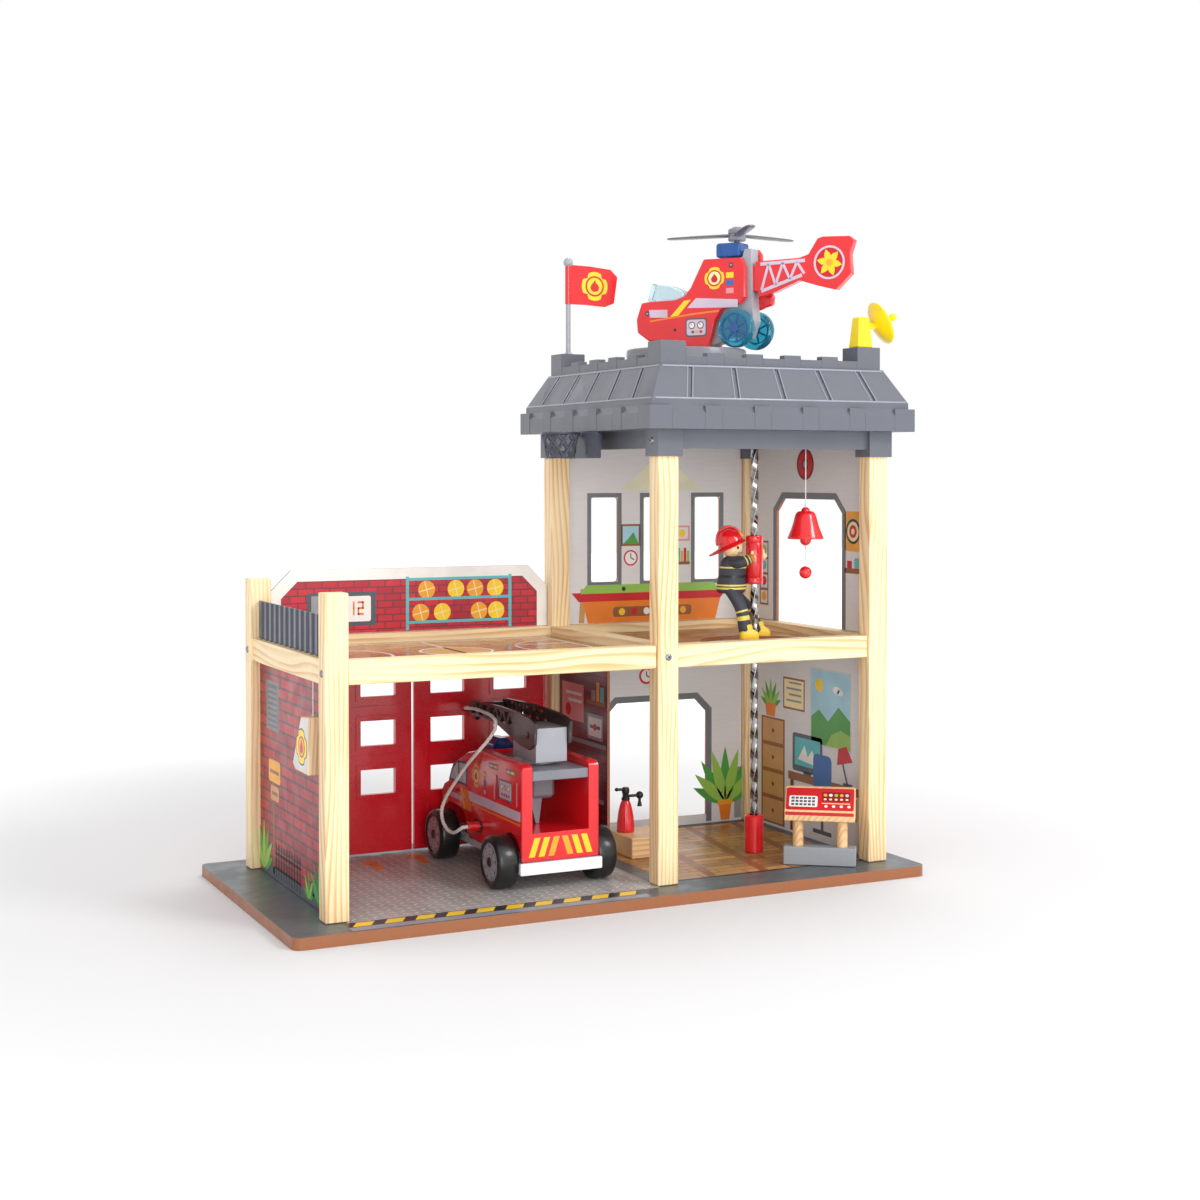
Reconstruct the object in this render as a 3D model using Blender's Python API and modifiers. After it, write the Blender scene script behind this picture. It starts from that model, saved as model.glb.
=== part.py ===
"""Toy fire station with its engine, helicopter, firefighter and loose pieces.

Metres, +Z up. The origin is the middle of the base board's underside, +X runs
to the tower side and -Y to the open front.
"""
import math

import bmesh
import bpy
from mathutils import Matrix, Vector

# Fit between pieces that touch.
GAP = 0.0003

# Base board.
BASE_LENGTH = 0.600
BASE_DEPTH = 0.300
BASE_THICKNESS = 0.010
BASE_CORNER = 0.008

# Posts: middle lines from the board's middle, section and tops.
POST_WIDTH = 0.0201
POST_DEPTH = 0.0176
POST_EDGE = 0.0007
LEFT_POST_X = 0.2544
MIDDLE_POST_X = 0.0470
RIGHT_POST_X = 0.2680
FRONT_POST_Y = 0.1100
BACK_POST_Y = 0.1139
GARAGE_POST_TOP = 0.2754
TOWER_POST_TOP = 0.4050

# Rails round the upper floor.
RAIL_BOTTOM = 0.2008
RAIL_HEIGHT = 0.0201
RAIL_SETBACK = 0.0025
RAIL_EASE = 0.0004

# Boards.
FLOOR_TOP = 0.2120
FLOOR_THICKNESS = 0.0040
WALL_THICKNESS = 0.0030
LEFT_WALL_OUTER_X = 0.2554
DIVIDER_FRONT_Y = 0.0010
DIVIDER_X = 0.0470
BACK_WALL_Y = 0.1120
SIDE_WALL_X = 0.2687
UPPER_WALL_TOP = 0.3980

# Openings in the tower's walls.
BACK_DOORWAY_X = 0.1575
BACK_DOORWAY_WIDTH = 0.1160
BACK_DOORWAY_BOTTOM = 0.0195
BACK_DOORWAY_HEIGHT = 0.1200
SIDE_DOORWAY_Y = 0.0020
SIDE_DOORWAY_WIDTH = 0.1184
SIDE_DOORWAY_TOP = 0.3457
DOORWAY_CHAMFER = 0.0130
WINDOW_PITCH = 0.0590
WINDOW_WIDTH = 0.0295
WINDOW_BOTTOM = 0.2625
WINDOW_HEIGHT = 0.0845
WINDOW_CORNER = 0.0030

# Terrace.
BACK_PANEL_Y = 0.1145
BACK_PANEL_TOP = 0.2815
BACK_PANEL_CHAMFER = 0.0200
RAILING_OUTER_X = 0.2575
RAILING_TOP = 0.2555
RAILING_SHEET = 0.0016
RAILING_RIB_DEPTH = 0.0016
RAILING_RIBS = 13
RAILING_RIB_SHARES = ((0.0, 0), (0.15, 1), (0.5, 1), (0.65, 0))

# Garage doors.
DOOR_Y = 0.1180
DOOR_THICKNESS = 0.0040
DOOR_BOTTOM = 0.0120
DOOR_TOP = 0.2002
DOOR_EDGE_GAP = 0.0006
DOOR_MEETING_GAP = 0.0025
DOOR_BARREL_RADIUS = 0.0022
DOOR_PIN_RADIUS = 0.0016
DOOR_PIN_LENGTH = 0.0050
DOOR_WINDOW_WIDTH = 0.0345
DOOR_WINDOW_HEIGHT = 0.0236
DOOR_WINDOW_ROWS = (0.0795, 0.1256, 0.17225)
DOOR_WINDOW_COLUMNS = (0.0373, 0.1028)
DOOR_FRAME_WIDTH = 0.0045
DOOR_RELIEF = 0.0011
DOOR_RIB_HEIGHT = 0.0050
DOOR_PANEL_BOTTOM = 0.0190
DOOR_PANEL_HEIGHT = 0.0340
DOOR_PANEL_WIDTH = 0.1100
DOOR_PANEL_START = 0.0140

# Roof moulding, measured from its own middle.
ROOF_X = 0.1575
ROOF_Y = 0.0020
EAVE_HALF = 0.1380
EAVE_BOTTOM = 0.4095
EAVE_BRICK_TOP = 0.4240
EAVE_TOP = 0.4305
LIP_INSET = 0.0040
LIP_TOP = 0.4355
SLOPE_TOP_INSET = 0.0210
SLOPE_TOP = 0.4670
EAVE_TOOTH_WIDTH = 0.0170
EAVE_TOOTH_PITCH = 0.0500
EAVE_TOOTH_COUNT = 4
EAVE_TOOTH_DEPTH = 0.0100
EAVE_CORNER_TOOTH = 0.0221
JOINT_PITCH_LOW = 0.0485
JOINT_PITCH_HIGH = 0.0436
JOINT_WIDTH = 0.0050
JOINT_DEPTH = 0.0012
JOINT_COUNT = 5
DECK_TOP = 0.4683
PARAPET_HALF = 0.1150
PARAPET_THICKNESS = 0.0080
PARAPET_BRICK_TOP = 0.4745
PARAPET_TOOTH_TOP = 0.4779
PARAPET_TOOTH_WIDTH = 0.0175
PARAPET_TOOTH_PITCH = 0.0400
PARAPET_TOOTH_COUNT = 4
TURRET_SIZE = 0.0250
TURRET_TOP = 0.4878
SKIRT_BOTTOM = 0.3930
SKIRT_HALF = 0.1195
BRICK_PROUD = 0.0003
CAP_WIDTH = 0.0246
CAP_DEPTH = 0.0240
CAP_BOTTOM = 0.3862
ROOF_WALL = 0.0030
CAVITY_TOP = 0.4640
CAVITY_TOP_HALF = 0.1110

# Basketball hoop on the eave.
HOOP_BOARD_X = 0.0195
HOOP_BOARD_THICKNESS = 0.0030
HOOP_BOARD_Y = 0.0017
HOOP_BOARD_WIDTH = 0.0726
HOOP_BOARD_BOTTOM = 0.3850
HOOP_RING_X = -0.0015
HOOP_RING_Z = 0.4080
HOOP_RADIUS = 0.0172
HOOP_WIRE = 0.0014
HOOP_NET_BOTTOM_RADIUS = 0.0128
HOOP_NET_BOTTOM = 0.3852
HOOP_NET_SIDES = 9
HOOP_NET_ROWS = 3
HOOP_NET_STRAND = 0.0013
HOOP_LUG_WIDTH = 0.0200
HOOP_LUG_HEIGHT = 0.0060

# Helicopter pad.
PAD_X = 0.1390
PAD_Y = 0.0165
PAD_RADIUS = 0.0575
PAD_TOP = 0.4895
PAD_RIM = 0.0035
PAD_RECESS = 0.0008

# Twisted pole, its cup and its sleeve.
POLE_X = 0.1880
POLE_Y = -0.0290
POLE_SIZE = 0.0058
POLE_PITCH = 0.0760
POLE_FOOT = 0.0135
POLE_TOP = 0.4632
POLE_RING_STEP = 0.0080
CUP_RADIUS = 0.00915
CUP_TOP = 0.0458
SLEEVE_RADIUS = 0.0083
SLEEVE_BORE = 0.0046
SLEEVE_BOTTOM = 0.2660
SLEEVE_TOP = 0.3120
FLOOR_HOLE_RADIUS = 0.0520

# Bell on its string.
BELL_X = 0.2032
BELL_Y = -0.0950
BELL_RIM_Z = 0.3108
BELL_TOP_Z = 0.3364
BELL_RADIUS = 0.0165
BELL_WALL = 0.0016
BELL_WALL_LIFT_SHARE = 0.6
BELL_SHARES = (
    (0.33, 1.0), (0.50, 0.95), (0.58, 0.86), (0.64, 0.70), (0.82, 0.33), (1.0, 0.03), (0.98, 0.0),
)
STRING_RADIUS = 0.0005
CLAPPER_RADIUS = 0.0052
CLAPPER_Z = 0.3098
PULL_RADIUS = 0.0058
PULL_Z = 0.2797

# Tag outside the left wall: block corners as (y, z).
TAG_OUTER_X = -0.2680
TAG_THICKNESS = 0.0110
TAG_CORNERS = (
    (-0.0636, 0.1705), (-0.0405, 0.1300), (-0.0480, 0.1245), (-0.0840, 0.1245), (-0.0870, 0.1725),
)
TAG_STRING_X = -0.2610
TAG_STRING_Y = -0.0760
TAG_EDGE = 0.0008

# Flag on the back left turret.
FLAG_POLE_RADIUS = 0.0024
FLAG_POLE_TOP = 0.5760
FLAG_BALL_RADIUS = 0.0048
FLAG_SEAT_DEPTH = 0.0080
FLAG_THICKNESS = 0.0024
FLAG_WIDTH = 0.0535
FLAG_HEIGHT = 0.0400
FLAG_TOP = 0.5762
FLAG_SHARES = (
    (0.0, 1.0), (0.42, 0.985), (0.86, 0.93), (1.0, 0.75), (0.93, 0.10), (0.74, 0.0), (0.35, 0.03), (0.0, 0.03),
)

# Dish on the front right turret.
DISH_STAND_FOOT = 0.0165
DISH_STAND_HEAD = 0.0115
DISH_STAND_TOP = 0.5166
DISH_RADIUS = 0.0205
DISH_BOWL_DEPTH = 0.0060
DISH_WALL = 0.0016
DISH_REACH = 0.0115
DISH_BACK_SHARE = 0.75
DISH_BOSS_RADIUS = 0.0032
DISH_FEED_LENGTH = 0.0190
DISH_FEED_RADIUS = 0.0010
DISH_FEED_BALL = 0.0038
DISH_TILT_DEGREES = 25.0
DISH_TURN_DEGREES = -10.0
DISH_Z = 0.5090

# Desk in the tower's ground floor.
DESK_X = 0.1818
DESK_Y = -0.0914
DESK_TURN_DEGREES = -36.0
DESK_LENGTH = 0.0665
DESK_BLOCK_DEPTH = 0.0160
DESK_BLOCK_TOP = 0.0270
DESK_LEG_RADIUS = 0.0050
DESK_LEG_PLACES = (0.0132, 0.0537)
DESK_LEG_SEAT = 0.0040
DESK_TOP_BOTTOM = 0.0510
DESK_LIP_TOP = 0.0605
DESK_BACK_TOP = 0.0790
DESK_SLOPE_DEPTH = 0.0220
DESK_TOP_DEPTH = 0.0280
DESK_TOP_INSET = 0.0010

# Fire extinguisher on its block.
STAND_LEFT = 0.0669
STAND_RIGHT = 0.1150
STAND_FRONT = -0.0100
STAND_BACK = 0.0400
STAND_TOP = 0.0295
BOTTLE_X = 0.0770
BOTTLE_Y = 0.0230
BOTTLE_RADIUS = 0.0085
BOTTLE_TOP = 0.0595
BOTTLE_SHARES = (
    (0.0, 1.0), (0.42, 1.0), (0.62, 0.94), (0.90, 0.80), (1.0, 0.68), (1.0, 0.12), (1.1, 0.09), (1.1, 0.0),
    (0.0, 0.0),
)
VALVE_RADIUS = 0.0036
VALVE_TOP = 0.0725
LEVER_REACH = 0.0110
LEVER_THICKNESS = 0.0026
HORN_REACH = 0.0150
HORN_DROP = 0.0100
HORN_KNOB_RADIUS = 0.0036
HORN_TUBE_RADIUS = 0.0014

# Engine: middle line, wheels and body.
TRUCK_X = -0.0419
GROUND_Z = 0.0100
WHEEL_RADIUS = 0.0230
WHEEL_WIDTH = 0.0200
WHEEL_RIM_RADIUS = 0.0135
WHEEL_TRACK = 0.1146
REAR_AXLE_Y = -0.0609
FRONT_AXLE_Y = 0.0749
AXLE_RADIUS = 0.0026
AXLE_PLAY = 0.0006
BODY_WIDTH = 0.0740
BODY_REAR_Y = -0.0865
BODY_NOSE_Y = 0.1035
BODY_BOTTOM = 0.0353
BODY_TOP = 0.1196
BODY_EDGE = 0.0016
BODY_SHARES = (
    (0.000, 0.000), (0.000, 0.970), (0.030, 1.000), (0.520, 1.000), (0.650, 0.940), (0.855, 0.752),
    (0.914, 0.540), (0.973, 0.490), (1.000, 0.430), (1.000, 0.020), (0.985, 0.000), (0.984, 0.150),
    (0.965, 0.270), (0.930, 0.293), (0.760, 0.293), (0.710, 0.250), (0.645, 0.000),
)
REAR_ARCH_RADIUS = 0.0235
BODY_SIDE = 0.0101
BAY_FLOOR = 0.0600
BAY_FRONT_Y = 0.0200
DECK_BOTTOM = 0.1050
DECK_PLATE_TOP = 0.1137
BOSS_REAR_Y = -0.0500
BOSS_NOSE_Y = -0.0300
BOSS_WIDTH = 0.0234
BOSS_BOTTOM = 0.0825
BOSS_EDGE = 0.0030
STRUT_WIDTH = 0.0115
STRUT_FOOT_WIDTH = 0.0060
STRUT_DEPTH = 0.0060
CHASSIS_BOTTOM = 0.0260
CHASSIS_WIDTH = 0.0600
BUMPER_WIDTH = 0.0784
BUMPER_BOTTOM = 0.0247
BUMPER_REAR_Y = -0.0888
BUMPER_DEPTH = 0.0043
BUMPER_FRONT_Y = 0.1065
BEACON_REAR_Y = 0.0402
BEACON_NOSE_Y = 0.0625
BEACON_WIDTH = 0.0206
BEACON_BOTTOM = 0.1020
BEACON_TOP = 0.1245
BEACON_CHAMFER = 0.0060
PLUG_Y = 0.0115
PLUG_Z = 0.0505
PLUG_RADIUS = 0.0045
PLUG_LENGTH = 0.0105

# Turntable and ladder.
TURN_Y = -0.0420
TURN_RADIUS = 0.0150
TURN_PLATE_TOP = 0.1178
TURRET_BLOCK_HALF = 0.0150
TURRET_BLOCK_REAR = -0.0670
TURRET_BLOCK_FRONT = -0.0170
TURRET_BLOCK_TOP = 0.1475
TURRET_CHAMFER = 0.0070
PIVOT_Y = -0.0570
PIVOT_Z = 0.1410
PIVOT_RADIUS = 0.0025
LADDER_PLATE = 0.0030
LADDER_CLEARANCE = 0.0004
LADDER_LENGTH = 0.1530
LADDER_REAR_Y = -0.0719
LADDER_HEIGHT = 0.0310
LADDER_FOOT_Z = 0.1281
LADDER_SHARES = (
    (0.000, 0.800), (0.084, 0.905), (0.227, 0.965), (0.524, 1.000), (0.951, 0.935), (0.985, 0.880),
    (1.000, 0.510), (0.800, 0.500), (0.571, 0.468), (0.375, 0.239), (0.199, 0.040), (0.085, 0.000),
    (0.014, 0.190),
)
LADDER_CELLS = 6
LADDER_CELL_START_SHARE = 0.30
LADDER_CELL_LOW_SHARE = 0.56
LADDER_CELL_HIGH_SHARE = 0.90
LADDER_CELL_GAP_SHARE = 0.16
LADDER_CELL_END_SHARE = 0.03
LADDER_CELL_TIP_SHARE = 0.2
LADDER_PIN_SHARE = 0.8
RUNG_HEIGHT_SHARE = 0.52
RUNG_RADIUS = 0.0014
RUNG_COUNT = 8
NOZZLE_BLOCK = 0.0080
NOZZLE_REACH = 0.0300
NOZZLE_DROP = 0.0140
NOZZLE_RADIUS = 0.0032
NOZZLE_TIP_RADIUS = 0.0022
NOZZLE_Y = 0.0760
NOZZLE_Z = 0.1500
NOZZLE_SPIGOT_RADIUS = 0.0017

# Rope hose: way points as (x from the truck's middle, y, z).
HOSE_RADIUS = 0.0017
HOSE_RUN_POINTS = (
    (-0.0208, 0.0760, 0.1500), (-0.0226, 0.0760, 0.1500), (-0.0252, 0.0735, 0.1503), (-0.0252, 0.0680, 0.1508),
    (-0.0232, 0.0600, 0.1512), (-0.0222, 0.0480, 0.1513), (-0.0221, 0.0360, 0.1509), (-0.0223, 0.0240, 0.1503),
    (-0.0230, 0.0120, 0.1492), (-0.0241, 0.0030, 0.1470), (-0.0254, -0.0015, 0.1432), (-0.0267, -0.0025, 0.1395),
    (-0.0281, -0.0008, 0.1362),
)
HOSE_DROP_POINTS = (
    (-0.0284, -0.0003, 0.1354), (-0.0304, 0.0012, 0.1315), (-0.0343, 0.0022, 0.1265), (-0.0396, 0.0042, 0.1203),
    (-0.0422, 0.0153, 0.1112), (-0.0444, 0.0283, 0.1006), (-0.0469, 0.0414, 0.0882), (-0.0493, 0.0526, 0.0770),
    (-0.0515, 0.0604, 0.0661), (-0.0539, 0.0605, 0.0578), (-0.0556, 0.0547, 0.0513), (-0.0560, 0.0482, 0.0469),
    (-0.0558, 0.0413, 0.0439), (-0.0555, 0.0332, 0.0428), (-0.0554, 0.0255, 0.0437), (-0.0554, 0.0185, 0.0460),
    (-0.0545, 0.0137, 0.0486), (-0.0524, 0.0117, 0.0503), (-0.0501, 0.0115, 0.0505), (-0.0478, 0.0115, 0.0505),
)

# Helicopter: place on the pad and its own frame, nose along +X, port side +Y.
HELI_X = 0.1836
HELI_Y = -0.0209
HELI_TURN_DEGREES = 122.16
HELI_LENGTH = 0.1138
HELI_HEIGHT = 0.0863
SHELL_OUTER = 0.0140
SHELL_INNER = 0.0080
SHELL_EDGE = 0.0012
PORT_SHARES = (
    (0.949, 0.553), (1.000, 0.368), (0.990, 0.220), (0.879, 0.119), (0.762, 0.108), (0.509, 0.034),
    (0.298, 0.017), (0.235, 0.300), (0.165, 0.440), (-0.013, 0.496), (-0.050, 0.556), (-0.049, 0.875),
    (-0.012, 0.993), (0.346, 1.000), (0.471, 0.694), (0.538, 0.598), (0.624, 0.568), (0.879, 0.564),
)
STARBOARD_SHARES = (
    (0.949, 0.553), (1.000, 0.368), (0.990, 0.220), (0.879, 0.119), (0.762, 0.108), (0.509, 0.034),
    (0.298, 0.017), (0.235, 0.300), (0.165, 0.440), (-0.038, 0.417), (-0.206, 0.475), (-0.214, 0.575),
    (-0.110, 0.760), (-0.100, 1.040), (-0.060, 1.110), (-0.012, 0.993), (0.346, 1.000), (0.471, 0.694),
    (0.538, 0.598), (0.624, 0.568), (0.879, 0.564),
)
CORE_SHARES = (
    (0.930, 0.545), (0.975, 0.368), (0.965, 0.235), (0.865, 0.140), (0.750, 0.130), (0.505, 0.056),
    (0.310, 0.040), (0.120, 0.110), (-0.050, 0.110), (-0.100, 0.300), (-0.085, 0.500), (-0.075, 1.090),
    (-0.020, 1.090), (0.010, 0.985), (0.340, 0.985), (0.460, 0.685), (0.530, 0.585), (0.620, 0.5685),
    (0.885, 0.5685),
)
CANOPY_HALF = 0.0085
CANOPY_SHARES = (
    (0.920, 0.572), (0.871, 0.773), (0.684, 0.731), (0.560, 0.660), (0.560, 0.610), (0.640, 0.572),
)
HELI_LIGHT_X = 0.0150
HELI_LIGHT_LENGTH = 0.0260
HELI_LIGHT_HALF = 0.0105
HELI_LIGHT_BOTTOM = 0.0872
HELI_LIGHT_TOP = 0.1010
MAST_X = 0.0101
MAST_RADIUS = 0.0026
MAST_SEAT = 0.0060
ROTOR_HUB_RADIUS = 0.0085
ROTOR_HUB_BOTTOM = 0.1030
ROTOR_HUB_TOP = 0.1165
ROTOR_RADIUS = 0.0710
BLADE_WIDTH = 0.0120
BLADE_THICKNESS = 0.0030
BLADE_Z = 0.1085
BLADE_TURN_DEGREES = 8.0
BLADE_COUNT = 3
BLADE_END_SHARE = 0.45
HELI_WHEEL_RADIUS = 0.0184
HELI_WHEEL_WIDTH = 0.0100
HELI_RIM_SHARE = 0.74
HELI_WHEEL_TRACK = 0.0507
HELI_AXLE_RADIUS = 0.0022
TAIL_HALF = 0.0038
TAIL_LENGTH = 0.1010
TAIL_HEIGHT = 0.0530
TAIL_ROOT_X = -0.0112
TAIL_ROOT_Z = 0.0480
TONGUE_X = -0.0043
TONGUE_LOW = 0.0540
TONGUE_HIGH = 0.0780
TAIL_SHARES = (
    (0.000, 0.640), (0.453, 0.655), (0.545, 0.705), (0.640, 0.975), (0.690, 1.000), (0.955, 0.978),
    (1.000, 0.905), (0.960, 0.675), (0.972, 0.320), (0.822, 0.057), (0.650, 0.142), (0.455, 0.258),
    (0.200, 0.072), (0.035, 0.000),
)
FAN_X = -0.0877
FAN_Z = 0.0766
FAN_RADIUS = 0.0140
FAN_RECESS = 0.0009

# Firefighter, in a frame on the pole's axis: +X away to the pole's far side.
FIGURE_TURN_DEGREES = -26.16
HEAD_X = -0.0210
HEAD_Z = 0.3005
HEAD_RADIUS = 0.0100
HELMET_X = -0.0218
HELMET_Z = 0.3035
HELMET_RADIUS = 0.0126
HELMET_CROWN = 0.0180
HELMET_BRIM_FRONT = 0.0132
HELMET_BRIM_BACK = 0.0243
HELMET_BRIM_SIDE = 0.0165
HELMET_TILT_DEGREES = 24.0
HELMET_WALL = 0.0015
TORSO_X = -0.0205
TORSO_Z = 0.2765
TORSO_HALF_X = 0.0142
TORSO_HALF_Y = 0.0130
TORSO_HALF_Z = 0.0192
LIMB_RADIUS = 0.0048
HAND_RADIUS = 0.0042
NEAR_ARM = ((-0.0215, -0.0080, 0.2860), (-0.0150, -0.0152, 0.2865), (-0.0050, -0.0130, 0.2905))
FAR_ARM = ((-0.0215, 0.0080, 0.2860), (-0.0080, 0.0172, 0.2870), (0.0072, 0.0130, 0.2912))
NEAR_HAND = (-0.0035, -0.0125, 0.2910)
FAR_HAND = (0.0088, 0.0118, 0.2920)
NEAR_LEG = (
    (-0.0240, -0.0068, 0.2620), (-0.0165, -0.0105, 0.2500), (-0.0125, -0.0122, 0.2400), (-0.0100, -0.0125, 0.2240),
)
FAR_LEG = (
    (-0.0240, 0.0068, 0.2620), (-0.0125, 0.0110, 0.2500), (-0.0030, 0.0125, 0.2390), (0.0035, 0.0125, 0.2225),
)
LEG_RADIUS = 0.0062
BOOT_LENGTH = 0.0180
BOOT_WIDTH = 0.0120
BOOT_HEIGHT = 0.0105
NEAR_BOOT = (-0.0062, -0.0125, 0.2199)
FAR_BOOT = (0.0068, 0.0125, 0.2207)

# Smoothness of round shapes.
ROUND_STEPS = 24
WHEEL_STEPS = 20
SMALL_STEPS = 12
FINE_STEPS = 32
SMOOTH_DEGREES = 40.0

# Points nearer than this are one point.
WELD = 0.00005
CURVE_WELD = 0.00001


def clear_scene():
    """Remove every object the file opened with."""
    for obj in list(bpy.data.objects):
        bpy.data.objects.remove(obj, do_unlink=True)


def new_collection(name):
    """Add an empty collection to the scene."""
    group = bpy.data.collections.new(name)
    bpy.context.scene.collection.children.link(group)
    return group


clear_scene()
PARTS = new_collection("toy_fire_station")
CUTTERS = new_collection("cutters")


def paint(name, colour, roughness, metallic=0.0):
    """A plain Principled material."""
    made = bpy.data.materials.new(name)
    made.use_nodes = True
    shader = made.node_tree.nodes["Principled BSDF"]
    shader.inputs["Base Color"].default_value = (*colour, 1.0)
    shader.inputs["Roughness"].default_value = roughness
    shader.inputs["Metallic"].default_value = metallic
    made.diffuse_color = (*colour, 1.0)
    return made


def part(obj, colour, roughness=0.4, metallic=0.0):
    """Keep a finished piece under its own material."""
    obj.data.materials.append(paint(obj.name + "_paint", colour, roughness, metallic))
    PARTS.objects.link(obj)
    return obj


def helper(obj):
    """Keep a cutter or a piece that is joined into another."""
    CUTTERS.objects.link(obj)
    obj.hide_render = True
    obj.display_type = "WIRE"
    return obj


def joint(name, location, turn_degrees=0.0, parent=None):
    """An empty on a moving piece's axis."""
    pivot = bpy.data.objects.new(name, None)
    PARTS.objects.link(pivot)
    pivot.location = location
    pivot.rotation_euler.z = math.radians(turn_degrees)
    pivot.empty_display_size = POST_WIDTH
    if parent is not None:
        pivot.parent = parent
    return pivot


def hang(obj, pivot, own_frame=False):
    """Parent a piece to its pivot, keeping its place unless it is modelled in the pivot's frame."""
    obj.parent = pivot
    if not own_frame:
        obj.matrix_parent_inverse = Matrix.Translation(-Vector(pivot.location))
        return obj
    for step in obj.modifiers:
        if step.type == "BOOLEAN":
            hang(step.object, pivot, own_frame=True)
    return obj


def finish_mesh(name, bm, location=(0.0, 0.0, 0.0)):
    """Turn a bmesh into an object."""
    bmesh.ops.recalc_face_normals(bm, faces=bm.faces)
    mesh = bpy.data.meshes.new(name)
    bm.to_mesh(mesh)
    bm.free()
    obj = bpy.data.objects.new(name, mesh)
    obj.location = location
    return obj


def add_box(bm, low, high):
    """Add a box between two corners."""
    size = [high[i] - low[i] for i in range(3)]
    middle = [(high[i] + low[i]) / 2 for i in range(3)]
    placed = Matrix.Translation(middle) @ Matrix.Diagonal((*size, 1.0))
    bmesh.ops.create_cube(bm, size=1.0, matrix=placed)


def boxes(name, spans):
    """One mesh of separate boxes, each given by two corners."""
    bm = bmesh.new()
    for low, high in spans:
        add_box(bm, low, high)
    return finish_mesh(name, bm)


def turned_to(direction):
    """Matrix that turns +Z to a direction."""
    return Vector((0.0, 0.0, 1.0)).rotation_difference(Vector(direction)).to_matrix().to_4x4()


def rods(name, ends, radius, steps=SMALL_STEPS, tip_radius=None):
    """One mesh of round rods, each between two points."""
    bm = bmesh.new()
    for start, stop in ends:
        along = Vector(stop) - Vector(start)
        middle = (Vector(stop) + Vector(start)) / 2
        bmesh.ops.create_cone(
            bm,
            cap_ends=True,
            segments=steps,
            radius1=radius,
            radius2=radius if tip_radius is None else tip_radius,
            depth=along.length,
            matrix=Matrix.Translation(middle) @ turned_to(along),
        )
    return finish_mesh(name, bm)


def balls(name, centres, radius, steps=SMALL_STEPS, stretch=(1.0, 1.0, 1.0)):
    """One mesh of round or stretched balls."""
    bm = bmesh.new()
    for centre in centres:
        placed = Matrix.Translation(centre) @ Matrix.Diagonal((*stretch, 1.0))
        rings = steps // 2 + 1
        bmesh.ops.create_uvsphere(bm, u_segments=steps, v_segments=rings, radius=radius, matrix=placed)
    return finish_mesh(name, bm)


def smooth(obj):
    """Shade a round piece smooth up to its sharp edges."""
    obj.data.shade_smooth()
    obj.data.set_sharp_from_angle(angle=math.radians(SMOOTH_DEGREES))
    return obj


def turned(
    name, profile, location=(0.0, 0.0, 0.0), steps=ROUND_STEPS, axis=(0.0, 0.0, 1.0), closed=False, quarter=0.0
):
    """Turn a profile of (radius, height) points, listed from the top down, round an axis."""
    bm = bmesh.new()
    line = [bm.verts.new((radius, 0.0, height)) for radius, height in profile]
    for first, second in zip(line, line[1:]):
        bm.edges.new((first, second))
    if closed:
        bm.edges.new((line[-1], line[0]))
    mesh = bpy.data.meshes.new(name)
    bm.to_mesh(mesh)
    bm.free()
    obj = bpy.data.objects.new(name, mesh)
    obj.matrix_world = Matrix.Translation(location) @ turned_to(axis) @ Matrix.Rotation(quarter, 4, "Z")
    spin = obj.modifiers.new("spin", "SCREW")
    spin.steps = steps
    spin.render_steps = steps
    spin.use_merge_vertices = True
    spin.merge_threshold = WELD
    spin.use_smooth_shade = steps > 4
    return obj


PLANES = {
    "XY": Matrix.Identity(4),
    "XZ": Matrix.Rotation(math.pi / 2, 4, "X"),
    "YZ": Matrix(((0, 0, 1, 0), (1, 0, 0, 0), (0, 1, 0, 0), (0, 0, 0, 1))),
}


def as_mesh(curve_object):
    """Make a curve a welded mesh in the same place."""
    bpy.context.view_layer.update()
    graph = bpy.context.evaluated_depsgraph_get()
    mesh = bpy.data.meshes.new_from_object(curve_object.evaluated_get(graph))
    bm = bmesh.new()
    bm.from_mesh(mesh)
    bmesh.ops.remove_doubles(bm, verts=bm.verts, dist=CURVE_WELD)
    bmesh.ops.recalc_face_normals(bm, faces=bm.faces)
    bm.to_mesh(mesh)
    bm.free()
    name = curve_object.name
    placed = curve_object.matrix_world.copy()
    bpy.data.objects.remove(curve_object, do_unlink=True)
    mesh.name = name
    obj = bpy.data.objects.new(name, mesh)
    obj.matrix_world = placed
    return obj


def sheet(name, outlines, thickness, plane, level):
    """Flat plates from closed outlines in a plane, their mid-plane at a level."""
    curve = bpy.data.curves.new(name, "CURVE")
    curve.dimensions = "2D"
    curve.fill_mode = "BOTH"
    curve.extrude = thickness / 2
    for points in outlines:
        line = curve.splines.new("POLY")
        line.points.add(len(points) - 1)
        for slot, (across, up) in zip(line.points, points):
            slot.co = (across, up, 0.0, 1.0)
        line.use_cyclic_u = True
    obj = bpy.data.objects.new(name, curve)
    bpy.context.scene.collection.objects.link(obj)
    facing = -1 if plane == "XZ" else 1
    obj.matrix_world = PLANES[plane] @ Matrix.Translation((0.0, 0.0, facing * level))
    return as_mesh(obj)


def tube(name, points, radius, fineness=2):
    """A round tube along points, kept as a curve."""
    curve = bpy.data.curves.new(name, "CURVE")
    curve.dimensions = "3D"
    curve.bevel_depth = radius
    curve.bevel_resolution = fineness
    curve.use_fill_caps = True
    line = curve.splines.new("POLY")
    line.points.add(len(points) - 1)
    for slot, point in zip(line.points, points):
        slot.co = (*point, 1.0)
    return bpy.data.objects.new(name, curve)


def tube_mesh(name, points, radius):
    """A round tube along points as a mesh, ready to be joined."""
    obj = tube(name, points, radius, fineness=1)
    bpy.context.scene.collection.objects.link(obj)
    return as_mesh(obj)


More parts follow.
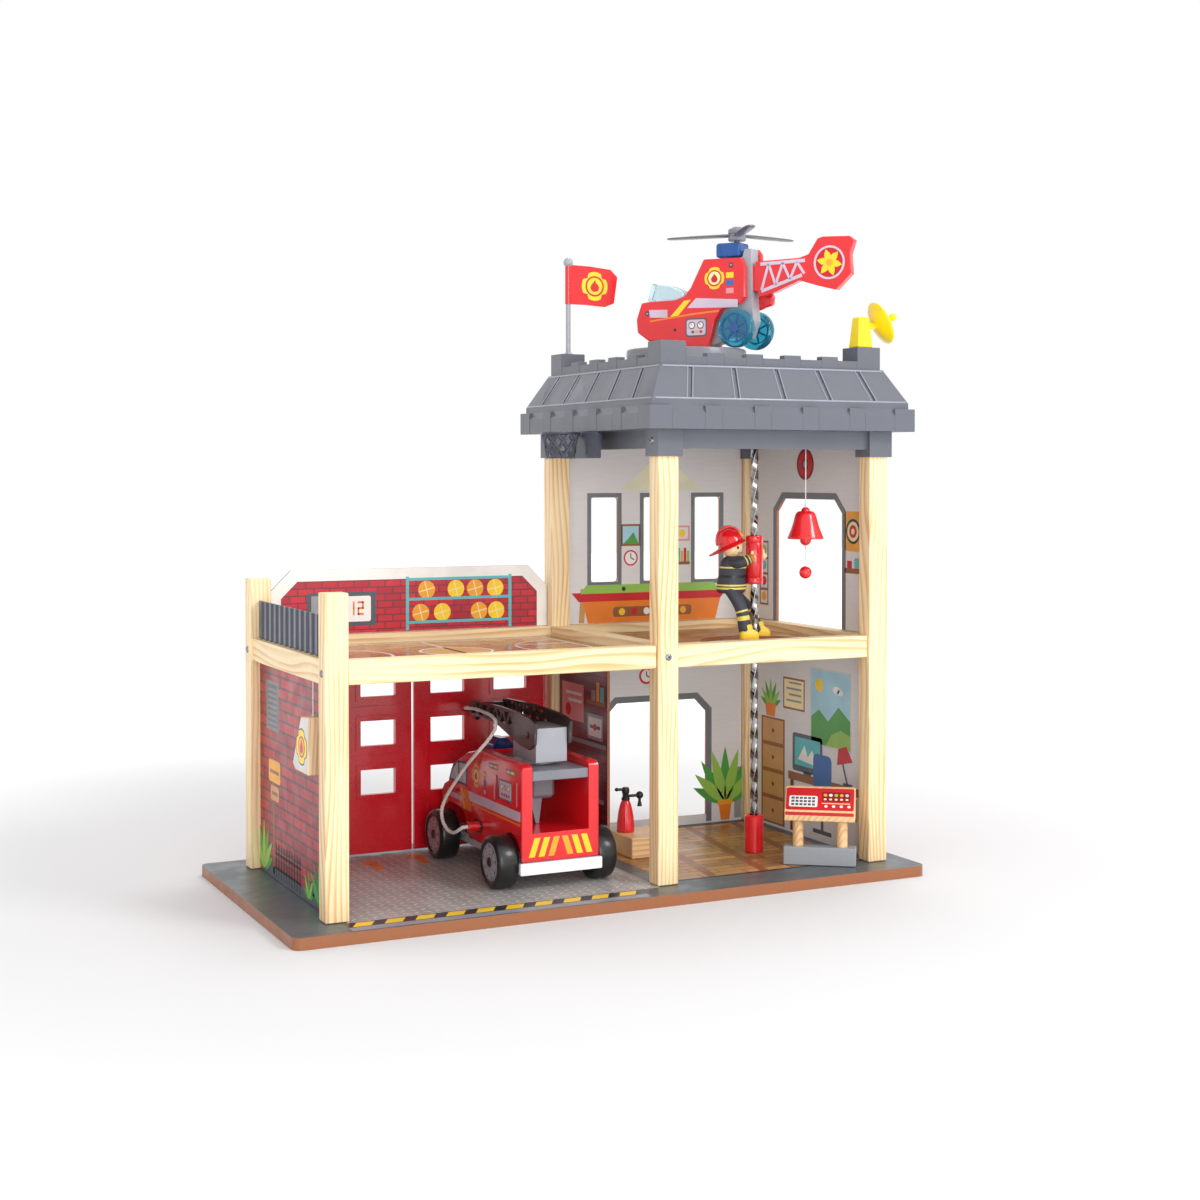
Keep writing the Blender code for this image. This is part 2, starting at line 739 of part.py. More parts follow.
def smooth_path(points, steps):
    """Points of a smooth curve through way points."""
    spots = [Vector(p) for p in points]
    padded = [2 * spots[0] - spots[1]] + spots + [2 * spots[-1] - spots[-2]]
    path = []
    for index in range(1, len(padded) - 2):
        before, here, after, beyond = padded[index - 1 : index + 3]
        for step in range(steps):
            t = step / steps
            path.append(
                (
                    2 * here
                    + (after - before) * t
                    + (2 * before - 5 * here + 4 * after - beyond) * t ** 2
                    + (3 * here - before - 3 * after + beyond) * t ** 3
                )
                / 2
            )
    path.append(spots[-1])
    return path


def combine(obj, other, operation, solver):
    """Cut a helper out of a piece, or join it in."""
    helper(other)
    step = obj.modifiers.new(operation.lower(), "BOOLEAN")
    step.operation = operation
    step.solver = solver
    step.object = other
    return obj


def cut(obj, *others, solver="EXACT"):
    """Cut helpers out of a piece."""
    for other in others:
        combine(obj, other, "DIFFERENCE", solver)
    return obj


def join(obj, *others, solver="EXACT"):
    """Join helpers into a piece as one body."""
    for other in others:
        combine(obj, other, "UNION", solver)
    return obj


def soften(obj, width, segments=1):
    """Round a piece's sharp edges."""
    edge = obj.modifiers.new("edges", "BEVEL")
    edge.width = width
    edge.segments = segments
    edge.limit_method = "ANGLE"
    edge.angle_limit = math.radians(SMOOTH_DEGREES)
    return obj


def rounded(width, height, corner, middle=(0.0, 0.0), steps=4):
    """Outline of a rectangle with round corners."""
    points = []
    for index, (side_x, side_y) in enumerate(((1, 1), (-1, 1), (-1, -1), (1, -1))):
        for step in range(steps + 1):
            angle = math.pi / 2 * (index + step / steps)
            points.append(
                (
                    middle[0] + side_x * (width / 2 - corner) + corner * math.cos(angle),
                    middle[1] + side_y * (height / 2 - corner) + corner * math.sin(angle),
                )
            )
    return points


def doorway(middle, width, bottom, top, chamfer):
    """Outline of a doorway with its two upper corners cut off."""
    left = middle - width / 2
    right = middle + width / 2
    return (
        (left, bottom),
        (right, bottom),
        (right, top - chamfer),
        (right - chamfer, top),
        (left + chamfer, top),
        (left, top - chamfer),
    )


def scaled(shares, width, height, left=0.0, bottom=0.0):
    """Outline from shares of a width and a height."""
    return [(left + across * width, bottom + up * height) for across, up in shares]


# Lines shared by the posts, rails and boards.
FRONT_FACE = -FRONT_POST_Y - POST_DEPTH / 2
FRONT_INNER = -FRONT_POST_Y + POST_DEPTH / 2
BACK_INNER = BACK_POST_Y - POST_DEPTH / 2
BACK_FACE = BACK_POST_Y + POST_DEPTH / 2
LEFT_INNER = -LEFT_POST_X + POST_WIDTH / 2
MIDDLE_LEFT = MIDDLE_POST_X - POST_WIDTH / 2
MIDDLE_RIGHT = MIDDLE_POST_X + POST_WIDTH / 2
RIGHT_INNER = RIGHT_POST_X - POST_WIDTH / 2
RAIL_TOP = RAIL_BOTTOM + RAIL_HEIGHT
BOARD_FOOT = BASE_THICKNESS + GAP
DOOR_PIVOT_INSET = DOOR_EDGE_GAP + DOOR_BARREL_RADIUS
LEFT_PIVOT_X = LEFT_INNER + DOOR_PIVOT_INSET
RIGHT_PIVOT_X = MIDDLE_LEFT - DOOR_PIVOT_INSET
SKIRT_LEFT = ROOF_X - SKIRT_HALF
TRUCK_SIDE_X = TRUCK_X - BODY_WIDTH / 2
AXLE_Z = GROUND_Z + WHEEL_RADIUS + GAP


def pin_holes(name, low, high):
    """Cutter for the doors' pin sockets between two heights."""
    ends = [((x, DOOR_Y, low), (x, DOOR_Y, high)) for x in (LEFT_PIVOT_X, RIGHT_PIVOT_X)]
    return rods(name, ends, DOOR_PIN_RADIUS + GAP)


def base_board():
    """Board with rounded corners and a socket for each door's lower pin."""
    board = sheet(
        "base_board",
        [rounded(BASE_LENGTH, BASE_DEPTH, BASE_CORNER)],
        BASE_THICKNESS,
        "XY",
        BASE_THICKNESS / 2,
    )
    depth = DOOR_PIN_LENGTH + GAP
    cut(board, pin_holes("base_sockets", BASE_THICKNESS - depth, BASE_THICKNESS + depth))
    return part(board, (0.16, 0.18, 0.20), 0.5)


def post_box(x, y, top):
    """Corners of one post."""
    half_x = POST_WIDTH / 2
    half_y = POST_DEPTH / 2
    return (x - half_x, y - half_y, BOARD_FOOT), (x + half_x, y + half_y, top)


def end_frame(name, x, top, setback_left=0.0, setback_right=0.0):
    """Two posts glued to the cross rail between them, as one frame."""
    frame = boxes(name, [post_box(x, -FRONT_POST_Y, top)])
    soften(frame, POST_EDGE)
    back = soften(boxes(name + "_back_post", [post_box(x, BACK_POST_Y, top)]), POST_EDGE)
    root = POST_DEPTH / 4
    low = (x - POST_WIDTH / 2 + setback_left, FRONT_INNER - root, RAIL_BOTTOM)
    high = (x + POST_WIDTH / 2 - setback_right, BACK_INNER + root, RAIL_TOP)
    join(frame, back, boxes(name + "_rail", [(low, high)]))
    return part(frame, (0.86, 0.66, 0.42), 0.5)


def frames():
    """Frames at the garage's left end, in the middle and at the tower's right end."""
    end_frame("garage_end_frame", -LEFT_POST_X, GARAGE_POST_TOP, setback_left=RAIL_SETBACK)
    end_frame("middle_frame", MIDDLE_POST_X, TOWER_POST_TOP, RAIL_EASE, RAIL_EASE)
    end_frame("tower_end_frame", RIGHT_POST_X, TOWER_POST_TOP, setback_right=RAIL_SETBACK)


def long_rails():
    """Front and back rails of the garage and of the tower."""
    depth = DOOR_PIN_LENGTH + GAP
    for place, left, right in (("garage", LEFT_INNER, MIDDLE_LEFT), ("tower", MIDDLE_RIGHT, RIGHT_INNER)):
        for end, near, far in (("front", FRONT_FACE + RAIL_SETBACK, FRONT_INNER), ("back", BACK_INNER, BACK_FACE)):
            span = ((left + GAP, near, RAIL_BOTTOM), (right - GAP, far, RAIL_TOP))
            rail = soften(boxes(f"{place}_rail_{end}", [span]), POST_EDGE)
            if place == "garage" and end == "back":
                cut(rail, pin_holes("rail_sockets", RAIL_BOTTOM - depth, RAIL_BOTTOM + depth))
            part(rail, (0.86, 0.66, 0.42), 0.5)


def floors():
    """Terrace board, and the tower's board with the pole's round opening."""
    bottom = FLOOR_TOP - FLOOR_THICKNESS
    terrace = boxes(
        "terrace_floor",
        [((LEFT_INNER + GAP, FRONT_INNER + GAP, bottom), (MIDDLE_LEFT - GAP, BACK_INNER - GAP, FLOOR_TOP))],
    )
    part(terrace, (0.45, 0.16, 0.13), 0.5)
    tower = boxes(
        "tower_floor",
        [((MIDDLE_RIGHT + GAP, FRONT_INNER + GAP, bottom), (RIGHT_INNER - GAP, BACK_INNER - GAP, FLOOR_TOP))],
    )
    ends = [((POLE_X, POLE_Y, bottom - FLOOR_THICKNESS), (POLE_X, POLE_Y, FLOOR_TOP + FLOOR_THICKNESS))]
    cut(tower, rods("floor_hole", ends, FLOOR_HOLE_RADIUS, steps=FINE_STEPS))
    part(tower, (0.62, 0.38, 0.20), 0.5)


def plain_walls():
    """Garage side wall and the divider under the middle rail."""
    top = RAIL_BOTTOM - GAP
    side = boxes(
        "garage_side_wall",
        [
            (
                (-LEFT_WALL_OUTER_X, FRONT_INNER + GAP, BOARD_FOOT),
                (-LEFT_WALL_OUTER_X + WALL_THICKNESS, BACK_INNER - GAP, top),
            )
        ],
    )
    part(side, (0.62, 0.07, 0.10), 0.4)
    divider = boxes(
        "divider_wall",
        [
            (
                (DIVIDER_X - WALL_THICKNESS / 2, -DIVIDER_FRONT_Y, BOARD_FOOT),
                (DIVIDER_X + WALL_THICKNESS / 2, BACK_INNER - GAP, top),
            )
        ],
    )
    part(divider, (0.36, 0.05, 0.07), 0.4)


def back_walls():
    """Tower back boards: a doorway below, three windows above."""
    low = (MIDDLE_RIGHT + GAP, BACK_WALL_Y, BOARD_FOOT)
    high = (RIGHT_INNER - GAP, BACK_WALL_Y + WALL_THICKNESS, RAIL_BOTTOM - GAP)
    lower = boxes("back_wall_lower", [(low, high)])
    top = BACK_DOORWAY_BOTTOM + BACK_DOORWAY_HEIGHT
    door = doorway(BACK_DOORWAY_X, BACK_DOORWAY_WIDTH, BACK_DOORWAY_BOTTOM, top, DOORWAY_CHAMFER)
    level = BACK_WALL_Y + WALL_THICKNESS / 2
    cut(lower, sheet("back_doorway", [door], WALL_THICKNESS * 3, "XZ", level))
    part(lower, (0.75, 0.75, 0.74), 0.4)
    low = (low[0], low[1], RAIL_TOP + GAP)
    high = (high[0], high[1], UPPER_WALL_TOP)
    upper = boxes("back_wall_upper", [(low, high)])
    middle_z = WINDOW_BOTTOM + WINDOW_HEIGHT / 2
    outlines = []
    for step in (-1, 0, 1):
        place = (BACK_DOORWAY_X + step * WINDOW_PITCH, middle_z)
        outlines.append(rounded(WINDOW_WIDTH, WINDOW_HEIGHT, WINDOW_CORNER, place, steps=2))
    cut(upper, sheet("back_windows", outlines, WALL_THICKNESS * 3, "XZ", level))
    part(upper, (0.75, 0.75, 0.74), 0.4)


def side_walls():
    """Tower right boards: solid below, a doorway above."""
    near = FRONT_INNER + GAP
    far = BACK_INNER - GAP
    right = SIDE_WALL_X + WALL_THICKNESS
    lower = boxes("side_wall_lower", [((SIDE_WALL_X, near, BOARD_FOOT), (right, far, RAIL_BOTTOM - GAP))])
    part(lower, (0.75, 0.75, 0.74), 0.4)
    upper = boxes("side_wall_upper", [((SIDE_WALL_X, near, RAIL_TOP + GAP), (right, far, UPPER_WALL_TOP))])
    sill = RAIL_TOP - WALL_THICKNESS
    opening = doorway(SIDE_DOORWAY_Y, SIDE_DOORWAY_WIDTH, sill, SIDE_DOORWAY_TOP, DOORWAY_CHAMFER)
    cut(upper, sheet("side_opening", [opening], WALL_THICKNESS * 3, "YZ", SIDE_WALL_X + WALL_THICKNESS / 2))
    part(upper, (0.75, 0.75, 0.74), 0.4)


def terrace_panel():
    """Upright board at the terrace's back with its upper corners cut off."""
    left = LEFT_INNER + GAP * 3
    right = MIDDLE_LEFT - GAP * 3
    outline = doorway((left + right) / 2, right - left, RAIL_TOP + GAP, BACK_PANEL_TOP, BACK_PANEL_CHAMFER)
    panel = sheet("terrace_panel", [outline], WALL_THICKNESS, "XZ", BACK_PANEL_Y + WALL_THICKNESS / 2)
    return part(panel, (0.62, 0.07, 0.10), 0.4)


def terrace_railing():
    """Corrugated sheet along the terrace's left edge."""
    start = FRONT_INNER + GAP
    stop = BACK_INNER - GAP
    pitch = (stop - start) / (RAILING_RIBS + 0.5)
    outer = []
    inner = []
    for rib in range(RAILING_RIBS):
        foot = start + pitch * (rib + 0.5)
        for share, lift in RAILING_RIB_SHARES:
            across = -RAILING_OUTER_X + RAILING_RIB_DEPTH * (1 - lift)
            outer.append((across, foot + pitch * share))
            inner.append((across + RAILING_SHEET, foot + pitch * share))
    flat = -RAILING_OUTER_X + RAILING_RIB_DEPTH
    outer = [(flat, start)] + outer + [(flat, stop)]
    inner = [(flat + RAILING_SHEET, start)] + inner + [(flat + RAILING_SHEET, stop)]
    bottom = RAIL_TOP + GAP
    outline = outer + list(reversed(inner))
    railing = sheet("terrace_railing", [outline], RAILING_TOP - bottom, "XY", (RAILING_TOP + bottom) / 2)
    return part(railing, (0.20, 0.21, 0.24), 0.45)


def door_boxes(side, pivot_x):
    """Boxes for the door's raised work: window frames, ribs and the low panel."""
    half = DOOR_THICKNESS / 2 + DOOR_RELIEF
    near = DOOR_Y - half
    far = DOOR_Y + half

    def span(start, stop, low, high):
        ends = sorted((pivot_x + side * start, pivot_x + side * stop))
        return (ends[0], near, low), (ends[1], far, high)

    frames = []
    windows = []
    reach_x = DOOR_WINDOW_WIDTH / 2
    reach_z = DOOR_WINDOW_HEIGHT / 2
    for column in DOOR_WINDOW_COLUMNS:
        for row in DOOR_WINDOW_ROWS:
            edge = DOOR_FRAME_WIDTH
            wide = reach_x + edge
            tall = reach_z + edge
            frames.append(span(column - wide, column + wide, row - tall, row + tall))
            low, high = span(column - reach_x, column + reach_x, row - reach_z, row + reach_z)
            windows.append(((low[0], low[1] - edge, low[2]), (high[0], high[1] + edge, high[2])))
    ribs = []
    for low_row, high_row in zip(DOOR_WINDOW_ROWS, DOOR_WINDOW_ROWS[1:]):
        middle = (low_row + high_row) / 2
        stop = DOOR_PANEL_START + DOOR_PANEL_WIDTH
        ribs.append(span(DOOR_PANEL_START, stop, middle - DOOR_RIB_HEIGHT / 2, middle + DOOR_RIB_HEIGHT / 2))
    panel_stop = DOOR_PANEL_START + DOOR_PANEL_WIDTH
    panel = span(DOOR_PANEL_START, panel_stop, DOOR_PANEL_BOTTOM, DOOR_PANEL_BOTTOM + DOOR_PANEL_HEIGHT)
    return frames, windows, ribs + [panel]


def garage_door(name, side, pivot_x):
    """One door leaf with its hinge barrel and pins."""
    reach = (RIGHT_PIVOT_X - LEFT_PIVOT_X - DOOR_MEETING_GAP) / 2
    ends = sorted((pivot_x, pivot_x + side * reach))
    half = DOOR_THICKNESS / 2
    leaf = boxes(name, [((ends[0], DOOR_Y - half, DOOR_BOTTOM), (ends[1], DOOR_Y + half, DOOR_TOP))])
    frames, windows, ribs = door_boxes(side, pivot_x)
    whole = [((pivot_x, DOOR_Y, DOOR_BOTTOM), (pivot_x, DOOR_Y, DOOR_TOP))]
    barrel = rods(name + "_barrel", whole, DOOR_BARREL_RADIUS)
    low = BASE_THICKNESS - DOOR_PIN_LENGTH
    high = RAIL_BOTTOM + DOOR_PIN_LENGTH
    pins = rods(name + "_pins", [((pivot_x, DOOR_Y, low), (pivot_x, DOOR_Y, high))], DOOR_PIN_RADIUS)
    join(leaf, barrel, pins, boxes(name + "_frames", frames), boxes(name + "_ribs", ribs))
    cut(leaf, boxes(name + "_windows", windows))
    pivot = joint(name + "_pivot", (pivot_x, DOOR_Y, DOOR_BOTTOM))
    return hang(part(leaf, (0.72, 0.04, 0.06), 0.35), pivot)


def round_the_roof(place):
    """The four turns of a point given for the roof's front side."""
    x, y = place
    return ((x, y), (-y, x), (-x, -y), (y, -x))


def corner_box(first, second, low, high):
    """Box between two plan points given from the roof's middle."""
    xs = sorted((first[0], second[0]))
    ys = sorted((first[1], second[1]))
    return (ROOF_X + xs[0], ROOF_Y + ys[0], low), (ROOF_X + xs[1], ROOF_Y + ys[1], high)


def roof_joints():
    """Cutter for the joints between the slope's slabs."""
    bm = bmesh.new()
    low = Vector((0.0, -EAVE_HALF + LIP_INSET, LIP_TOP))
    high = Vector((0.0, -EAVE_HALF + SLOPE_TOP_INSET, SLOPE_TOP))
    slope = (high - low).normalized()
    for quarter in range(4):
        turn = Matrix.Translation((ROOF_X, ROOF_Y, 0.0)) @ Matrix.Rotation(quarter * math.pi / 2, 4, "Z")
        for index in range(JOINT_COUNT):
            place = index - (JOINT_COUNT - 1) / 2
            foot = low + Vector((place * JOINT_PITCH_LOW, 0.0, 0.0)) + slope * JOINT_WIDTH / 2
            head = high + Vector((place * JOINT_PITCH_HIGH, 0.0, 0.0)) - slope * JOINT_WIDTH / 2
            along = (head - foot).normalized()
            out = Vector((0.0, -slope.z, slope.y))
            across = along.cross(out).normalized()
            frame = Matrix((across, along, out)).transposed().to_4x4()
            size = Matrix.Diagonal((JOINT_WIDTH, (head - foot).length, JOINT_DEPTH * 2, 1.0))
            placed = turn @ Matrix.Translation((foot + head) / 2) @ frame @ size
            bmesh.ops.create_cube(bm, size=1.0, matrix=placed)
    return finish_mesh("roof_joints", bm)


def along_sides(count, pitch, width, half, depth):
    """Plan corners of evenly spaced blocks along the roof's four sides."""
    pairs = []
    for index in range(count):
        along = (index - (count - 1) / 2) * pitch
        start = (along - width / 2, -half)
        stop = (along + width / 2, -half + depth)
        pairs += zip(round_the_roof(start), round_the_roof(stop))
    return pairs


def at_corners(half, size):
    """Plan corners of a block at each of the roof's four corners."""
    return list(zip(round_the_roof((-half, -half)), round_the_roof((size - half, size - half))))


def raised_bricks():
    """Bricks of the eave and the parapet, and the corner turrets."""
    eave = EAVE_HALF + BRICK_PROUD
    wall = PARAPET_HALF + BRICK_PROUD
    bricks = along_sides(EAVE_TOOTH_COUNT, EAVE_TOOTH_PITCH, EAVE_TOOTH_WIDTH, eave, EAVE_TOOTH_DEPTH)
    bricks += at_corners(eave, EAVE_CORNER_TOOTH)
    spans = [corner_box(low, high, EAVE_BOTTOM + BRICK_PROUD, EAVE_TOP - BRICK_PROUD) for low, high in bricks]
    foot = (DECK_TOP + CAVITY_TOP) / 2
    depth = PARAPET_THICKNESS + BRICK_PROUD * 2
    merlons = along_sides(PARAPET_TOOTH_COUNT, PARAPET_TOOTH_PITCH, PARAPET_TOOTH_WIDTH, wall, depth)
    spans += [corner_box(low, high, foot, PARAPET_TOOTH_TOP) for low, high in merlons]
    spans += [corner_box(low, high, foot, TURRET_TOP) for low, high in at_corners(wall, TURRET_SIZE)]
    return boxes("raised_bricks", spans)


def cap_boxes(name, width, depth, low, high):
    """Boxes round the four tower posts' heads."""
    spans = []
    for x in (MIDDLE_POST_X, RIGHT_POST_X):
        for y in (-FRONT_POST_Y, BACK_POST_Y):
            spans.append(((x - width / 2, y - depth / 2, low), (x + width / 2, y + depth / 2, high)))
    return boxes(name, spans)


def roof_body():
    """Four-sided shell of the roof: parapet, slope, lip, eave and skirt, open underneath."""
    inner = PARAPET_HALF - PARAPET_THICKNESS
    lip = EAVE_HALF - LIP_INSET
    steps_down = (
        (0.0, DECK_TOP),
        (inner, DECK_TOP),
        (inner, PARAPET_BRICK_TOP),
        (PARAPET_HALF, PARAPET_BRICK_TOP),
        (PARAPET_HALF, SLOPE_TOP),
        (EAVE_HALF - SLOPE_TOP_INSET, SLOPE_TOP),
        (lip, LIP_TOP),
        (lip, EAVE_TOP),
        (EAVE_HALF, EAVE_BRICK_TOP),
        (EAVE_HALF, EAVE_BOTTOM),
        (SKIRT_HALF, EAVE_BOTTOM),
        (SKIRT_HALF, SKIRT_BOTTOM),
        (SKIRT_HALF - ROOF_WALL, SKIRT_BOTTOM),
        (CAVITY_TOP_HALF, CAVITY_TOP),
        (0.0, CAVITY_TOP),
    )
    profile = [(half * math.sqrt(2), height) for half, height in steps_down]
    return turned("roof", profile, (ROOF_X, ROOF_Y, 0.0), steps=4, quarter=math.pi / 4)


def roof():
    """Grey roof moulding, hollow underneath, on caps over the posts."""
    shell = roof_body()
    cut(shell, roof_joints(), solver="MANIFOLD")
    join(shell, raised_bricks(), solver="MANIFOLD")
    join(shell, cap_boxes("caps", CAP_WIDTH, CAP_DEPTH, CAP_BOTTOM, EAVE_BOTTOM + ROOF_WALL), solver="MANIFOLD")
    socket_top = TOWER_POST_TOP + GAP
    sockets = cap_boxes("sockets", POST_WIDTH + GAP * 2, POST_DEPTH + GAP * 2, CAP_BOTTOM - CAP_DEPTH, socket_top)
    cut(shell, sockets, wall_slots(), flag_hole(), solver="MANIFOLD")
    return part(shell, (0.25, 0.27, 0.31), 0.35)


def wall_slots():
    """Cutter that keeps the caps clear of the tower's two upper boards."""
    low = CAP_BOTTOM - CAP_DEPTH
    high = UPPER_WALL_TOP + GAP
    back = ((MIDDLE_RIGHT, BACK_WALL_Y - GAP, low), (RIGHT_INNER, BACK_WALL_Y + WALL_THICKNESS + GAP, high))
    side = ((SIDE_WALL_X - GAP, FRONT_INNER, low), (SIDE_WALL_X + WALL_THICKNESS + GAP, BACK_INNER, high))
    return boxes("wall_slots", [back, side])


def turret_middle(side_x, side_y):
    """Plan middle of one corner turret."""
    reach = PARAPET_HALF - TURRET_SIZE / 2
    return ROOF_X + side_x * reach, ROOF_Y + side_y * reach


def flag_hole():
    """Cutter for the flag pole's seat."""
    x, y = turret_middle(-1, 1)
    ends = [((x, y, TURRET_TOP - FLAG_SEAT_DEPTH), (x, y, TURRET_TOP + FLAG_SEAT_DEPTH))]
    return rods("flag_seat", ends, FLAG_POLE_RADIUS + GAP)


def hoop_net():
    """Tapering basket net as a lattice."""
    bm = bmesh.new()
    sides = HOOP_NET_SIDES
    bmesh.ops.create_grid(bm, x_segments=sides, y_segments=HOOP_NET_ROWS, size=0.5)
    for vert in bm.verts:
        turn = (vert.co.x + 0.5) * math.tau
        share = vert.co.y + 0.5
        radius = HOOP_NET_BOTTOM_RADIUS + (HOOP_RADIUS - HOOP_NET_BOTTOM_RADIUS) * share
        height = HOOP_NET_BOTTOM + (HOOP_RING_Z - HOOP_NET_BOTTOM) * share
        vert.co = (
            HOOP_RING_X + radius * math.cos(turn),
            HOOP_BOARD_Y + radius * math.sin(turn),
            height,
        )
    bmesh.ops.remove_doubles(bm, verts=bm.verts, dist=WELD)
    net = finish_mesh("hoop", bm)
    strands = net.modifiers.new("strands", "WIREFRAME")
    strands.thickness = HOOP_NET_STRAND
    strands.use_even_offset = False
    strands.offset = 0.0
    strands.use_boundary = True
    return net


def hoop():
    """Basketball backboard, ring and net below the eave's left side."""
    net = hoop_net()
    bm = bmesh.new()
    bmesh.ops.create_circle(bm, cap_ends=False, segments=6, radius=HOOP_WIRE)
    for vert in bm.verts:
        vert.co = (HOOP_RADIUS + vert.co.x, 0.0, vert.co.y)
    mesh = bpy.data.meshes.new("hoop_ring")
    bm.to_mesh(mesh)
    bm.free()
    ring = bpy.data.objects.new("hoop_ring", mesh)
    ring.location = (HOOP_RING_X, HOOP_BOARD_Y, HOOP_RING_Z)
    spin = ring.modifiers.new("spin", "SCREW")
    spin.steps = HOOP_NET_SIDES * 2
    spin.render_steps = HOOP_NET_SIDES * 2
    spin.use_merge_vertices = True
    spin.merge_threshold = WELD
    spin.use_normal_calculate = True
    top = EAVE_BOTTOM - GAP
    board = (
        (HOOP_BOARD_X, HOOP_BOARD_Y - HOOP_BOARD_WIDTH / 2, HOOP_BOARD_BOTTOM),
        (HOOP_BOARD_X + HOOP_BOARD_THICKNESS, HOOP_BOARD_Y + HOOP_BOARD_WIDTH / 2, top),
    )
    plate = boxes("hoop_board", [board])
    half = HOOP_LUG_WIDTH / 2
    lug_low = top - HOOP_LUG_HEIGHT
    spans = [
        (
            (HOOP_BOARD_X + HOOP_BOARD_THICKNESS / 2, HOOP_BOARD_Y - half, lug_low),
            (SKIRT_LEFT - GAP, HOOP_BOARD_Y + half, top),
        ),
        (
            (HOOP_RING_X + HOOP_RADIUS, HOOP_BOARD_Y - HOOP_WIRE * 2, HOOP_RING_Z - HOOP_WIRE * 2),
            (HOOP_BOARD_X + HOOP_BOARD_THICKNESS / 2, HOOP_BOARD_Y + HOOP_WIRE * 2, HOOP_RING_Z),
        ),
    ]
    join(net, ring, plate, boxes("hoop_lugs", spans), solver="MANIFOLD")
    return part(net, (0.20, 0.22, 0.26), 0.4)


def helipad():
    """Round pad on the deck, its middle sunk inside the rim."""
    height = PAD_TOP - DECK_TOP - GAP
    bevel = PAD_RIM / 2
    profile = (
        (0.0, height - PAD_RECESS),
        (PAD_RADIUS - PAD_RIM * 2, height - PAD_RECESS),
        (PAD_RADIUS - PAD_RIM * 2, height),
        (PAD_RADIUS - bevel, height),
        (PAD_RADIUS, height - bevel),
        (PAD_RADIUS, 0.0),
        (0.0, 0.0),
    )
    pad = turned("helipad", profile, (PAD_X, PAD_Y, DECK_TOP + GAP), steps=FINE_STEPS)
    return part(pad, (0.30, 0.31, 0.34), 0.4)


def slide_pole():
    """Square bar twisted along its length."""
    length = POLE_TOP - POLE_FOOT
    rings = round(length / POLE_RING_STEP)
    bm = bmesh.new()
    made = bmesh.ops.create_circle(bm, cap_ends=True, segments=4, radius=POLE_SIZE / math.sqrt(2))
    edges = list({edge for vert in made["verts"] for edge in vert.link_edges})
    for _ in range(rings):
        grown = bmesh.ops.extrude_edge_only(bm, edges=edges)["geom"]
        verts = [item for item in grown if isinstance(item, bmesh.types.BMVert)]
        edges = [item for item in grown if isinstance(item, bmesh.types.BMEdge)]
        bmesh.ops.translate(bm, verts=verts, vec=(0.0, 0.0, length / rings))
        turn = Matrix.Rotation(math.tau * length / rings / POLE_PITCH, 3, "Z")
        bmesh.ops.rotate(bm, verts=verts, cent=(0.0, 0.0, 0.0), matrix=turn)
    bmesh.ops.contextual_create(bm, geom=edges)
    pole = finish_mesh("slide_pole", bm, (POLE_X, POLE_Y, POLE_FOOT))
    return part(pole, (0.75, 0.76, 0.78), 0.15, 1.0)


def pole_cup():
    """Cup that holds the pole's foot on the base board."""
    height = CUP_TOP - BOARD_FOOT
    bore = POLE_SIZE / math.sqrt(2) + GAP * 2
    floor = POLE_FOOT - GAP - BOARD_FOOT
    bevel = CUP_RADIUS - bore
    profile = (
        (bore, height),
        (CUP_RADIUS - bevel / 3, height),
        (CUP_RADIUS, height - bevel / 3),
        (CUP_RADIUS, 0.0),
        (0.0, 0.0),
    )
    cup = turned("pole_cup", ((0.0, floor), (bore, floor)) + profile, (POLE_X, POLE_Y, BOARD_FOOT), steps=WHEEL_STEPS)
    return part(cup, (0.72, 0.04, 0.06), 0.35)


def slide_sleeve(pivot):
    """Plain sleeve that runs on the pole."""
    height = SLEEVE_TOP - SLEEVE_BOTTOM
    bevel = (SLEEVE_RADIUS - SLEEVE_BORE) / 4
    profile = (
        (SLEEVE_BORE, height),
        (SLEEVE_RADIUS - bevel, height),
        (SLEEVE_RADIUS, height - bevel),
        (SLEEVE_RADIUS, bevel),
        (SLEEVE_RADIUS - bevel, 0.0),
        (SLEEVE_BORE, 0.0),
    )
    sleeve = turned("slide_sleeve", profile, (0.0, 0.0, 0.0), steps=WHEEL_STEPS, closed=True)
    return hang(part(sleeve, (0.72, 0.04, 0.06), 0.35), pivot, own_frame=True)


def bell_set():
    """Bell on its string, which carries the clapper and the pull ball."""
    pivot = joint("bell_pivot", (BELL_X, BELL_Y, CAVITY_TOP - GAP))
    height = BELL_TOP_Z - BELL_RIM_Z
    outer = [(BELL_RADIUS * across, height * up) for across, up in BELL_SHARES]
    inner = [(radius - BELL_WALL, up - BELL_WALL * BELL_WALL_LIFT_SHARE) for radius, up in outer[:-1]]
    profile = [(0.0, outer[0][1])] + outer + [(outer[-1][0] - BELL_WALL, 0.0)] + inner[::-1] + [(0.0, inner[0][1])]
    bell = turned("bell", profile, (BELL_X, BELL_Y, BELL_RIM_Z), steps=WHEEL_STEPS)
    crown = [((BELL_X, BELL_Y, BELL_RIM_Z), (BELL_X, BELL_Y, BELL_TOP_Z + BELL_WALL))]
    cut(bell, rods("bell_hole", crown, STRING_RADIUS + GAP, steps=8))
    hang(part(bell, (0.72, 0.03, 0.05), 0.25), pivot)
    ends = [((BELL_X, BELL_Y, PULL_Z), (BELL_X, BELL_Y, CAVITY_TOP - GAP))]
    string = rods("bell_string", ends, STRING_RADIUS, steps=8)
    join(string, balls("clapper", [(BELL_X, BELL_Y, CLAPPER_Z)], CLAPPER_RADIUS))
    join(string, balls("pull_ball", [(BELL_X, BELL_Y, PULL_Z)], PULL_RADIUS))
    hang(part(string, (0.85, 0.84, 0.80), 0.8), pivot)


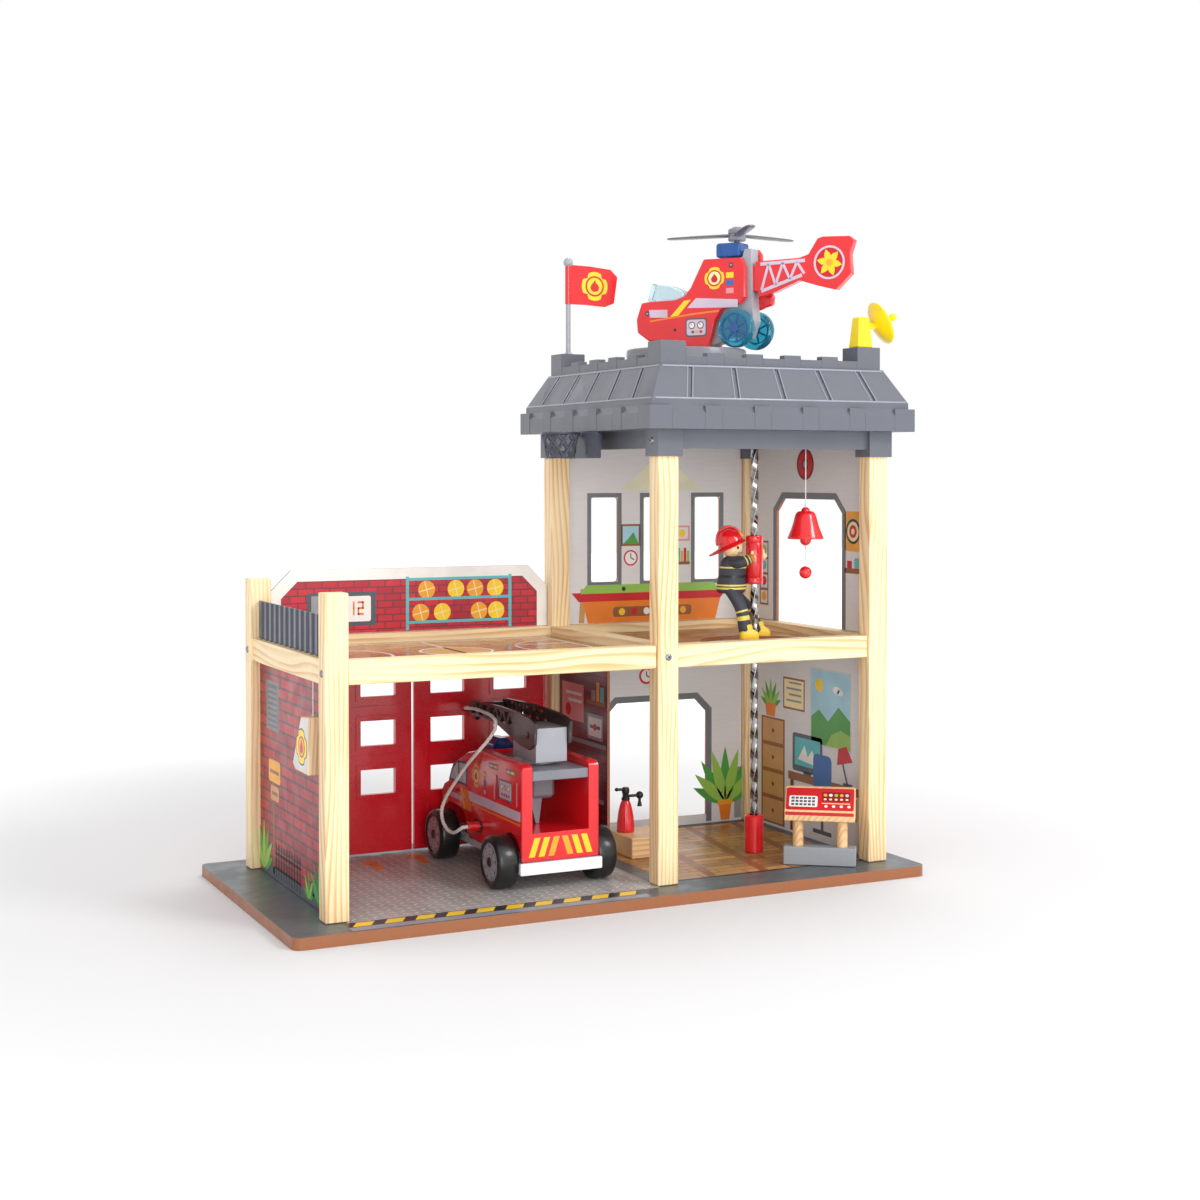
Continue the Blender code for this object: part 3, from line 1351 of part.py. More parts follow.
def tag_set():
    """Wooden tag on a string below the left rail."""
    top = RAIL_BOTTOM - GAP
    pivot = joint("tag_pivot", (TAG_STRING_X, TAG_STRING_Y, top))
    block = sheet("tag_block", [TAG_CORNERS], TAG_THICKNESS, "YZ", TAG_OUTER_X + TAG_THICKNESS / 2)
    hang(part(soften(block, TAG_EDGE), (0.83, 0.72, 0.52), 0.5), pivot)
    near, far = TAG_CORNERS[0], TAG_CORNERS[-1]
    block_top = near[1] + (far[1] - near[1]) * (near[0] - TAG_STRING_Y) / (near[0] - far[0])
    ends = [((TAG_STRING_X, TAG_STRING_Y, block_top + GAP * 2), (TAG_STRING_X, TAG_STRING_Y, top))]
    hang(part(rods("tag_string", ends, STRING_RADIUS, steps=8), (0.88, 0.87, 0.84), 0.8), pivot)


def flag():
    """Flag and its pole in the back left turret."""
    x, y = turret_middle(-1, 1)
    foot = TURRET_TOP - FLAG_SEAT_DEPTH + GAP
    pole = rods("flag", [((x, y, foot), (x, y, FLAG_POLE_TOP))], FLAG_POLE_RADIUS)
    cloth = sheet(
        "flag_cloth",
        [scaled(FLAG_SHARES, FLAG_WIDTH, FLAG_HEIGHT, x, FLAG_TOP - FLAG_HEIGHT)],
        FLAG_THICKNESS,
        "XZ",
        y,
    )
    join(pole, cloth, balls("flag_ball", [(x, y, FLAG_POLE_TOP + FLAG_BALL_RADIUS / 2)], FLAG_BALL_RADIUS))
    return hang(part(pole, (0.72, 0.04, 0.06), 0.35), joint("flag_pivot", (x, y, foot)))


def dish_set():
    """Yellow stand on the front right turret and the dish on its side."""
    x, y = turret_middle(1, -1)
    low = TURRET_TOP + GAP
    bm = bmesh.new()
    placed = Matrix.Translation((x, y, (low + DISH_STAND_TOP) / 2)) @ Matrix.Rotation(math.pi / 4, 4, "Z")
    bmesh.ops.create_cone(
        bm,
        cap_ends=True,
        segments=4,
        radius1=DISH_STAND_FOOT / math.sqrt(2),
        radius2=DISH_STAND_HEAD / math.sqrt(2),
        depth=DISH_STAND_TOP - low,
        matrix=placed,
    )
    stand = soften(finish_mesh("dish_stand", bm), TAG_EDGE)
    part(stand, (0.85, 0.72, 0.05), 0.35)
    share = (DISH_Z - DISH_BOSS_RADIUS - low) / (DISH_STAND_TOP - low)
    seat = x + (DISH_STAND_FOOT + (DISH_STAND_HEAD - DISH_STAND_FOOT) * share) / 2 + GAP
    pivot = joint("dish_pivot", (seat, y, DISH_Z))
    boss = rods("dish", [((seat, y, DISH_Z), (seat + DISH_REACH, y, DISH_Z))], DISH_BOSS_RADIUS)
    turn = Matrix.Rotation(math.radians(DISH_TURN_DEGREES), 3, "Z")
    out = turn @ Matrix.Rotation(-math.radians(DISH_TILT_DEGREES), 3, "Y") @ Vector((1.0, 0.0, 0.0))
    back = Vector((seat + DISH_REACH * DISH_BACK_SHARE, y, DISH_Z))
    curve = 5
    front_line = []
    back_line = []
    for step in range(curve):
        share = step / (curve - 1)
        front_line.append((DISH_RADIUS * share, DISH_WALL + DISH_BOWL_DEPTH * share ** 2))
        back_line.append((DISH_RADIUS * share, DISH_BOWL_DEPTH * share ** 2))
    bowl = turned("dish_bowl", front_line + back_line[::-1], back, steps=WHEEL_STEPS, axis=out)
    feed_end = back + out * (DISH_WALL + DISH_FEED_LENGTH)
    feed = rods("dish_feed", [(back + out * DISH_WALL / 2, feed_end)], DISH_FEED_RADIUS, steps=8)
    join(boss, bowl, feed, balls("dish_ball", [feed_end], DISH_FEED_BALL, steps=10))
    return hang(part(boss, (0.85, 0.72, 0.05), 0.35), pivot)


def desk():
    """Control desk on two dowel legs in a low block."""
    pivot = joint("desk_place", (DESK_X, DESK_Y, 0.0), DESK_TURN_DEGREES)
    middle = DESK_BLOCK_DEPTH / 2
    legs = [
        ((along, middle, DESK_BLOCK_TOP - DESK_LEG_SEAT + GAP), (along, middle, DESK_TOP_BOTTOM + DESK_LEG_SEAT))
        for along in DESK_LEG_PLACES
    ]
    block = boxes("desk_base", [((0.0, 0.0, BOARD_FOOT), (DESK_LENGTH, DESK_BLOCK_DEPTH, DESK_BLOCK_TOP))])
    seats = [
        ((along, middle, DESK_BLOCK_TOP - DESK_LEG_SEAT), (along, middle, DESK_BLOCK_TOP + DESK_LEG_SEAT))
        for along in DESK_LEG_PLACES
    ]
    cut(soften(block, POST_EDGE), rods("desk_seats", seats, DESK_LEG_RADIUS + GAP, steps=16))
    hang(part(block, (0.42, 0.44, 0.47), 0.5), pivot, own_frame=True)
    side = (
        (0.0, DESK_TOP_BOTTOM),
        (DESK_TOP_DEPTH, DESK_TOP_BOTTOM),
        (DESK_TOP_DEPTH, DESK_BACK_TOP),
        (DESK_SLOPE_DEPTH, DESK_BACK_TOP),
        (0.0, DESK_LIP_TOP),
    )
    length = DESK_LENGTH - DESK_TOP_INSET * 2
    top = sheet("desk_top", [side], length, "YZ", DESK_LENGTH / 2)
    soften(top, POST_EDGE)
    join(top, rods("desk_legs", legs, DESK_LEG_RADIUS, steps=16))
    hang(part(top, (0.83, 0.62, 0.36), 0.45), pivot, own_frame=True)


def extinguisher():
    """Extinguisher on a wooden block."""
    span = ((STAND_LEFT, STAND_FRONT, BOARD_FOOT), (STAND_RIGHT, STAND_BACK, STAND_TOP))
    block = boxes("extinguisher_block", [span])
    part(soften(block, POST_EDGE), (0.83, 0.62, 0.36), 0.5)
    foot = STAND_TOP + GAP
    height = BOTTLE_TOP - foot
    profile = [(BOTTLE_RADIUS * across, height * up) for across, up in BOTTLE_SHARES]
    pivot = joint("extinguisher_place", (BOTTLE_X, BOTTLE_Y, foot))
    bottle = turned("extinguisher_bottle", profile, (BOTTLE_X, BOTTLE_Y, foot), steps=WHEEL_STEPS)
    hang(part(bottle, (0.72, 0.04, 0.06), 0.3), pivot)
    neck_foot = BOTTLE_TOP + GAP
    ends = [((BOTTLE_X, BOTTLE_Y, neck_foot), (BOTTLE_X, BOTTLE_Y, VALVE_TOP))]
    neck = rods("extinguisher_valve", ends, VALVE_RADIUS)
    half = LEVER_THICKNESS / 2
    lever_z = VALVE_TOP - LEVER_THICKNESS
    lever = boxes(
        "extinguisher_lever",
        [((BOTTLE_X - LEVER_REACH, BOTTLE_Y - half, lever_z - half), (BOTTLE_X, BOTTLE_Y + half, lever_z + half))],
    )
    horn_z = neck_foot + VALVE_RADIUS
    elbow = (BOTTLE_X + HORN_REACH, BOTTLE_Y, horn_z)
    arm = rods("extinguisher_arm", [((BOTTLE_X, BOTTLE_Y, horn_z), elbow)], HORN_TUBE_RADIUS, steps=8)
    end = (elbow[0], elbow[1], elbow[2] - HORN_DROP)
    drop = rods("extinguisher_drop", [(elbow, end)], HORN_TUBE_RADIUS, steps=8)
    knob = balls("extinguisher_knob", [elbow], HORN_KNOB_RADIUS, steps=10)
    join(neck, lever, arm, drop, knob)
    hang(part(neck, (0.05, 0.05, 0.06), 0.4), pivot)


def truck_outline():
    """Side outline of the engine's body with its rear wheel arch."""
    length = BODY_NOSE_Y - BODY_REAR_Y
    height = BODY_TOP - BODY_BOTTOM
    points = scaled(BODY_SHARES, length, height, BODY_REAR_Y, BODY_BOTTOM)
    arch = []
    lift = BODY_BOTTOM - AXLE_Z
    start = math.asin(lift / REAR_ARCH_RADIUS)
    steps = 10
    for step in range(steps + 1):
        angle = start + (math.pi - 2 * start) * step / steps
        along = REAR_AXLE_Y + REAR_ARCH_RADIUS * math.cos(angle)
        arch.append((along, AXLE_Z + REAR_ARCH_RADIUS * math.sin(angle)))
    return (points + arch)[::-1]


def truck_body(pivot):
    """Red body with an open bay behind, a seat for the beacon and the hose's coupling."""
    body = sheet("truck_body", [truck_outline()], BODY_WIDTH, "YZ", TRUCK_X)
    soften(body, BODY_EDGE)
    inner = BODY_WIDTH / 2 - BODY_SIDE
    bay = (
        (TRUCK_X - inner, BODY_REAR_Y - BODY_SIDE, BAY_FLOOR),
        (TRUCK_X + inner, BAY_FRONT_Y, BODY_TOP + BODY_SIDE),
    )
    cut(body, boxes("truck_bay", [bay]))
    reach = BEACON_WIDTH / 2 + GAP
    low = (TRUCK_X - reach, BEACON_REAR_Y - GAP, BEACON_BOTTOM - GAP)
    cut(body, boxes("beacon_seat", [(low, (TRUCK_X + reach, BEACON_NOSE_Y + GAP, BEACON_TOP))]))
    root = TRUCK_SIDE_X + BODY_SIDE / 2
    ends = [((root, PLUG_Y, PLUG_Z), (TRUCK_SIDE_X - PLUG_LENGTH, PLUG_Y, PLUG_Z))]
    join(body, rods("hose_plug", ends, PLUG_RADIUS))
    return hang(part(body, (0.72, 0.05, 0.05), 0.3), pivot)


def truck_chassis(pivot):
    """Grey floor with slots for the axles and a bumper at each end."""
    top = BODY_BOTTOM - GAP
    half = CHASSIS_WIDTH / 2
    root = BUMPER_DEPTH / 2
    low = (TRUCK_X - half, BUMPER_REAR_Y + root, CHASSIS_BOTTOM)
    floor = boxes("truck_chassis", [(low, (TRUCK_X + half, BUMPER_FRONT_Y - root, top))])
    wide = BUMPER_WIDTH / 2
    ends = [
        ((TRUCK_X - wide, BUMPER_REAR_Y, BUMPER_BOTTOM), (TRUCK_X + wide, BUMPER_REAR_Y + BUMPER_DEPTH, top)),
        ((TRUCK_X - wide, BUMPER_FRONT_Y - BUMPER_DEPTH, BUMPER_BOTTOM), (TRUCK_X + wide, BUMPER_FRONT_Y, top)),
    ]
    join(floor, boxes("truck_bumpers", ends))
    room = AXLE_RADIUS + AXLE_PLAY
    slots = []
    for y in (REAR_AXLE_Y, FRONT_AXLE_Y):
        slots.append(((TRUCK_X - wide, y - room, AXLE_Z - room), (TRUCK_X + wide, y + room, top + room)))
    cut(floor, boxes("axle_slots", slots))
    return hang(part(floor, (0.62, 0.63, 0.66), 0.3), pivot)


def truck_deck(pivot):
    """Grey deck that closes the bay, with the turntable's housing and its strut below."""
    inner = BODY_WIDTH / 2 - BODY_SIDE - GAP
    low = (TRUCK_X - inner, BODY_REAR_Y + GAP, DECK_BOTTOM)
    deck = boxes("truck_deck", [(low, (TRUCK_X + inner, BAY_FRONT_Y - GAP, DECK_PLATE_TOP))])
    soften(deck, POST_EDGE)
    half = BOSS_WIDTH / 2
    root = (DECK_BOTTOM + DECK_PLATE_TOP) / 2
    housing = boxes(
        "deck_housing",
        [((TRUCK_X - half, BOSS_REAR_Y, BOSS_BOTTOM), (TRUCK_X + half, BOSS_NOSE_Y, root))],
    )
    left = TRUCK_X - half
    strut = (
        (left, BOSS_BOTTOM + BOSS_EDGE * 2),
        (left, BOSS_BOTTOM),
        (left + STRUT_WIDTH - STRUT_FOOT_WIDTH, BAY_FLOOR + GAP),
        (left + STRUT_WIDTH - STRUT_FOOT_WIDTH / 2, BAY_FLOOR + GAP),
        (left + STRUT_WIDTH, BOSS_BOTTOM),
        (left + STRUT_WIDTH, BOSS_BOTTOM + BOSS_EDGE * 2),
    )
    level = BOSS_REAR_Y + BOSS_EDGE + STRUT_DEPTH / 2
    join(deck, soften(housing, BOSS_EDGE), sheet("deck_strut", [strut], STRUT_DEPTH, "XZ", level))
    return hang(part(deck, (0.30, 0.32, 0.36), 0.4), pivot)


def truck_beacon(pivot):
    """Blue lamp on the cab, its two upper edges cut off."""
    half = BEACON_WIDTH / 2
    outline = (
        (TRUCK_X - half, BEACON_BOTTOM),
        (TRUCK_X + half, BEACON_BOTTOM),
        (TRUCK_X + half, BEACON_TOP - BEACON_CHAMFER),
        (TRUCK_X + half - BEACON_CHAMFER, BEACON_TOP),
        (TRUCK_X - half + BEACON_CHAMFER, BEACON_TOP),
        (TRUCK_X - half, BEACON_TOP - BEACON_CHAMFER),
    )
    level = (BEACON_REAR_Y + BEACON_NOSE_Y) / 2
    lamp = sheet("truck_beacon", [outline], BEACON_NOSE_Y - BEACON_REAR_Y, "XZ", level)
    return hang(part(soften(lamp, POST_EDGE), (0.03, 0.10, 0.42), 0.15), pivot)


def wheel_set(name, y):
    """Two wheels with sunk hubs, pressed on one axle."""
    pivot = joint(name + "_pivot", (TRUCK_X, y, AXLE_Z))
    half = WHEEL_WIDTH / 2
    shoulder = WHEEL_WIDTH / 5
    sunk = half - shoulder / 2
    profile = (
        (0.0, sunk),
        (WHEEL_RIM_RADIUS, sunk),
        (WHEEL_RIM_RADIUS, half),
        (WHEEL_RADIUS - shoulder, half),
        (WHEEL_RADIUS - shoulder / 3, half - shoulder / 3),
        (WHEEL_RADIUS, half - shoulder),
        (WHEEL_RADIUS, shoulder - half),
        (WHEEL_RADIUS - shoulder, -half),
        (0.0, -half),
    )
    reach = WHEEL_TRACK / 2 - half
    axle = rods(name, [((TRUCK_X - reach, y, AXLE_Z), (TRUCK_X + reach, y, AXLE_Z))], AXLE_RADIUS)
    for side in (-1, 1):
        place = (TRUCK_X + side * reach, y, AXLE_Z)
        wheel = turned(f"{name}_{side}", profile, place, steps=WHEEL_STEPS, axis=(side, 0.0, 0.0))
        join(axle, wheel, solver="MANIFOLD")
    hang(part(axle, (0.03, 0.03, 0.035), 0.6), pivot)


def ladder_turntable():
    """Swivelling plate and block that carry the ladder."""
    pivot = joint("turntable_pivot", (TRUCK_X, TURN_Y, DECK_PLATE_TOP))
    low = DECK_PLATE_TOP + GAP
    ends = [((TRUCK_X, TURN_Y, low), (TRUCK_X, TURN_Y, TURN_PLATE_TOP))]
    plate = rods("ladder_turntable", ends, TURN_RADIUS, steps=ROUND_STEPS)
    side = (
        (TURRET_BLOCK_REAR, TURN_PLATE_TOP - GAP),
        (TURRET_BLOCK_FRONT, TURN_PLATE_TOP - GAP),
        (TURRET_BLOCK_FRONT, TURRET_BLOCK_TOP - TURRET_CHAMFER),
        (TURRET_BLOCK_FRONT - TURRET_CHAMFER, TURRET_BLOCK_TOP),
        (TURRET_BLOCK_REAR, TURRET_BLOCK_TOP),
    )
    block = sheet("turret_block", [side], TURRET_BLOCK_HALF * 2, "YZ", TRUCK_X)
    pin_reach = TURRET_BLOCK_HALF + LADDER_CLEARANCE + LADDER_PLATE * LADDER_PIN_SHARE
    ends = [((TRUCK_X - pin_reach, PIVOT_Y, PIVOT_Z), (TRUCK_X + pin_reach, PIVOT_Y, PIVOT_Z))]
    join(plate, block, rods("ladder_pin", ends, PIVOT_RADIUS))
    return hang(part(plate, (0.45, 0.47, 0.50), 0.3), pivot)


def lattice_holes():
    """Triangles cut through the ladder's side plates."""
    outlines = []
    start = LADDER_CELL_START_SHARE
    pitch = (1.0 - start - LADDER_CELL_END_SHARE) / LADDER_CELLS
    low = LADDER_CELL_LOW_SHARE
    high = LADDER_CELL_HIGH_SHARE
    point = (high - low) * LADDER_CELL_TIP_SHARE
    for index in range(LADDER_CELLS * 2 - 1):
        left = start + pitch * index / 2
        right = left + pitch
        gap = pitch * LADDER_CELL_GAP_SHARE
        tip = (left + right) / 2
        if index % 2:
            cell = ((left + gap, high), (right - gap, high), (tip, low + point))
        else:
            cell = ((left + gap, low), (right - gap, low), (tip, high - point))
        outlines.append(scaled(cell, LADDER_LENGTH, LADDER_HEIGHT, LADDER_REAR_Y, LADDER_FOOT_Z))
    reach = TURRET_BLOCK_HALF + LADDER_PLATE * 2
    return sheet("lattice_holes", outlines, reach * 2, "YZ", TRUCK_X)


def ladder():
    """Two lattice plates joined by rungs, tilting on the turntable's pin."""
    pivot = joint("ladder_pivot", (TRUCK_X, PIVOT_Y, PIVOT_Z))
    outline = scaled(LADDER_SHARES, LADDER_LENGTH, LADDER_HEIGHT, LADDER_REAR_Y, LADDER_FOOT_Z)
    level = TURRET_BLOCK_HALF + LADDER_CLEARANCE + LADDER_PLATE / 2
    left = sheet("ladder", [outline], LADDER_PLATE, "YZ", TRUCK_X - level)
    right = sheet("ladder_right_plate", [outline], LADDER_PLATE, "YZ", TRUCK_X + level)
    cut(left, lattice_copy("lattice_left"))
    cut(right, lattice_copy("lattice_right"))
    ends = []
    first = TURRET_BLOCK_FRONT + NOZZLE_BLOCK
    last = LADDER_REAR_Y + LADDER_LENGTH - NOZZLE_BLOCK * 2
    rung_z = LADDER_FOOT_Z + LADDER_HEIGHT * RUNG_HEIGHT_SHARE
    for index in range(RUNG_COUNT):
        y = first + (last - first) * index / (RUNG_COUNT - 1)
        ends.append(((TRUCK_X - level, y, rung_z), (TRUCK_X + level, y, rung_z)))
    join(left, right, rods("rungs", ends, RUNG_RADIUS, steps=6))
    hole = PIVOT_RADIUS + GAP
    reach = level + LADDER_PLATE
    pin = [((TRUCK_X - reach, PIVOT_Y, PIVOT_Z), (TRUCK_X + reach, PIVOT_Y, PIVOT_Z))]
    cut(left, rods("pivot_hole", pin, hole), spigot_hole())
    return hang(part(left, (0.10, 0.10, 0.12), 0.45), pivot)


def lattice_copy(name):
    """The lattice cutter under another name."""
    holes = lattice_holes()
    holes.name = name
    return holes


def spigot_hole():
    """Cutter for the nozzle's cross bar."""
    reach = TURRET_BLOCK_HALF + LADDER_PLATE * 3
    ends = [((TRUCK_X - reach, NOZZLE_Y, NOZZLE_Z), (TRUCK_X + reach, NOZZLE_Y, NOZZLE_Z))]
    return rods("spigot_hole", ends, NOZZLE_SPIGOT_RADIUS + GAP)


def hose_nozzle():
    """Black nozzle between the ladder's plates with the hose's spigot."""
    inner = TURRET_BLOCK_HALF + LADDER_CLEARANCE
    outer = inner + LADDER_PLATE + GAP
    start = (TRUCK_X - outer, NOZZLE_Y, NOZZLE_Z)
    stop = (TRUCK_X + outer, NOZZLE_Y, NOZZLE_Z)
    bar = rods("hose_nozzle", [(start, stop)], NOZZLE_SPIGOT_RADIUS)
    half = NOZZLE_BLOCK / 2
    low = (TRUCK_X - inner + GAP, NOZZLE_Y - half, NOZZLE_Z - half)
    high = (TRUCK_X + inner - GAP, NOZZLE_Y + half, NOZZLE_Z + half)
    block = boxes("nozzle_block", [(low, high)])
    tip = (TRUCK_X, NOZZLE_Y + NOZZLE_REACH, NOZZLE_Z - NOZZLE_DROP)
    ends = [((TRUCK_X, NOZZLE_Y, NOZZLE_Z), tip)]
    spout = rods("nozzle_spout", ends, NOZZLE_RADIUS, tip_radius=NOZZLE_TIP_RADIUS)
    join(bar, block, spout)
    return hang(part(bar, (0.03, 0.03, 0.035), 0.4), joint("nozzle_place", (TRUCK_X, PIVOT_Y, PIVOT_Z)))


def hose(name, points, pivot):
    """One stretch of the rope hose along its way points."""
    path = smooth_path([(TRUCK_X + x, y, z) for x, y, z in points], steps=2)
    rope = tube(name, path, HOSE_RADIUS)
    rope.data.materials.append(paint(name + "_paint", (0.88, 0.87, 0.84), 0.8))
    PARTS.objects.link(rope)
    return hang(rope, pivot)


def heli_plate(name, shares, low, high):
    """Side plate of the helicopter between two widths."""
    outline = scaled(shares, HELI_LENGTH, HELI_HEIGHT)
    return sheet(name, [outline], abs(high - low), "XZ", (low + high) / 2)


def heli_axle_hole(name):
    """Cutter for the helicopter's axle."""
    z = HELI_WHEEL_RADIUS
    ends = [((0.0, -HELI_WHEEL_TRACK, z), (0.0, HELI_WHEEL_TRACK, z))]
    return rods(name, ends, HELI_AXLE_RADIUS + AXLE_PLAY)


def helicopter():
    """Helicopter on the pad."""
    place = joint("heli_place", (HELI_X, HELI_Y, PAD_TOP + GAP), HELI_TURN_DEGREES)

    def keep(obj, colour, roughness):
        return hang(part(obj, colour, roughness), place, own_frame=True)

    port = heli_plate("heli_port_shell", PORT_SHARES, SHELL_INNER, SHELL_OUTER)
    keep(soften(port, SHELL_EDGE), (0.72, 0.05, 0.06), 0.3)
    starboard = heli_plate("heli_starboard_shell", STARBOARD_SHARES, -SHELL_OUTER, -SHELL_INNER)
    keep(soften(starboard, SHELL_EDGE), (0.72, 0.05, 0.06), 0.3)
    inner = SHELL_INNER - GAP
    core = heli_plate("heli_core", CORE_SHARES, -inner, inner)
    mast_foot = HELI_HEIGHT - MAST_SEAT
    cut(core, heli_axle_hole("core_axle_hole"), tongue_slot(), mast_hole("mast_seat", mast_foot, ROTOR_HUB_TOP))
    keep(core, (0.40, 0.41, 0.44), 0.4)
    canopy = heli_plate("heli_canopy", CANOPY_SHARES, -CANOPY_HALF, CANOPY_HALF)
    keep(soften(canopy, SHELL_EDGE), (0.60, 0.75, 0.80), 0.1)
    lamp = boxes(
        "heli_light",
        [
            (
                (HELI_LIGHT_X - HELI_LIGHT_LENGTH / 2, -HELI_LIGHT_HALF, HELI_LIGHT_BOTTOM),
                (HELI_LIGHT_X + HELI_LIGHT_LENGTH / 2, HELI_LIGHT_HALF, HELI_LIGHT_TOP),
            )
        ],
    )
    soften(lamp, SHELL_EDGE * 2, 2)
    cut(lamp, mast_hole("lamp_hole", mast_foot, ROTOR_HUB_TOP))
    keep(lamp, (0.05, 0.20, 0.50), 0.15)
    tail = tail_plate()
    for side in (-1, 1):
        face = side * TAIL_HALF
        ends = [((FAN_X, face - FAN_RECESS, FAN_Z), (FAN_X, face + FAN_RECESS, FAN_Z))]
        cut(tail, rods(f"fan_recess_{side}", ends, FAN_RADIUS, steps=WHEEL_STEPS))
    keep(tail, (0.72, 0.05, 0.06), 0.3)
    heli_rotor(place)
    heli_wheels(place)


def tail_plate():
    """Tail plate with the tongue that seats in the core."""
    outline = scaled(TAIL_SHARES, -TAIL_LENGTH, TAIL_HEIGHT, TAIL_ROOT_X, TAIL_ROOT_Z)
    foot = outline[-1]
    head = outline[0]

    def on_root(height):
        share = (height - foot[1]) / (head[1] - foot[1])
        return foot[0] + (head[0] - foot[0]) * share, height

    tongue = [on_root(TONGUE_LOW), (TONGUE_X, TONGUE_LOW), (TONGUE_X, TONGUE_HIGH), on_root(TONGUE_HIGH)]
    return sheet("heli_tail", [(outline + tongue)[::-1]], TAIL_HALF * 2, "XZ", 0.0)


def tongue_slot():
    """Cutter for the tail's seat in the core."""
    half = TAIL_HALF + GAP
    low = (TAIL_ROOT_X * 2, -half, TONGUE_LOW - GAP)
    return boxes("tongue_slot", [(low, (TONGUE_X + GAP, half, TONGUE_HIGH + GAP))])


def mast_hole(name, low, high):
    """Cutter for the rotor's mast."""
    return rods(name, [((MAST_X, 0.0, low), (MAST_X, 0.0, high))], MAST_RADIUS + GAP)


def heli_rotor(place):
    """Hub, mast and three blades."""
    pivot = joint("rotor_pivot", (MAST_X, 0.0, BLADE_Z), parent=place)
    hub_low = ROTOR_HUB_BOTTOM - BLADE_Z
    hub_high = ROTOR_HUB_TOP - BLADE_Z
    edge = ROTOR_HUB_RADIUS / 4
    profile = (
        (0.0, hub_high),
        (ROTOR_HUB_RADIUS - edge, hub_high),
        (ROTOR_HUB_RADIUS, hub_high - edge),
        (ROTOR_HUB_RADIUS, hub_low),
        (0.0, hub_low),
    )
    hub = turned("heli_rotor", profile, steps=WHEEL_STEPS)
    blade = rounded(ROTOR_RADIUS, BLADE_WIDTH, BLADE_WIDTH * BLADE_END_SHARE, (ROTOR_RADIUS / 2, 0.0), steps=3)
    blades = []
    for index in range(BLADE_COUNT):
        turn = math.radians(BLADE_TURN_DEGREES) + math.tau * index / BLADE_COUNT
        cos, sin = math.cos(turn), math.sin(turn)
        spun = [(x * cos - y * sin, x * sin + y * cos) for x, y in blade]
        blades.append(sheet(f"blade_{index}", [spun], BLADE_THICKNESS, "XY", 0.0))
    mast_low = HELI_HEIGHT - MAST_SEAT + GAP - BLADE_Z
    join(hub, *blades, rods("mast", [((0.0, 0.0, mast_low), (0.0, 0.0, 0.0))], MAST_RADIUS))
    return hang(part(hub, (0.30, 0.31, 0.33), 0.4), pivot, own_frame=True)


def heli_wheels(place):
    """Two see-through wheels on one axle."""
    pivot = joint("heli_wheel_pivot", (0.0, 0.0, HELI_WHEEL_RADIUS), parent=place)
    half = HELI_WHEEL_TRACK / 2
    axle = rods("heli_wheels", [((0.0, -half, 0.0), (0.0, half, 0.0))], HELI_AXLE_RADIUS)
    edge = HELI_WHEEL_WIDTH / 6
    wide = HELI_WHEEL_WIDTH / 2
    profile = (
        (0.0, wide - edge),
        (HELI_WHEEL_RADIUS * HELI_RIM_SHARE, wide - edge),
        (HELI_WHEEL_RADIUS * HELI_RIM_SHARE, wide),
        (HELI_WHEEL_RADIUS - edge, wide),
        (HELI_WHEEL_RADIUS, wide - edge),
        (HELI_WHEEL_RADIUS, -wide),
        (0.0, -wide),
    )
    for side in (-1, 1):
        middle = (0.0, side * (half - wide), 0.0)
        wheel = turned(f"heli_wheel_{side}", profile, middle, steps=WHEEL_STEPS, axis=(0.0, side, 0.0))
        join(axle, wheel, solver="MANIFOLD")
    return hang(part(axle, (0.15, 0.55, 0.70), 0.1), pivot, own_frame=True)


def figure_head(pivot):
    """Round wooden head."""
    head = balls("firefighter_head", [(HEAD_X, 0.0, HEAD_Z - SLEEVE_BOTTOM)], HEAD_RADIUS, steps=16)
    return hang(part(smooth(head), (0.85, 0.62, 0.42), 0.4), pivot, own_frame=True)


def figure_helmet(pivot):
    """Helmet with a brim that is longest at the back."""
    bm = bmesh.new()
    bmesh.ops.create_uvsphere(bm, u_segments=16, v_segments=10, radius=1.0)
    for vert in bm.verts:
        x, y, z = vert.co
        if z > 0:
            vert.co = (x * HELMET_RADIUS, y * HELMET_RADIUS, z * HELMET_CROWN)
            continue
        reach = HELMET_BRIM_FRONT if x > 0 else HELMET_BRIM_BACK
        vert.co = (
            x * (HELMET_RADIUS + (reach - HELMET_RADIUS) * (1 + z)),
            y * (HELMET_RADIUS + (HELMET_BRIM_SIDE - HELMET_RADIUS) * (1 + z)),
            z * HELMET_WALL * 2,
        )
    helmet = finish_mesh("firefighter_helmet", bm)
    tilt = Matrix.Rotation(-math.radians(HELMET_TILT_DEGREES), 4, "Y")
    helmet.data.transform(Matrix.Translation((HELMET_X, 0.0, HELMET_Z - SLEEVE_BOTTOM)) @ tilt)
    head = (HEAD_X, 0.0, HEAD_Z - SLEEVE_BOTTOM)
    cut(helmet, balls("helmet_inside", [head], HEAD_RADIUS + GAP * 1.5, steps=16))
    return hang(part(helmet, (0.70, 0.03, 0.05), 0.3), pivot, own_frame=True)


def lowered(points):
    """Points moved from station heights to the sleeve's frame."""
    return [(x, y, z - SLEEVE_BOTTOM) for x, y, z in points]


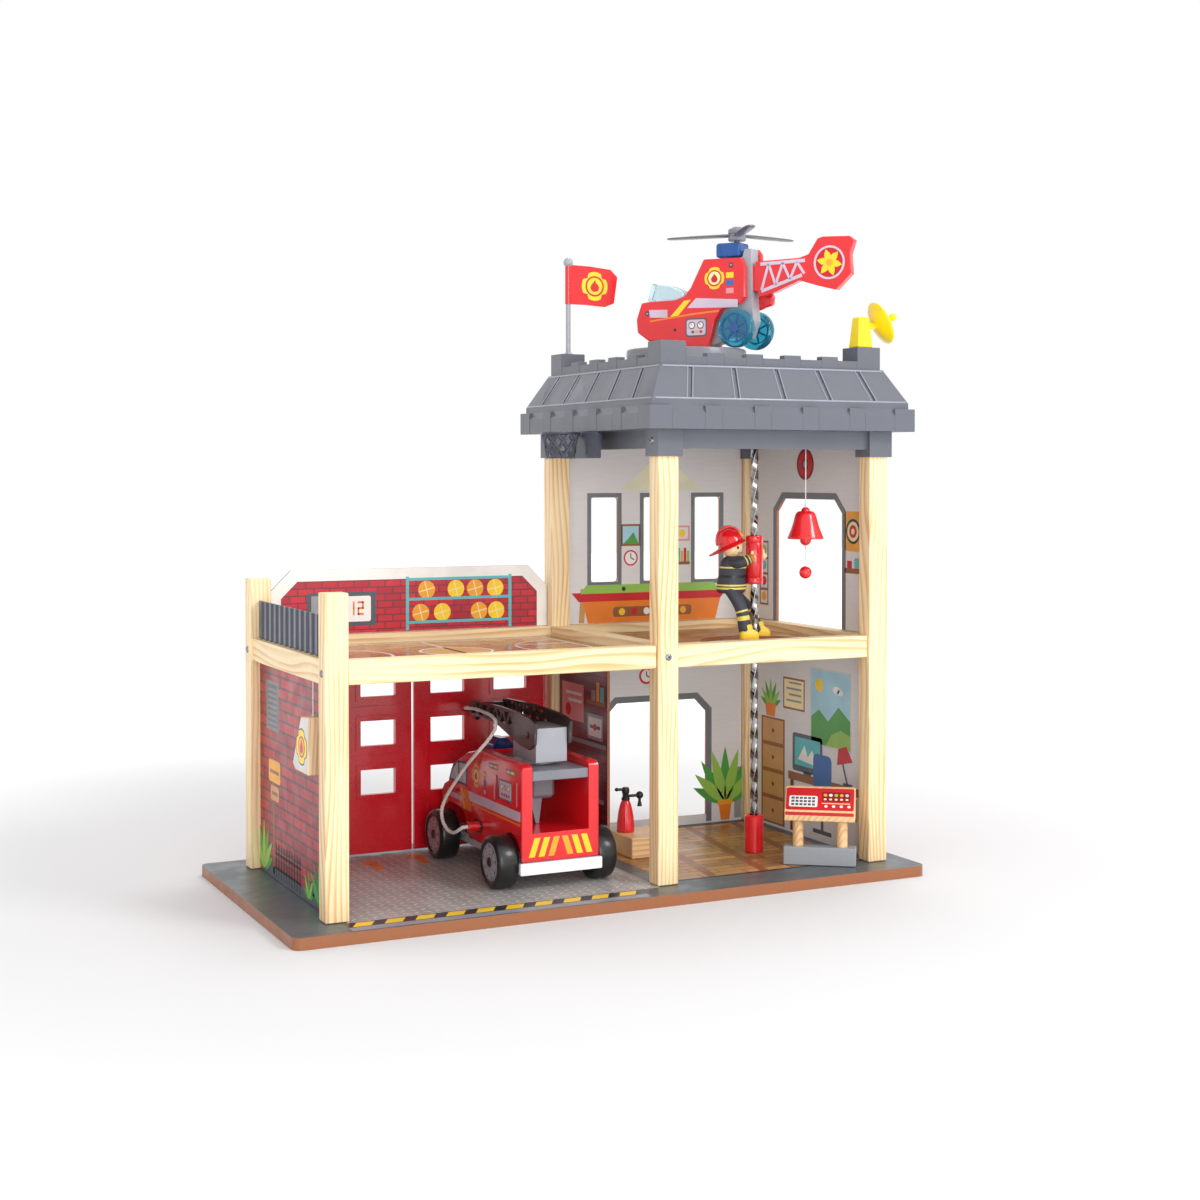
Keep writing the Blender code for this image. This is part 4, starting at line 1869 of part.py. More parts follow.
def figure_body(pivot):
    """Coat, arms, hands, legs and boots as one dressed body."""
    torso = balls(
        "firefighter_body",
        [(TORSO_X, 0.0, TORSO_Z - SLEEVE_BOTTOM)],
        TORSO_HALF_Z,
        steps=14,
        stretch=(TORSO_HALF_X / TORSO_HALF_Z, TORSO_HALF_Y / TORSO_HALF_Z, 1.0),
    )
    for name, path, radius in (
        ("near_arm", NEAR_ARM, LIMB_RADIUS),
        ("far_arm", FAR_ARM, LIMB_RADIUS),
        ("near_leg", NEAR_LEG, LEG_RADIUS),
        ("far_leg", FAR_LEG, LEG_RADIUS),
    ):
        join(torso, tube_mesh(name, smooth_path(lowered(path), 2), radius))
    join(torso, balls("hands", lowered([NEAR_HAND, FAR_HAND]), HAND_RADIUS, steps=8), figure_boots())
    head_room = balls("head_room", [(HEAD_X, 0.0, HEAD_Z - SLEEVE_BOTTOM)], HEAD_RADIUS + GAP * 1.5, steps=16)
    ends = [((0.0, 0.0, -GAP), (0.0, 0.0, SLEEVE_TOP - SLEEVE_BOTTOM + BOOT_LENGTH))]
    sleeve_room = rods("sleeve_room", ends, SLEEVE_RADIUS + GAP * 1.5, steps=WHEEL_STEPS)
    cut(torso, head_room, sleeve_room)
    return hang(part(torso, (0.06, 0.06, 0.09), 0.6), pivot, own_frame=True)


def figure_boots():
    """The pair of boots, for joining to the legs."""
    spots = lowered([NEAR_BOOT, FAR_BOOT])
    return balls(
        "boots",
        spots,
        BOOT_LENGTH / 2,
        stretch=(1.0, BOOT_WIDTH / BOOT_LENGTH, BOOT_HEIGHT / BOOT_LENGTH),
        steps=SMALL_STEPS,
    )


def firefighter():
    """Sleeve on the pole and the figure that holds it."""
    pivot = joint("sleeve_pivot", (POLE_X, POLE_Y, SLEEVE_BOTTOM), FIGURE_TURN_DEGREES)
    slide_sleeve(pivot)
    figure_head(pivot)
    figure_helmet(pivot)
    figure_body(pivot)


def truck():
    """Engine, parked on the garage floor with its nose to the doors."""
    pivot = joint("truck_place", (TRUCK_X, 0.0, GROUND_Z))
    truck_body(pivot)
    truck_chassis(pivot)
    truck_deck(pivot)
    truck_beacon(pivot)
    wheel_set("rear_wheels", REAR_AXLE_Y)
    wheel_set("front_wheels", FRONT_AXLE_Y)
    ladder_turntable()
    ladder()
    hose_nozzle()
    hose("hose_run", HOSE_RUN_POINTS, joint("hose_run_place", (TRUCK_X, PIVOT_Y, PIVOT_Z)))
    hose("hose_drop", HOSE_DROP_POINTS, pivot)


def station():
    """Base, frame, boards and roof."""
    base_board()
    frames()
    long_rails()
    floors()
    plain_walls()
    back_walls()
    side_walls()
    terrace_panel()
    terrace_railing()
    roof()
    hoop()
    helipad()
    slide_pole()
    pole_cup()


def build():
    """Model every piece."""
    station()
    garage_door("garage_door_left", 1, LEFT_PIVOT_X)
    garage_door("garage_door_right", -1, RIGHT_PIVOT_X)
    bell_set()
    tag_set()
    flag()
    dish_set()
    desk()
    extinguisher()
    truck()
    helicopter()
    firefighter()


build()
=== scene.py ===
"""Dresses the toy fire station: timber, boards, roof, engine, helicopter, figure and loose pieces.

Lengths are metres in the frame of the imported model: X runs to the right along the front,
Y towards the back and Z up. Prints are tables in millimetres, and each mark is a thin plate
on its face, a hair prouder for each layer.
"""

from __future__ import annotations

import logging
import math
from collections.abc import Callable, Iterable, Sequence
from dataclasses import dataclass, field
from enum import Enum

import bmesh
import bpy
from mathutils import Matrix, Vector


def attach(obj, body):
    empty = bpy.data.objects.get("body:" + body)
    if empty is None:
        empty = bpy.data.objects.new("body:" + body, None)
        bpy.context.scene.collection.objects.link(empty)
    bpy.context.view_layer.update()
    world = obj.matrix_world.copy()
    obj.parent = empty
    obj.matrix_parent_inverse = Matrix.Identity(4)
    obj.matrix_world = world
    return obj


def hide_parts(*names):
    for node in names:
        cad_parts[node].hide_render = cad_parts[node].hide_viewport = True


LOG = logging.getLogger("fire_station")
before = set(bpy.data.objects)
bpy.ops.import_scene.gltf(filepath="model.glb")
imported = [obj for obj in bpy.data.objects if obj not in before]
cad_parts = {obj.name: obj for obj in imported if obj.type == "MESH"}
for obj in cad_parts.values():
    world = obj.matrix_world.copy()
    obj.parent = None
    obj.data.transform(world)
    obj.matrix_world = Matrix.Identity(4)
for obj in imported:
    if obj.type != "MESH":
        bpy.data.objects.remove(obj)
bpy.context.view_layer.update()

MM = 0.001
Point2 = tuple[float, float]
Point3 = tuple[float, float, float]
Colour = tuple[float, float, float, float]
Outline = Sequence[Point2]
Path = Sequence[Sequence[float]]
Socket = bpy.types.NodeSocket
Value = float | Sequence[float] | Socket


def srgb(red: float, green: float, blue: float) -> Colour:
    """Linear colour of a screen colour given from 0 to 255."""
    parts = [part / 255.0 for part in (red, green, blue)]
    return (*(p / 12.92 if p < 0.04045 else ((p + 0.055) / 1.055) ** 2.4 for p in parts), 1.0)


class Graph:
    """A node tree with short ways to add and join its nodes."""

    def __init__(self, tree: bpy.types.NodeTree) -> None:
        """Hold the tree that nodes are added to."""
        self.tree = tree

    def link(self, value: Value, socket: Socket) -> None:
        """Feed a socket with another socket's output or with a plain value.

        Args:
            value: a socket or a value.
            socket: the socket that it goes to.
        """
        if isinstance(value, Socket):
            self.tree.links.new(value, socket)
        else:
            socket.default_value = value

    def node(self, kind: str, inputs: dict[str, Value] | None = None, **settings: object) -> bpy.types.Node:
        """Add a node.

        Args:
            kind: node type after the ShaderNode prefix.
            inputs: values or sockets by input name.
            **settings: attributes of the node.

        Returns:
            The new node.
        """
        made = self.tree.nodes.new("ShaderNode" + kind)
        for name, setting in settings.items():
            setattr(made, name, setting)
        for name, value in (inputs or {}).items():
            self.link(value, made.inputs[name])
        return made

    def math(self, operation: str, *values: Value) -> Socket:
        """Result of a Math node.

        Args:
            operation: the node's operation.
            *values: its inputs.

        Returns:
            The node's result.
        """
        made = self.node("Math", operation=operation)
        for slot, value in zip(made.inputs, values):
            self.link(value, slot)
        return made.outputs[0]

    def add(self, first: Value, second: Value) -> Socket:
        """Sum of two values."""
        return self.math("ADD", first, second)

    def mul(self, first: Value, second: Value) -> Socket:
        """Product of two values."""
        return self.math("MULTIPLY", first, second)

    def mix(self, share: Value, first: Value, second: Value) -> Socket:
        """Colour mixed from two colours.

        Args:
            share: how much of the second colour there is.
            first: one colour.
            second: the other.

        Returns:
            The colour.
        """
        made = self.node("Mix", data_type="RGBA")
        for index, value in ((0, share), (6, first), (7, second)):
            self.link(value, made.inputs[index])
        return made.outputs[2]

    def span(self, value: Value, low: float, high: float, to_low: float = 0.0,
             to_high: float = 1.0) -> Socket:
        """Value mapped from one range to another with soft ends."""
        words = {"Value": value, "From Min": low, "From Max": high, "To Min": to_low, "To Max": to_high}
        return self.node("MapRange", words, interpolation_type="SMOOTHSTEP").outputs["Result"]

    def noise(self, vector: Value, scale: float, detail: float = 2.0, rough: float = 0.5) -> Socket:
        """Noise from 0 to 1 at a number of waves a metre."""
        words = {"Vector": vector, "Scale": scale, "Detail": detail, "Roughness": rough}
        return self.node("TexNoise", words).outputs["Fac"]

    def split(self, vector: Value) -> tuple[Socket, Socket, Socket]:
        """The three parts of a vector."""
        made = self.node("SeparateXYZ", {"Vector": vector})
        return made.outputs[0], made.outputs[1], made.outputs[2]

    def join(self, x: Value, y: Value, z: Value = 0.0) -> Socket:
        """Vector of three parts."""
        return self.node("CombineXYZ", {"X": x, "Y": y, "Z": z}).outputs[0]

    def times(self, vector: Value, factors: Sequence[float]) -> Socket:
        """Vector scaled part by part.

        Args:
            vector: the vector.
            factors: a factor for each of its parts.

        Returns:
            The scaled vector.
        """
        made = self.node("VectorMath", operation="MULTIPLY")
        self.link(vector, made.inputs[0])
        self.link(factors, made.inputs[1])
        return made.outputs[0]

    def place(self) -> Socket:
        """Coordinates in metres in the object's own frame."""
        return self.node("TexCoord").outputs["Object"]

    def facing(self) -> tuple[Socket, Socket, Socket]:
        """The parts of the surface's own normal in the object's frame."""
        return self.split(self.node("TexCoord").outputs["Normal"])

    def group(self, tree: bpy.types.NodeTree, inputs: dict[str, Value]) -> bpy.types.NodeOutputs:
        """Outputs of a shared group; its sockets appear once the node has its tree.

        Args:
            tree: the group's tree.
            inputs: values or sockets by input name.

        Returns:
            The node's outputs.
        """
        made = self.tree.nodes.new("ShaderNodeGroup")
        made.node_tree = tree
        for name, value in inputs.items():
            self.link(value, made.inputs[name])
        return made.outputs

    def bump(self, height: Value, depth: float, strength: float = 1.0) -> Socket:
        """Normal from a height that reaches a depth in metres."""
        words = {"Height": height, "Distance": depth, "Strength": strength}
        return self.node("Bump", words).outputs["Normal"]


SOCKETS = {"Vector": "NodeSocketVector", "Color": "NodeSocketColor", "Float": "NodeSocketFloat"}
SURFACE = (("Color", "Color"), ("Roughness", "Float"), ("Height", "Float"))


def shared_group(
    name: str,
    inputs: Sequence[tuple[str, str]],
    outputs: Sequence[tuple[str, str]],
    build: Callable[[Graph, bpy.types.NodeOutputs], dict[str, Socket]],
) -> bpy.types.ShaderNodeTree:
    """A node group that is built once and handed out again.

    Args:
        name: the group's name.
        inputs: name and kind of each input.
        outputs: name and kind of each output.
        build: makes the nodes and gives the socket for each output.

    Returns:
        The group's tree.
    """
    found = bpy.data.node_groups.get(name)
    if found is not None:
        return found
    tree = bpy.data.node_groups.new(name, "ShaderNodeTree")
    for label, kind in inputs:
        tree.interface.new_socket(label, in_out="INPUT", socket_type=SOCKETS[kind])
    for label, kind in outputs:
        tree.interface.new_socket(label, in_out="OUTPUT", socket_type=SOCKETS[kind])
    source = tree.nodes.new("NodeGroupInput")
    sink = tree.nodes.new("NodeGroupOutput")
    for label, socket in build(Graph(tree), source.outputs).items():
        tree.links.new(socket, sink.inputs[label])
    return tree


def wood_grain() -> bpy.types.ShaderNodeTree:
    """Pine growth rings and pores along the vector's X.

    Returns:
        The group's tree.
    """

    def build(g: Graph, given: bpy.types.NodeOutputs) -> dict[str, Socket]:
        """Rings from a bent distance across the grain, then pores and a slow drift of tone.

        Args:
            g: the group's graph.
            given: the group's inputs.

        Returns:
            The socket for each output.
        """
        along, across, deep = g.split(given["Vector"])
        bend = g.noise(g.times(given["Vector"], (5.0, 22.0, 22.0)), 1.0, 1.0)
        drift = g.noise(g.times(given["Vector"], (2.0, 60.0, 60.0)), 1.0, 2.0)
        level = g.add(g.mul(across, 0.82), g.mul(deep, 0.57))
        level = g.add(level, g.mul(bend, 0.02))
        level = g.add(level, g.mul(drift, 0.0012))
        ring = g.math("FRACT", g.math("DIVIDE", level, given["Pitch"]))
        late = g.mul(g.span(ring, 0.3, 0.86), g.span(ring, 1.0, 0.9))
        pores = g.noise(g.times(given["Vector"], (90.0, 2400.0, 2400.0)), 1.0, 1.0)
        fine = g.span(pores, 0.55, 0.75)
        tone = g.noise(g.times(given["Vector"], (9.0, 40.0, 40.0)), 1.0, 2.0)
        mask = g.mul(late, g.span(tone, 0.3, 0.7, 0.35, 0.95))
        colour = g.mix(mask, given["Light"], given["Dark"])
        colour = g.mix(g.mul(fine, 0.22), colour, given["Dark"])
        colour = g.mix(g.span(tone, 0.3, 0.7, 0.0, 0.16), colour, given["Dark"])
        rough = g.add(g.mul(mask, -0.08), g.span(pores, 0.3, 0.8, 0.44, 0.56))
        height = g.math("SUBTRACT", g.mul(mask, 0.5), g.mul(fine, 0.5))
        return {"Color": colour, "Roughness": rough, "Height": height}

    inputs = (("Vector", "Vector"), ("Light", "Color"), ("Dark", "Color"), ("Pitch", "Float"))
    return shared_group("wood_grain", inputs, SURFACE, build)


def skin() -> bpy.types.ShaderNodeTree:
    """Faint clouding, orange peel and specks of a painted, moulded or printed skin.

    Returns:
        The group's tree.
    """

    def build(g: Graph, given: bpy.types.NodeOutputs) -> dict[str, Socket]:
        """Slow clouds for tone, fine noise for the surface and sparse specks of wear.

        Args:
            g: the group's graph.
            given: the group's inputs.

        Returns:
            The socket for each output.
        """
        clouds = g.noise(given["Vector"], 38.0, 3.0)
        peel = g.noise(given["Vector"], 900.0, 2.0, 0.6)
        grit = g.noise(given["Vector"], 2600.0, 1.0)
        colour = g.mix(g.mul(g.span(clouds, 0.32, 0.68), given["Amount"]), given["Base"], given["Tint"])
        specks = g.mul(g.span(grit, 0.7, 0.8), given["Amount"])
        colour = g.mix(g.mul(specks, 0.5), colour, given["Tint"])
        rough = g.add(given["Rough"], g.span(clouds, 0.3, 0.7, -0.035, 0.045))
        rough = g.add(rough, g.span(peel, 0.3, 0.7, -0.02, 0.03))
        return {"Color": colour, "Roughness": rough, "Height": peel}

    inputs = (("Vector", "Vector"), ("Base", "Color"), ("Tint", "Color"), ("Amount", "Float"),
              ("Rough", "Float"))
    return shared_group("skin", inputs, SURFACE, build)


def courses() -> bpy.types.ShaderNodeTree:
    """Courses of bricks or planks over a vector in metres, with a joint between them.

    Returns:
        The group's tree.
    """

    def build(g: Graph, given: bpy.types.NodeOutputs) -> dict[str, Socket]:
        """Bricks in millimetres, each with its own tone, and a soft stain over them.

        Args:
            g: the group's graph.
            given: the group's inputs.

        Returns:
            The socket for each output.
        """
        flat = g.times(given["Vector"], (1000.0, 1000.0, 0.0))
        words = {
            "Vector": flat, "Color1": given["First"], "Color2": given["Second"], "Mortar": given["Joint"],
            "Scale": 1.0, "Mortar Size": given["Gap"], "Mortar Smooth": 0.15, "Bias": 0.0,
            "Brick Width": given["Length"], "Row Height": given["Height"],
        }
        made = g.node("TexBrick", words, offset=0.5, offset_frequency=2)
        stain = g.noise(g.times(given["Vector"], (90.0, 160.0, 1.0)), 1.0, 3.0)
        colour = g.mix(g.span(stain, 0.35, 0.75, 0.0, 0.35), made.outputs["Color"], given["Second"])
        return {"Color": colour, "Joint": made.outputs["Fac"]}

    inputs = (
        ("Vector", "Vector"), ("First", "Color"), ("Second", "Color"), ("Joint", "Color"),
        ("Length", "Float"), ("Height", "Float"), ("Gap", "Float"),
    )
    return shared_group("courses", inputs, (("Color", "Color"), ("Joint", "Float")), build)


@dataclass(frozen=True)
class Finish:
    """A finish that makes its material once and hands it out again."""

    name: str

    def material(self) -> bpy.types.Material:
        """Make the finish's material at the first call.

        Returns:
            The material.
        """
        made = bpy.data.materials.get(self.name)
        if made is None:
            made = bpy.data.materials.new(self.name)
            made.use_nodes = True
            made.node_tree.nodes.clear()
            g = Graph(made.node_tree)
            shader = g.node("BsdfPrincipled", self.paint(g))
            g.link(shader.outputs[0], g.node("OutputMaterial").inputs["Surface"])
        return made

    def paint(self, g: Graph) -> dict[str, Value]:
        """Values and sockets for the shader's inputs by name."""
        raise NotImplementedError


class Run(Enum):
    """Which way the timber's grain runs."""

    X = "X"
    Y = "Y"
    Z = "Z"
    POSTS_AND_RAIL = "POSTS_AND_RAIL"


@dataclass(frozen=True)
class Pine(Finish):
    """Clear-lacquered pine; posts and their rail part at two levels of Y."""

    run: Run = Run.X
    light: Colour = srgb(247, 224, 180)
    dark: Colour = srgb(214, 166, 106)
    pitch: float = 0.0036
    back_post: float = 0.104
    front_post: float = -0.1003

    def paint(self, g: Graph) -> dict[str, Value]:
        """Grain along the timber's run under a thin coat.

        Args:
            g: the material's graph.

        Returns:
            The shader's inputs.
        """
        x, y, z = g.split(g.place())
        ways = {Run.X: (x, y, z), Run.Y: (y, x, z), Run.Z: (z, x, y)}
        if self.run is Run.POSTS_AND_RAIL:
            post = g.add(g.math("GREATER_THAN", y, self.back_post), g.math("LESS_THAN", y, self.front_post))
            vector = g.mix(post, g.join(*ways[Run.Y]), g.join(*ways[Run.Z]))
        else:
            vector = g.join(*ways[self.run])
        given = {"Vector": vector, "Light": self.light, "Dark": self.dark, "Pitch": self.pitch}
        made = g.group(wood_grain(), given)
        return {
            "Base Color": made["Color"], "Roughness": made["Roughness"], "Coat Weight": 0.15,
            "Coat Roughness": 0.35, "Normal": g.bump(made["Height"], 0.00012),
        }


@dataclass(frozen=True)
class Coating(Finish):
    """Moulded plastic, paint or ink in one colour that clouds a little towards another."""

    base: Colour = (0.5, 0.5, 0.5, 1.0)
    tint: Colour = (0.4, 0.4, 0.4, 1.0)
    amount: float = 0.35
    rough: float = 0.35
    coat: float = 0.0
    metal: float = 0.0
    peel: float = 0.00003
    clear: float = 0.0

    def paint(self, g: Graph) -> dict[str, Value]:
        """The shared skin with this colour and gloss.

        Args:
            g: the material's graph.

        Returns:
            The shader's inputs.
        """
        given = {"Vector": g.place(), "Base": self.base, "Tint": self.tint, "Amount": self.amount,
                 "Rough": self.rough}
        made = g.group(skin(), given)
        return {
            "Base Color": made["Color"], "Roughness": made["Roughness"], "Coat Weight": self.coat,
            "Coat Roughness": 0.08, "Metallic": self.metal, "Transmission Weight": self.clear, "IOR": 1.46,
            "Normal": g.bump(made["Height"], self.peel),
        }


def coating(name: str, colour: Sequence[float], shade: float = 0.8, **settings: float) -> Coating:
    """A coating whose clouds are a shade of its own colour.

    Args:
        name: the material's name.
        colour: screen colour from 0 to 255.
        shade: brightness of the clouds against the colour.
        **settings: other fields of the coating.

    Returns:
        The coating.
    """
    return Coating(name, base=srgb(*colour), tint=srgb(*(part * shade for part in colour)), **settings)


@dataclass(frozen=True)
class Paper(Finish):
    """White studio paper with painted shade and a painted glow: darker near the object, and brighter and
    glowing farther from it.
    """

    near: Colour = (0.7, 0.7, 0.71, 1.0)
    far: Colour = (0.98, 0.98, 0.98, 1.0)
    dim: Colour = (0.0, 0.0, 0.0, 1.0)
    glow: Colour = (0.25, 0.25, 0.25, 1.0)
    inner: float = 0.45
    outer: float = 1.5

    def paint(self, g: Graph) -> dict[str, Value]:
        """Painted shade near the middle and a painted glow farther out, by the distance from the middle, over
        fine fibres.

        Args:
            g: the material's graph.

        Returns:
            The shader's inputs.
        """
        x, y, _ = g.split(g.place())
        # Painted shade and glow: the paper is darker near the object, and brighter and glowing farther from
        # it.
        share = g.span(g.math("SQRT", g.add(g.mul(x, x), g.mul(y, y))), self.inner, self.outer)
        fibre = g.noise(g.place(), 700.0, 2.0)
        return {
            "Base Color": g.mix(g.mul(fibre, 0.03), g.mix(share, self.near, self.far), self.near),
            "Emission Color": g.mix(share, self.dim, self.glow), "Emission Strength": 1.0,
            "Roughness": g.span(fibre, 0.3, 0.7, 0.82, 0.92),
        }


@dataclass(frozen=True)
class Weave(Finish):
    """Cloth or rope with a fine diagonal weave."""

    base: Colour = (0.1, 0.1, 0.1, 1.0)
    tint: Colour = (0.05, 0.05, 0.05, 1.0)
    pitch: float = 0.0006
    rough: float = 0.85

    def paint(self, g: Graph) -> dict[str, Value]:
        """Two crossing waves of thread, mottled and rough.

        Args:
            g: the material's graph.

        Returns:
            The shader's inputs.
        """
        x, y, z = g.split(g.place())
        turns = math.tau / self.pitch
        first = g.math("SINE", g.mul(g.add(x, z), turns))
        second = g.math("SINE", g.mul(g.math("SUBTRACT", y, z), turns))
        thread = g.span(g.mul(first, second), -0.8, 0.8)
        clouds = g.noise(g.place(), 160.0, 3.0)
        return {
            "Base Color": g.mix(g.mul(g.add(thread, clouds), 0.5), self.tint, self.base),
            "Sheen Weight": 0.25,
            "Roughness": g.span(clouds, 0.3, 0.7, self.rough - 0.08, self.rough + 0.06),
            "Normal": g.bump(thread, 0.0001),
        }


class Side(Enum):
    """The way a face looks: axis index and direction."""

    LEFT = (0, -1.0)
    RIGHT = (0, 1.0)
    FRONT = (1, -1.0)
    BACK = (1, 1.0)
    TOP = (2, 1.0)


class Pattern(Enum):
    """Patterns printed over a whole face."""

    PLAIN = "PLAIN"
    BRICK = "BRICK"
    PLANK = "PLANK"
    TREAD = "TREAD"


@dataclass(frozen=True)
class Sheet:
    """Printed paper: a pattern and its colours, with lengths in millimetres."""

    pattern: Pattern
    first: Colour
    second: Colour
    joint: Colour = (0.1, 0.1, 0.1, 1.0)
    length: float = 37.0
    height: float = 10.0
    gap: float = 0.6

    def colour(self, g: Graph, flat: Socket) -> Socket:
        """Draw the sheet.

        Args:
            g: the material's graph.
            flat: coordinates over the sheet in metres.

        Returns:
            The sheet's colour.
        """
        if self.pattern is Pattern.PLAIN:
            grain = g.noise(g.times(flat, (40.0, 400.0, 1.0)), 1.0, 3.0)
            return g.mix(g.span(grain, 0.3, 0.7), self.first, self.second)
        if self.pattern is Pattern.TREAD:
            return self.tread(g, flat)
        given = {
            "Vector": flat, "First": self.first, "Second": self.second, "Joint": self.joint,
            "Length": self.length, "Height": self.height, "Gap": self.gap,
        }
        made = g.group(courses(), given)["Color"]
        if self.pattern is Pattern.PLANK:
            lines = g.noise(g.times(flat, (60.0, 1500.0, 1.0)), 1.0, 2.0)
            made = g.mix(g.span(lines, 0.45, 0.75, 0.0, 0.3), made, self.joint)
        return made

    def tread(self, g: Graph, flat: Socket) -> Socket:
        """Draw the raised lozenges of a metal tread plate, turned each way by turns.

        Args:
            g: the material's graph.
            flat: coordinates over the sheet in metres.

        Returns:
            The plate's colour.
        """
        pitch = 1.0 / (self.length * MM)
        u, v, _ = g.split(g.times(flat, (pitch, pitch, 1.0)))
        odd = g.math("MODULO", g.math("ABSOLUTE", g.add(g.math("FLOOR", u), g.math("FLOOR", v))), 2.0)
        even = g.math("SUBTRACT", 1.0, odd)
        across = g.math("SUBTRACT", g.math("FRACT", u), 0.5)
        up = g.math("SUBTRACT", g.math("FRACT", v), 0.5)
        plus = g.math("ABSOLUTE", g.add(across, up))
        minus = g.math("ABSOLUTE", g.math("SUBTRACT", across, up))
        thin = g.add(g.mul(plus, odd), g.mul(minus, even))
        long = g.add(g.mul(minus, odd), g.mul(plus, even))
        mask = g.mul(g.span(thin, 0.22, 0.12), g.span(long, 0.62, 0.48))
        edge = g.mul(g.span(thin, 0.34, 0.22), g.span(long, 0.74, 0.6))
        clouds = g.noise(flat, 30.0, 4.0, 0.6)
        ground = g.mix(g.span(clouds, 0.3, 0.7, 0.0, 0.55), self.second, self.joint)
        ground = g.mix(g.mul(edge, 0.55), ground, self.joint)
        return g.mix(g.mul(mask, 0.85), ground, self.first)


@dataclass(frozen=True)
class Board(Finish):
    """Fibreboard printed on one face, with another sheet on its back and bare brown edges."""

    side: Side = Side.TOP
    face: Sheet = Sheet(Pattern.PLAIN, (0.5, 0.5, 0.5, 1.0), (0.5, 0.5, 0.5, 1.0))
    back: Sheet | None = None
    edge: Colour = srgb(168, 106, 66)
    edge_dark: Colour = srgb(130, 78, 48)
    rough: float = 0.36

    def paint(self, g: Graph) -> dict[str, Value]:
        """Sheets by the way the surface faces, fibres at the edges.

        Args:
            g: the material's graph.

        Returns:
            The shader's inputs.
        """
        place = g.place()
        parts = g.split(place)
        axis, way = self.side.value
        flat = g.join(*[parts[index] for index in range(3) if index != axis])
        facing = g.mul(g.facing()[axis], way)
        fibres = g.noise(place, 1400.0, 3.0, 0.7)
        bare = g.mix(g.span(fibres, 0.3, 0.7), self.edge_dark, self.edge)
        colour = g.mix(g.math("GREATER_THAN", facing, 0.6), bare, self.face.colour(g, flat))
        if self.back is not None:
            colour = g.mix(g.math("LESS_THAN", facing, -0.6), colour, self.back.colour(g, flat))
        gloss = g.span(g.noise(place, 55.0, 3.0), 0.3, 0.7, self.rough - 0.05, self.rough + 0.08)
        return {
            "Base Color": colour, "Roughness": gloss, "Coat Weight": 0.08, "Coat Roughness": 0.3,
            "Normal": g.bump(fibres, 0.00003, 0.5),
        }


WALL_SHEET = Sheet(Pattern.PLAIN, srgb(222, 220, 220), srgb(218, 216, 217))
SLATE_SHEET = Sheet(Pattern.PLAIN, srgb(92, 98, 102), srgb(74, 80, 84))
RED_BRICKS = Sheet(Pattern.BRICK, srgb(182, 28, 42), srgb(138, 18, 32), srgb(66, 40, 54), 37.0, 9.6, 1.1)
DARK_BRICKS = Sheet(Pattern.BRICK, srgb(132, 26, 38), srgb(104, 20, 32), srgb(64, 34, 44), 30.0, 9.0, 0.9)
SMALL_BRICKS = Sheet(Pattern.BRICK, srgb(206, 36, 48), srgb(168, 28, 44), srgb(104, 44, 66), 15.5, 6.6, 0.7)
TREAD_PLATE = Sheet(Pattern.TREAD, srgb(212, 209, 205), srgb(176, 173, 170), srgb(136, 134, 132), 9.0)
PARQUET = Sheet(Pattern.PLANK, srgb(214, 158, 88), srgb(150, 104, 66), srgb(96, 62, 40), 46.0, 11.5, 0.6)
COURT = Sheet(Pattern.PLANK, srgb(178, 122, 80), srgb(158, 102, 66), srgb(122, 76, 50), 60.0, 10.5, 0.4)


class Ink(Enum):
    """Printing inks and paints for small marks, as screen colours."""

    WHITE = (240, 238, 234)
    PALE = (214, 212, 210)
    GREY = (150, 152, 158)
    STONE = (118, 120, 124)
    LILAC = (206, 190, 208)
    GLOW = (232, 228, 200)
    STRAW = (232, 214, 104)
    SLATE = (84, 88, 98)
    DARK = (46, 46, 54)
    BLACK = (26, 26, 30)
    RED = (205, 28, 38)
    DEEP_RED = (140, 20, 32)
    ORANGE = (236, 130, 40)
    AMBER = (240, 168, 50)
    YELLOW = (252, 210, 44)
    CREAM = (250, 232, 176)
    GREEN = (80, 160, 70)
    DEEP_GREEN = (36, 110, 70)
    LIME = (150, 196, 84)
    TEAL = (90, 190, 196)
    BLUE = (52, 104, 176)
    SKY = (168, 212, 230)
    PINK = (232, 148, 150)
    TAN = (206, 154, 96)
    BROWN = (150, 94, 54)
    UMBER = (98, 60, 38)

    def finish(self) -> Coating:
        """The ink as a finish."""
        return coating("ink_" + self.name.lower(), self.value, 0.9, amount=0.5, rough=0.34, peel=0.00001)


RED_LACQUER = coating("red_lacquer", (222, 26, 34), 0.9, rough=0.2, coat=0.6)
DOOR_RED = coating("door_red", (218, 20, 36), 0.88, rough=0.26, coat=0.5)
ROOF_GREY = coating("roof_grey", (96, 99, 108), 0.9, rough=0.34, coat=0.25)
# Lighter grey of the slope beads: a painted highlight along the roof's edges, not the moulding's own colour.
ROOF_PAINTED_HIGHLIGHT = coating("roof_painted_highlight", (142, 145, 157), 0.95, rough=0.3, coat=0.3)
HOOP_GREY = coating("hoop_grey", (66, 70, 84), 0.85, rough=0.34, coat=0.2)
RAILING_GREY = coating("railing_slate", (66, 70, 84), 0.85, rough=0.34, coat=0.2)
DISH_YELLOW = coating("dish_yellow", (255, 224, 20), 0.94, rough=0.32, coat=0.2)
DECK_GREY = coating("deck_grey", (126, 127, 136), 0.85, rough=0.36, coat=0.15)
BUMPER_WHITE = coating("bumper_white", (236, 234, 238), 0.95, rough=0.28, coat=0.3)
SILVER = coating("silver_grey", (160, 162, 170), 0.88, rough=0.3, coat=0.25)
LADDER_DARK = coating("ladder_dark", (58, 44, 44), 0.8, rough=0.36, coat=0.2)
JET = coating("jet_black", (28, 28, 31), 0.8, rough=0.34)
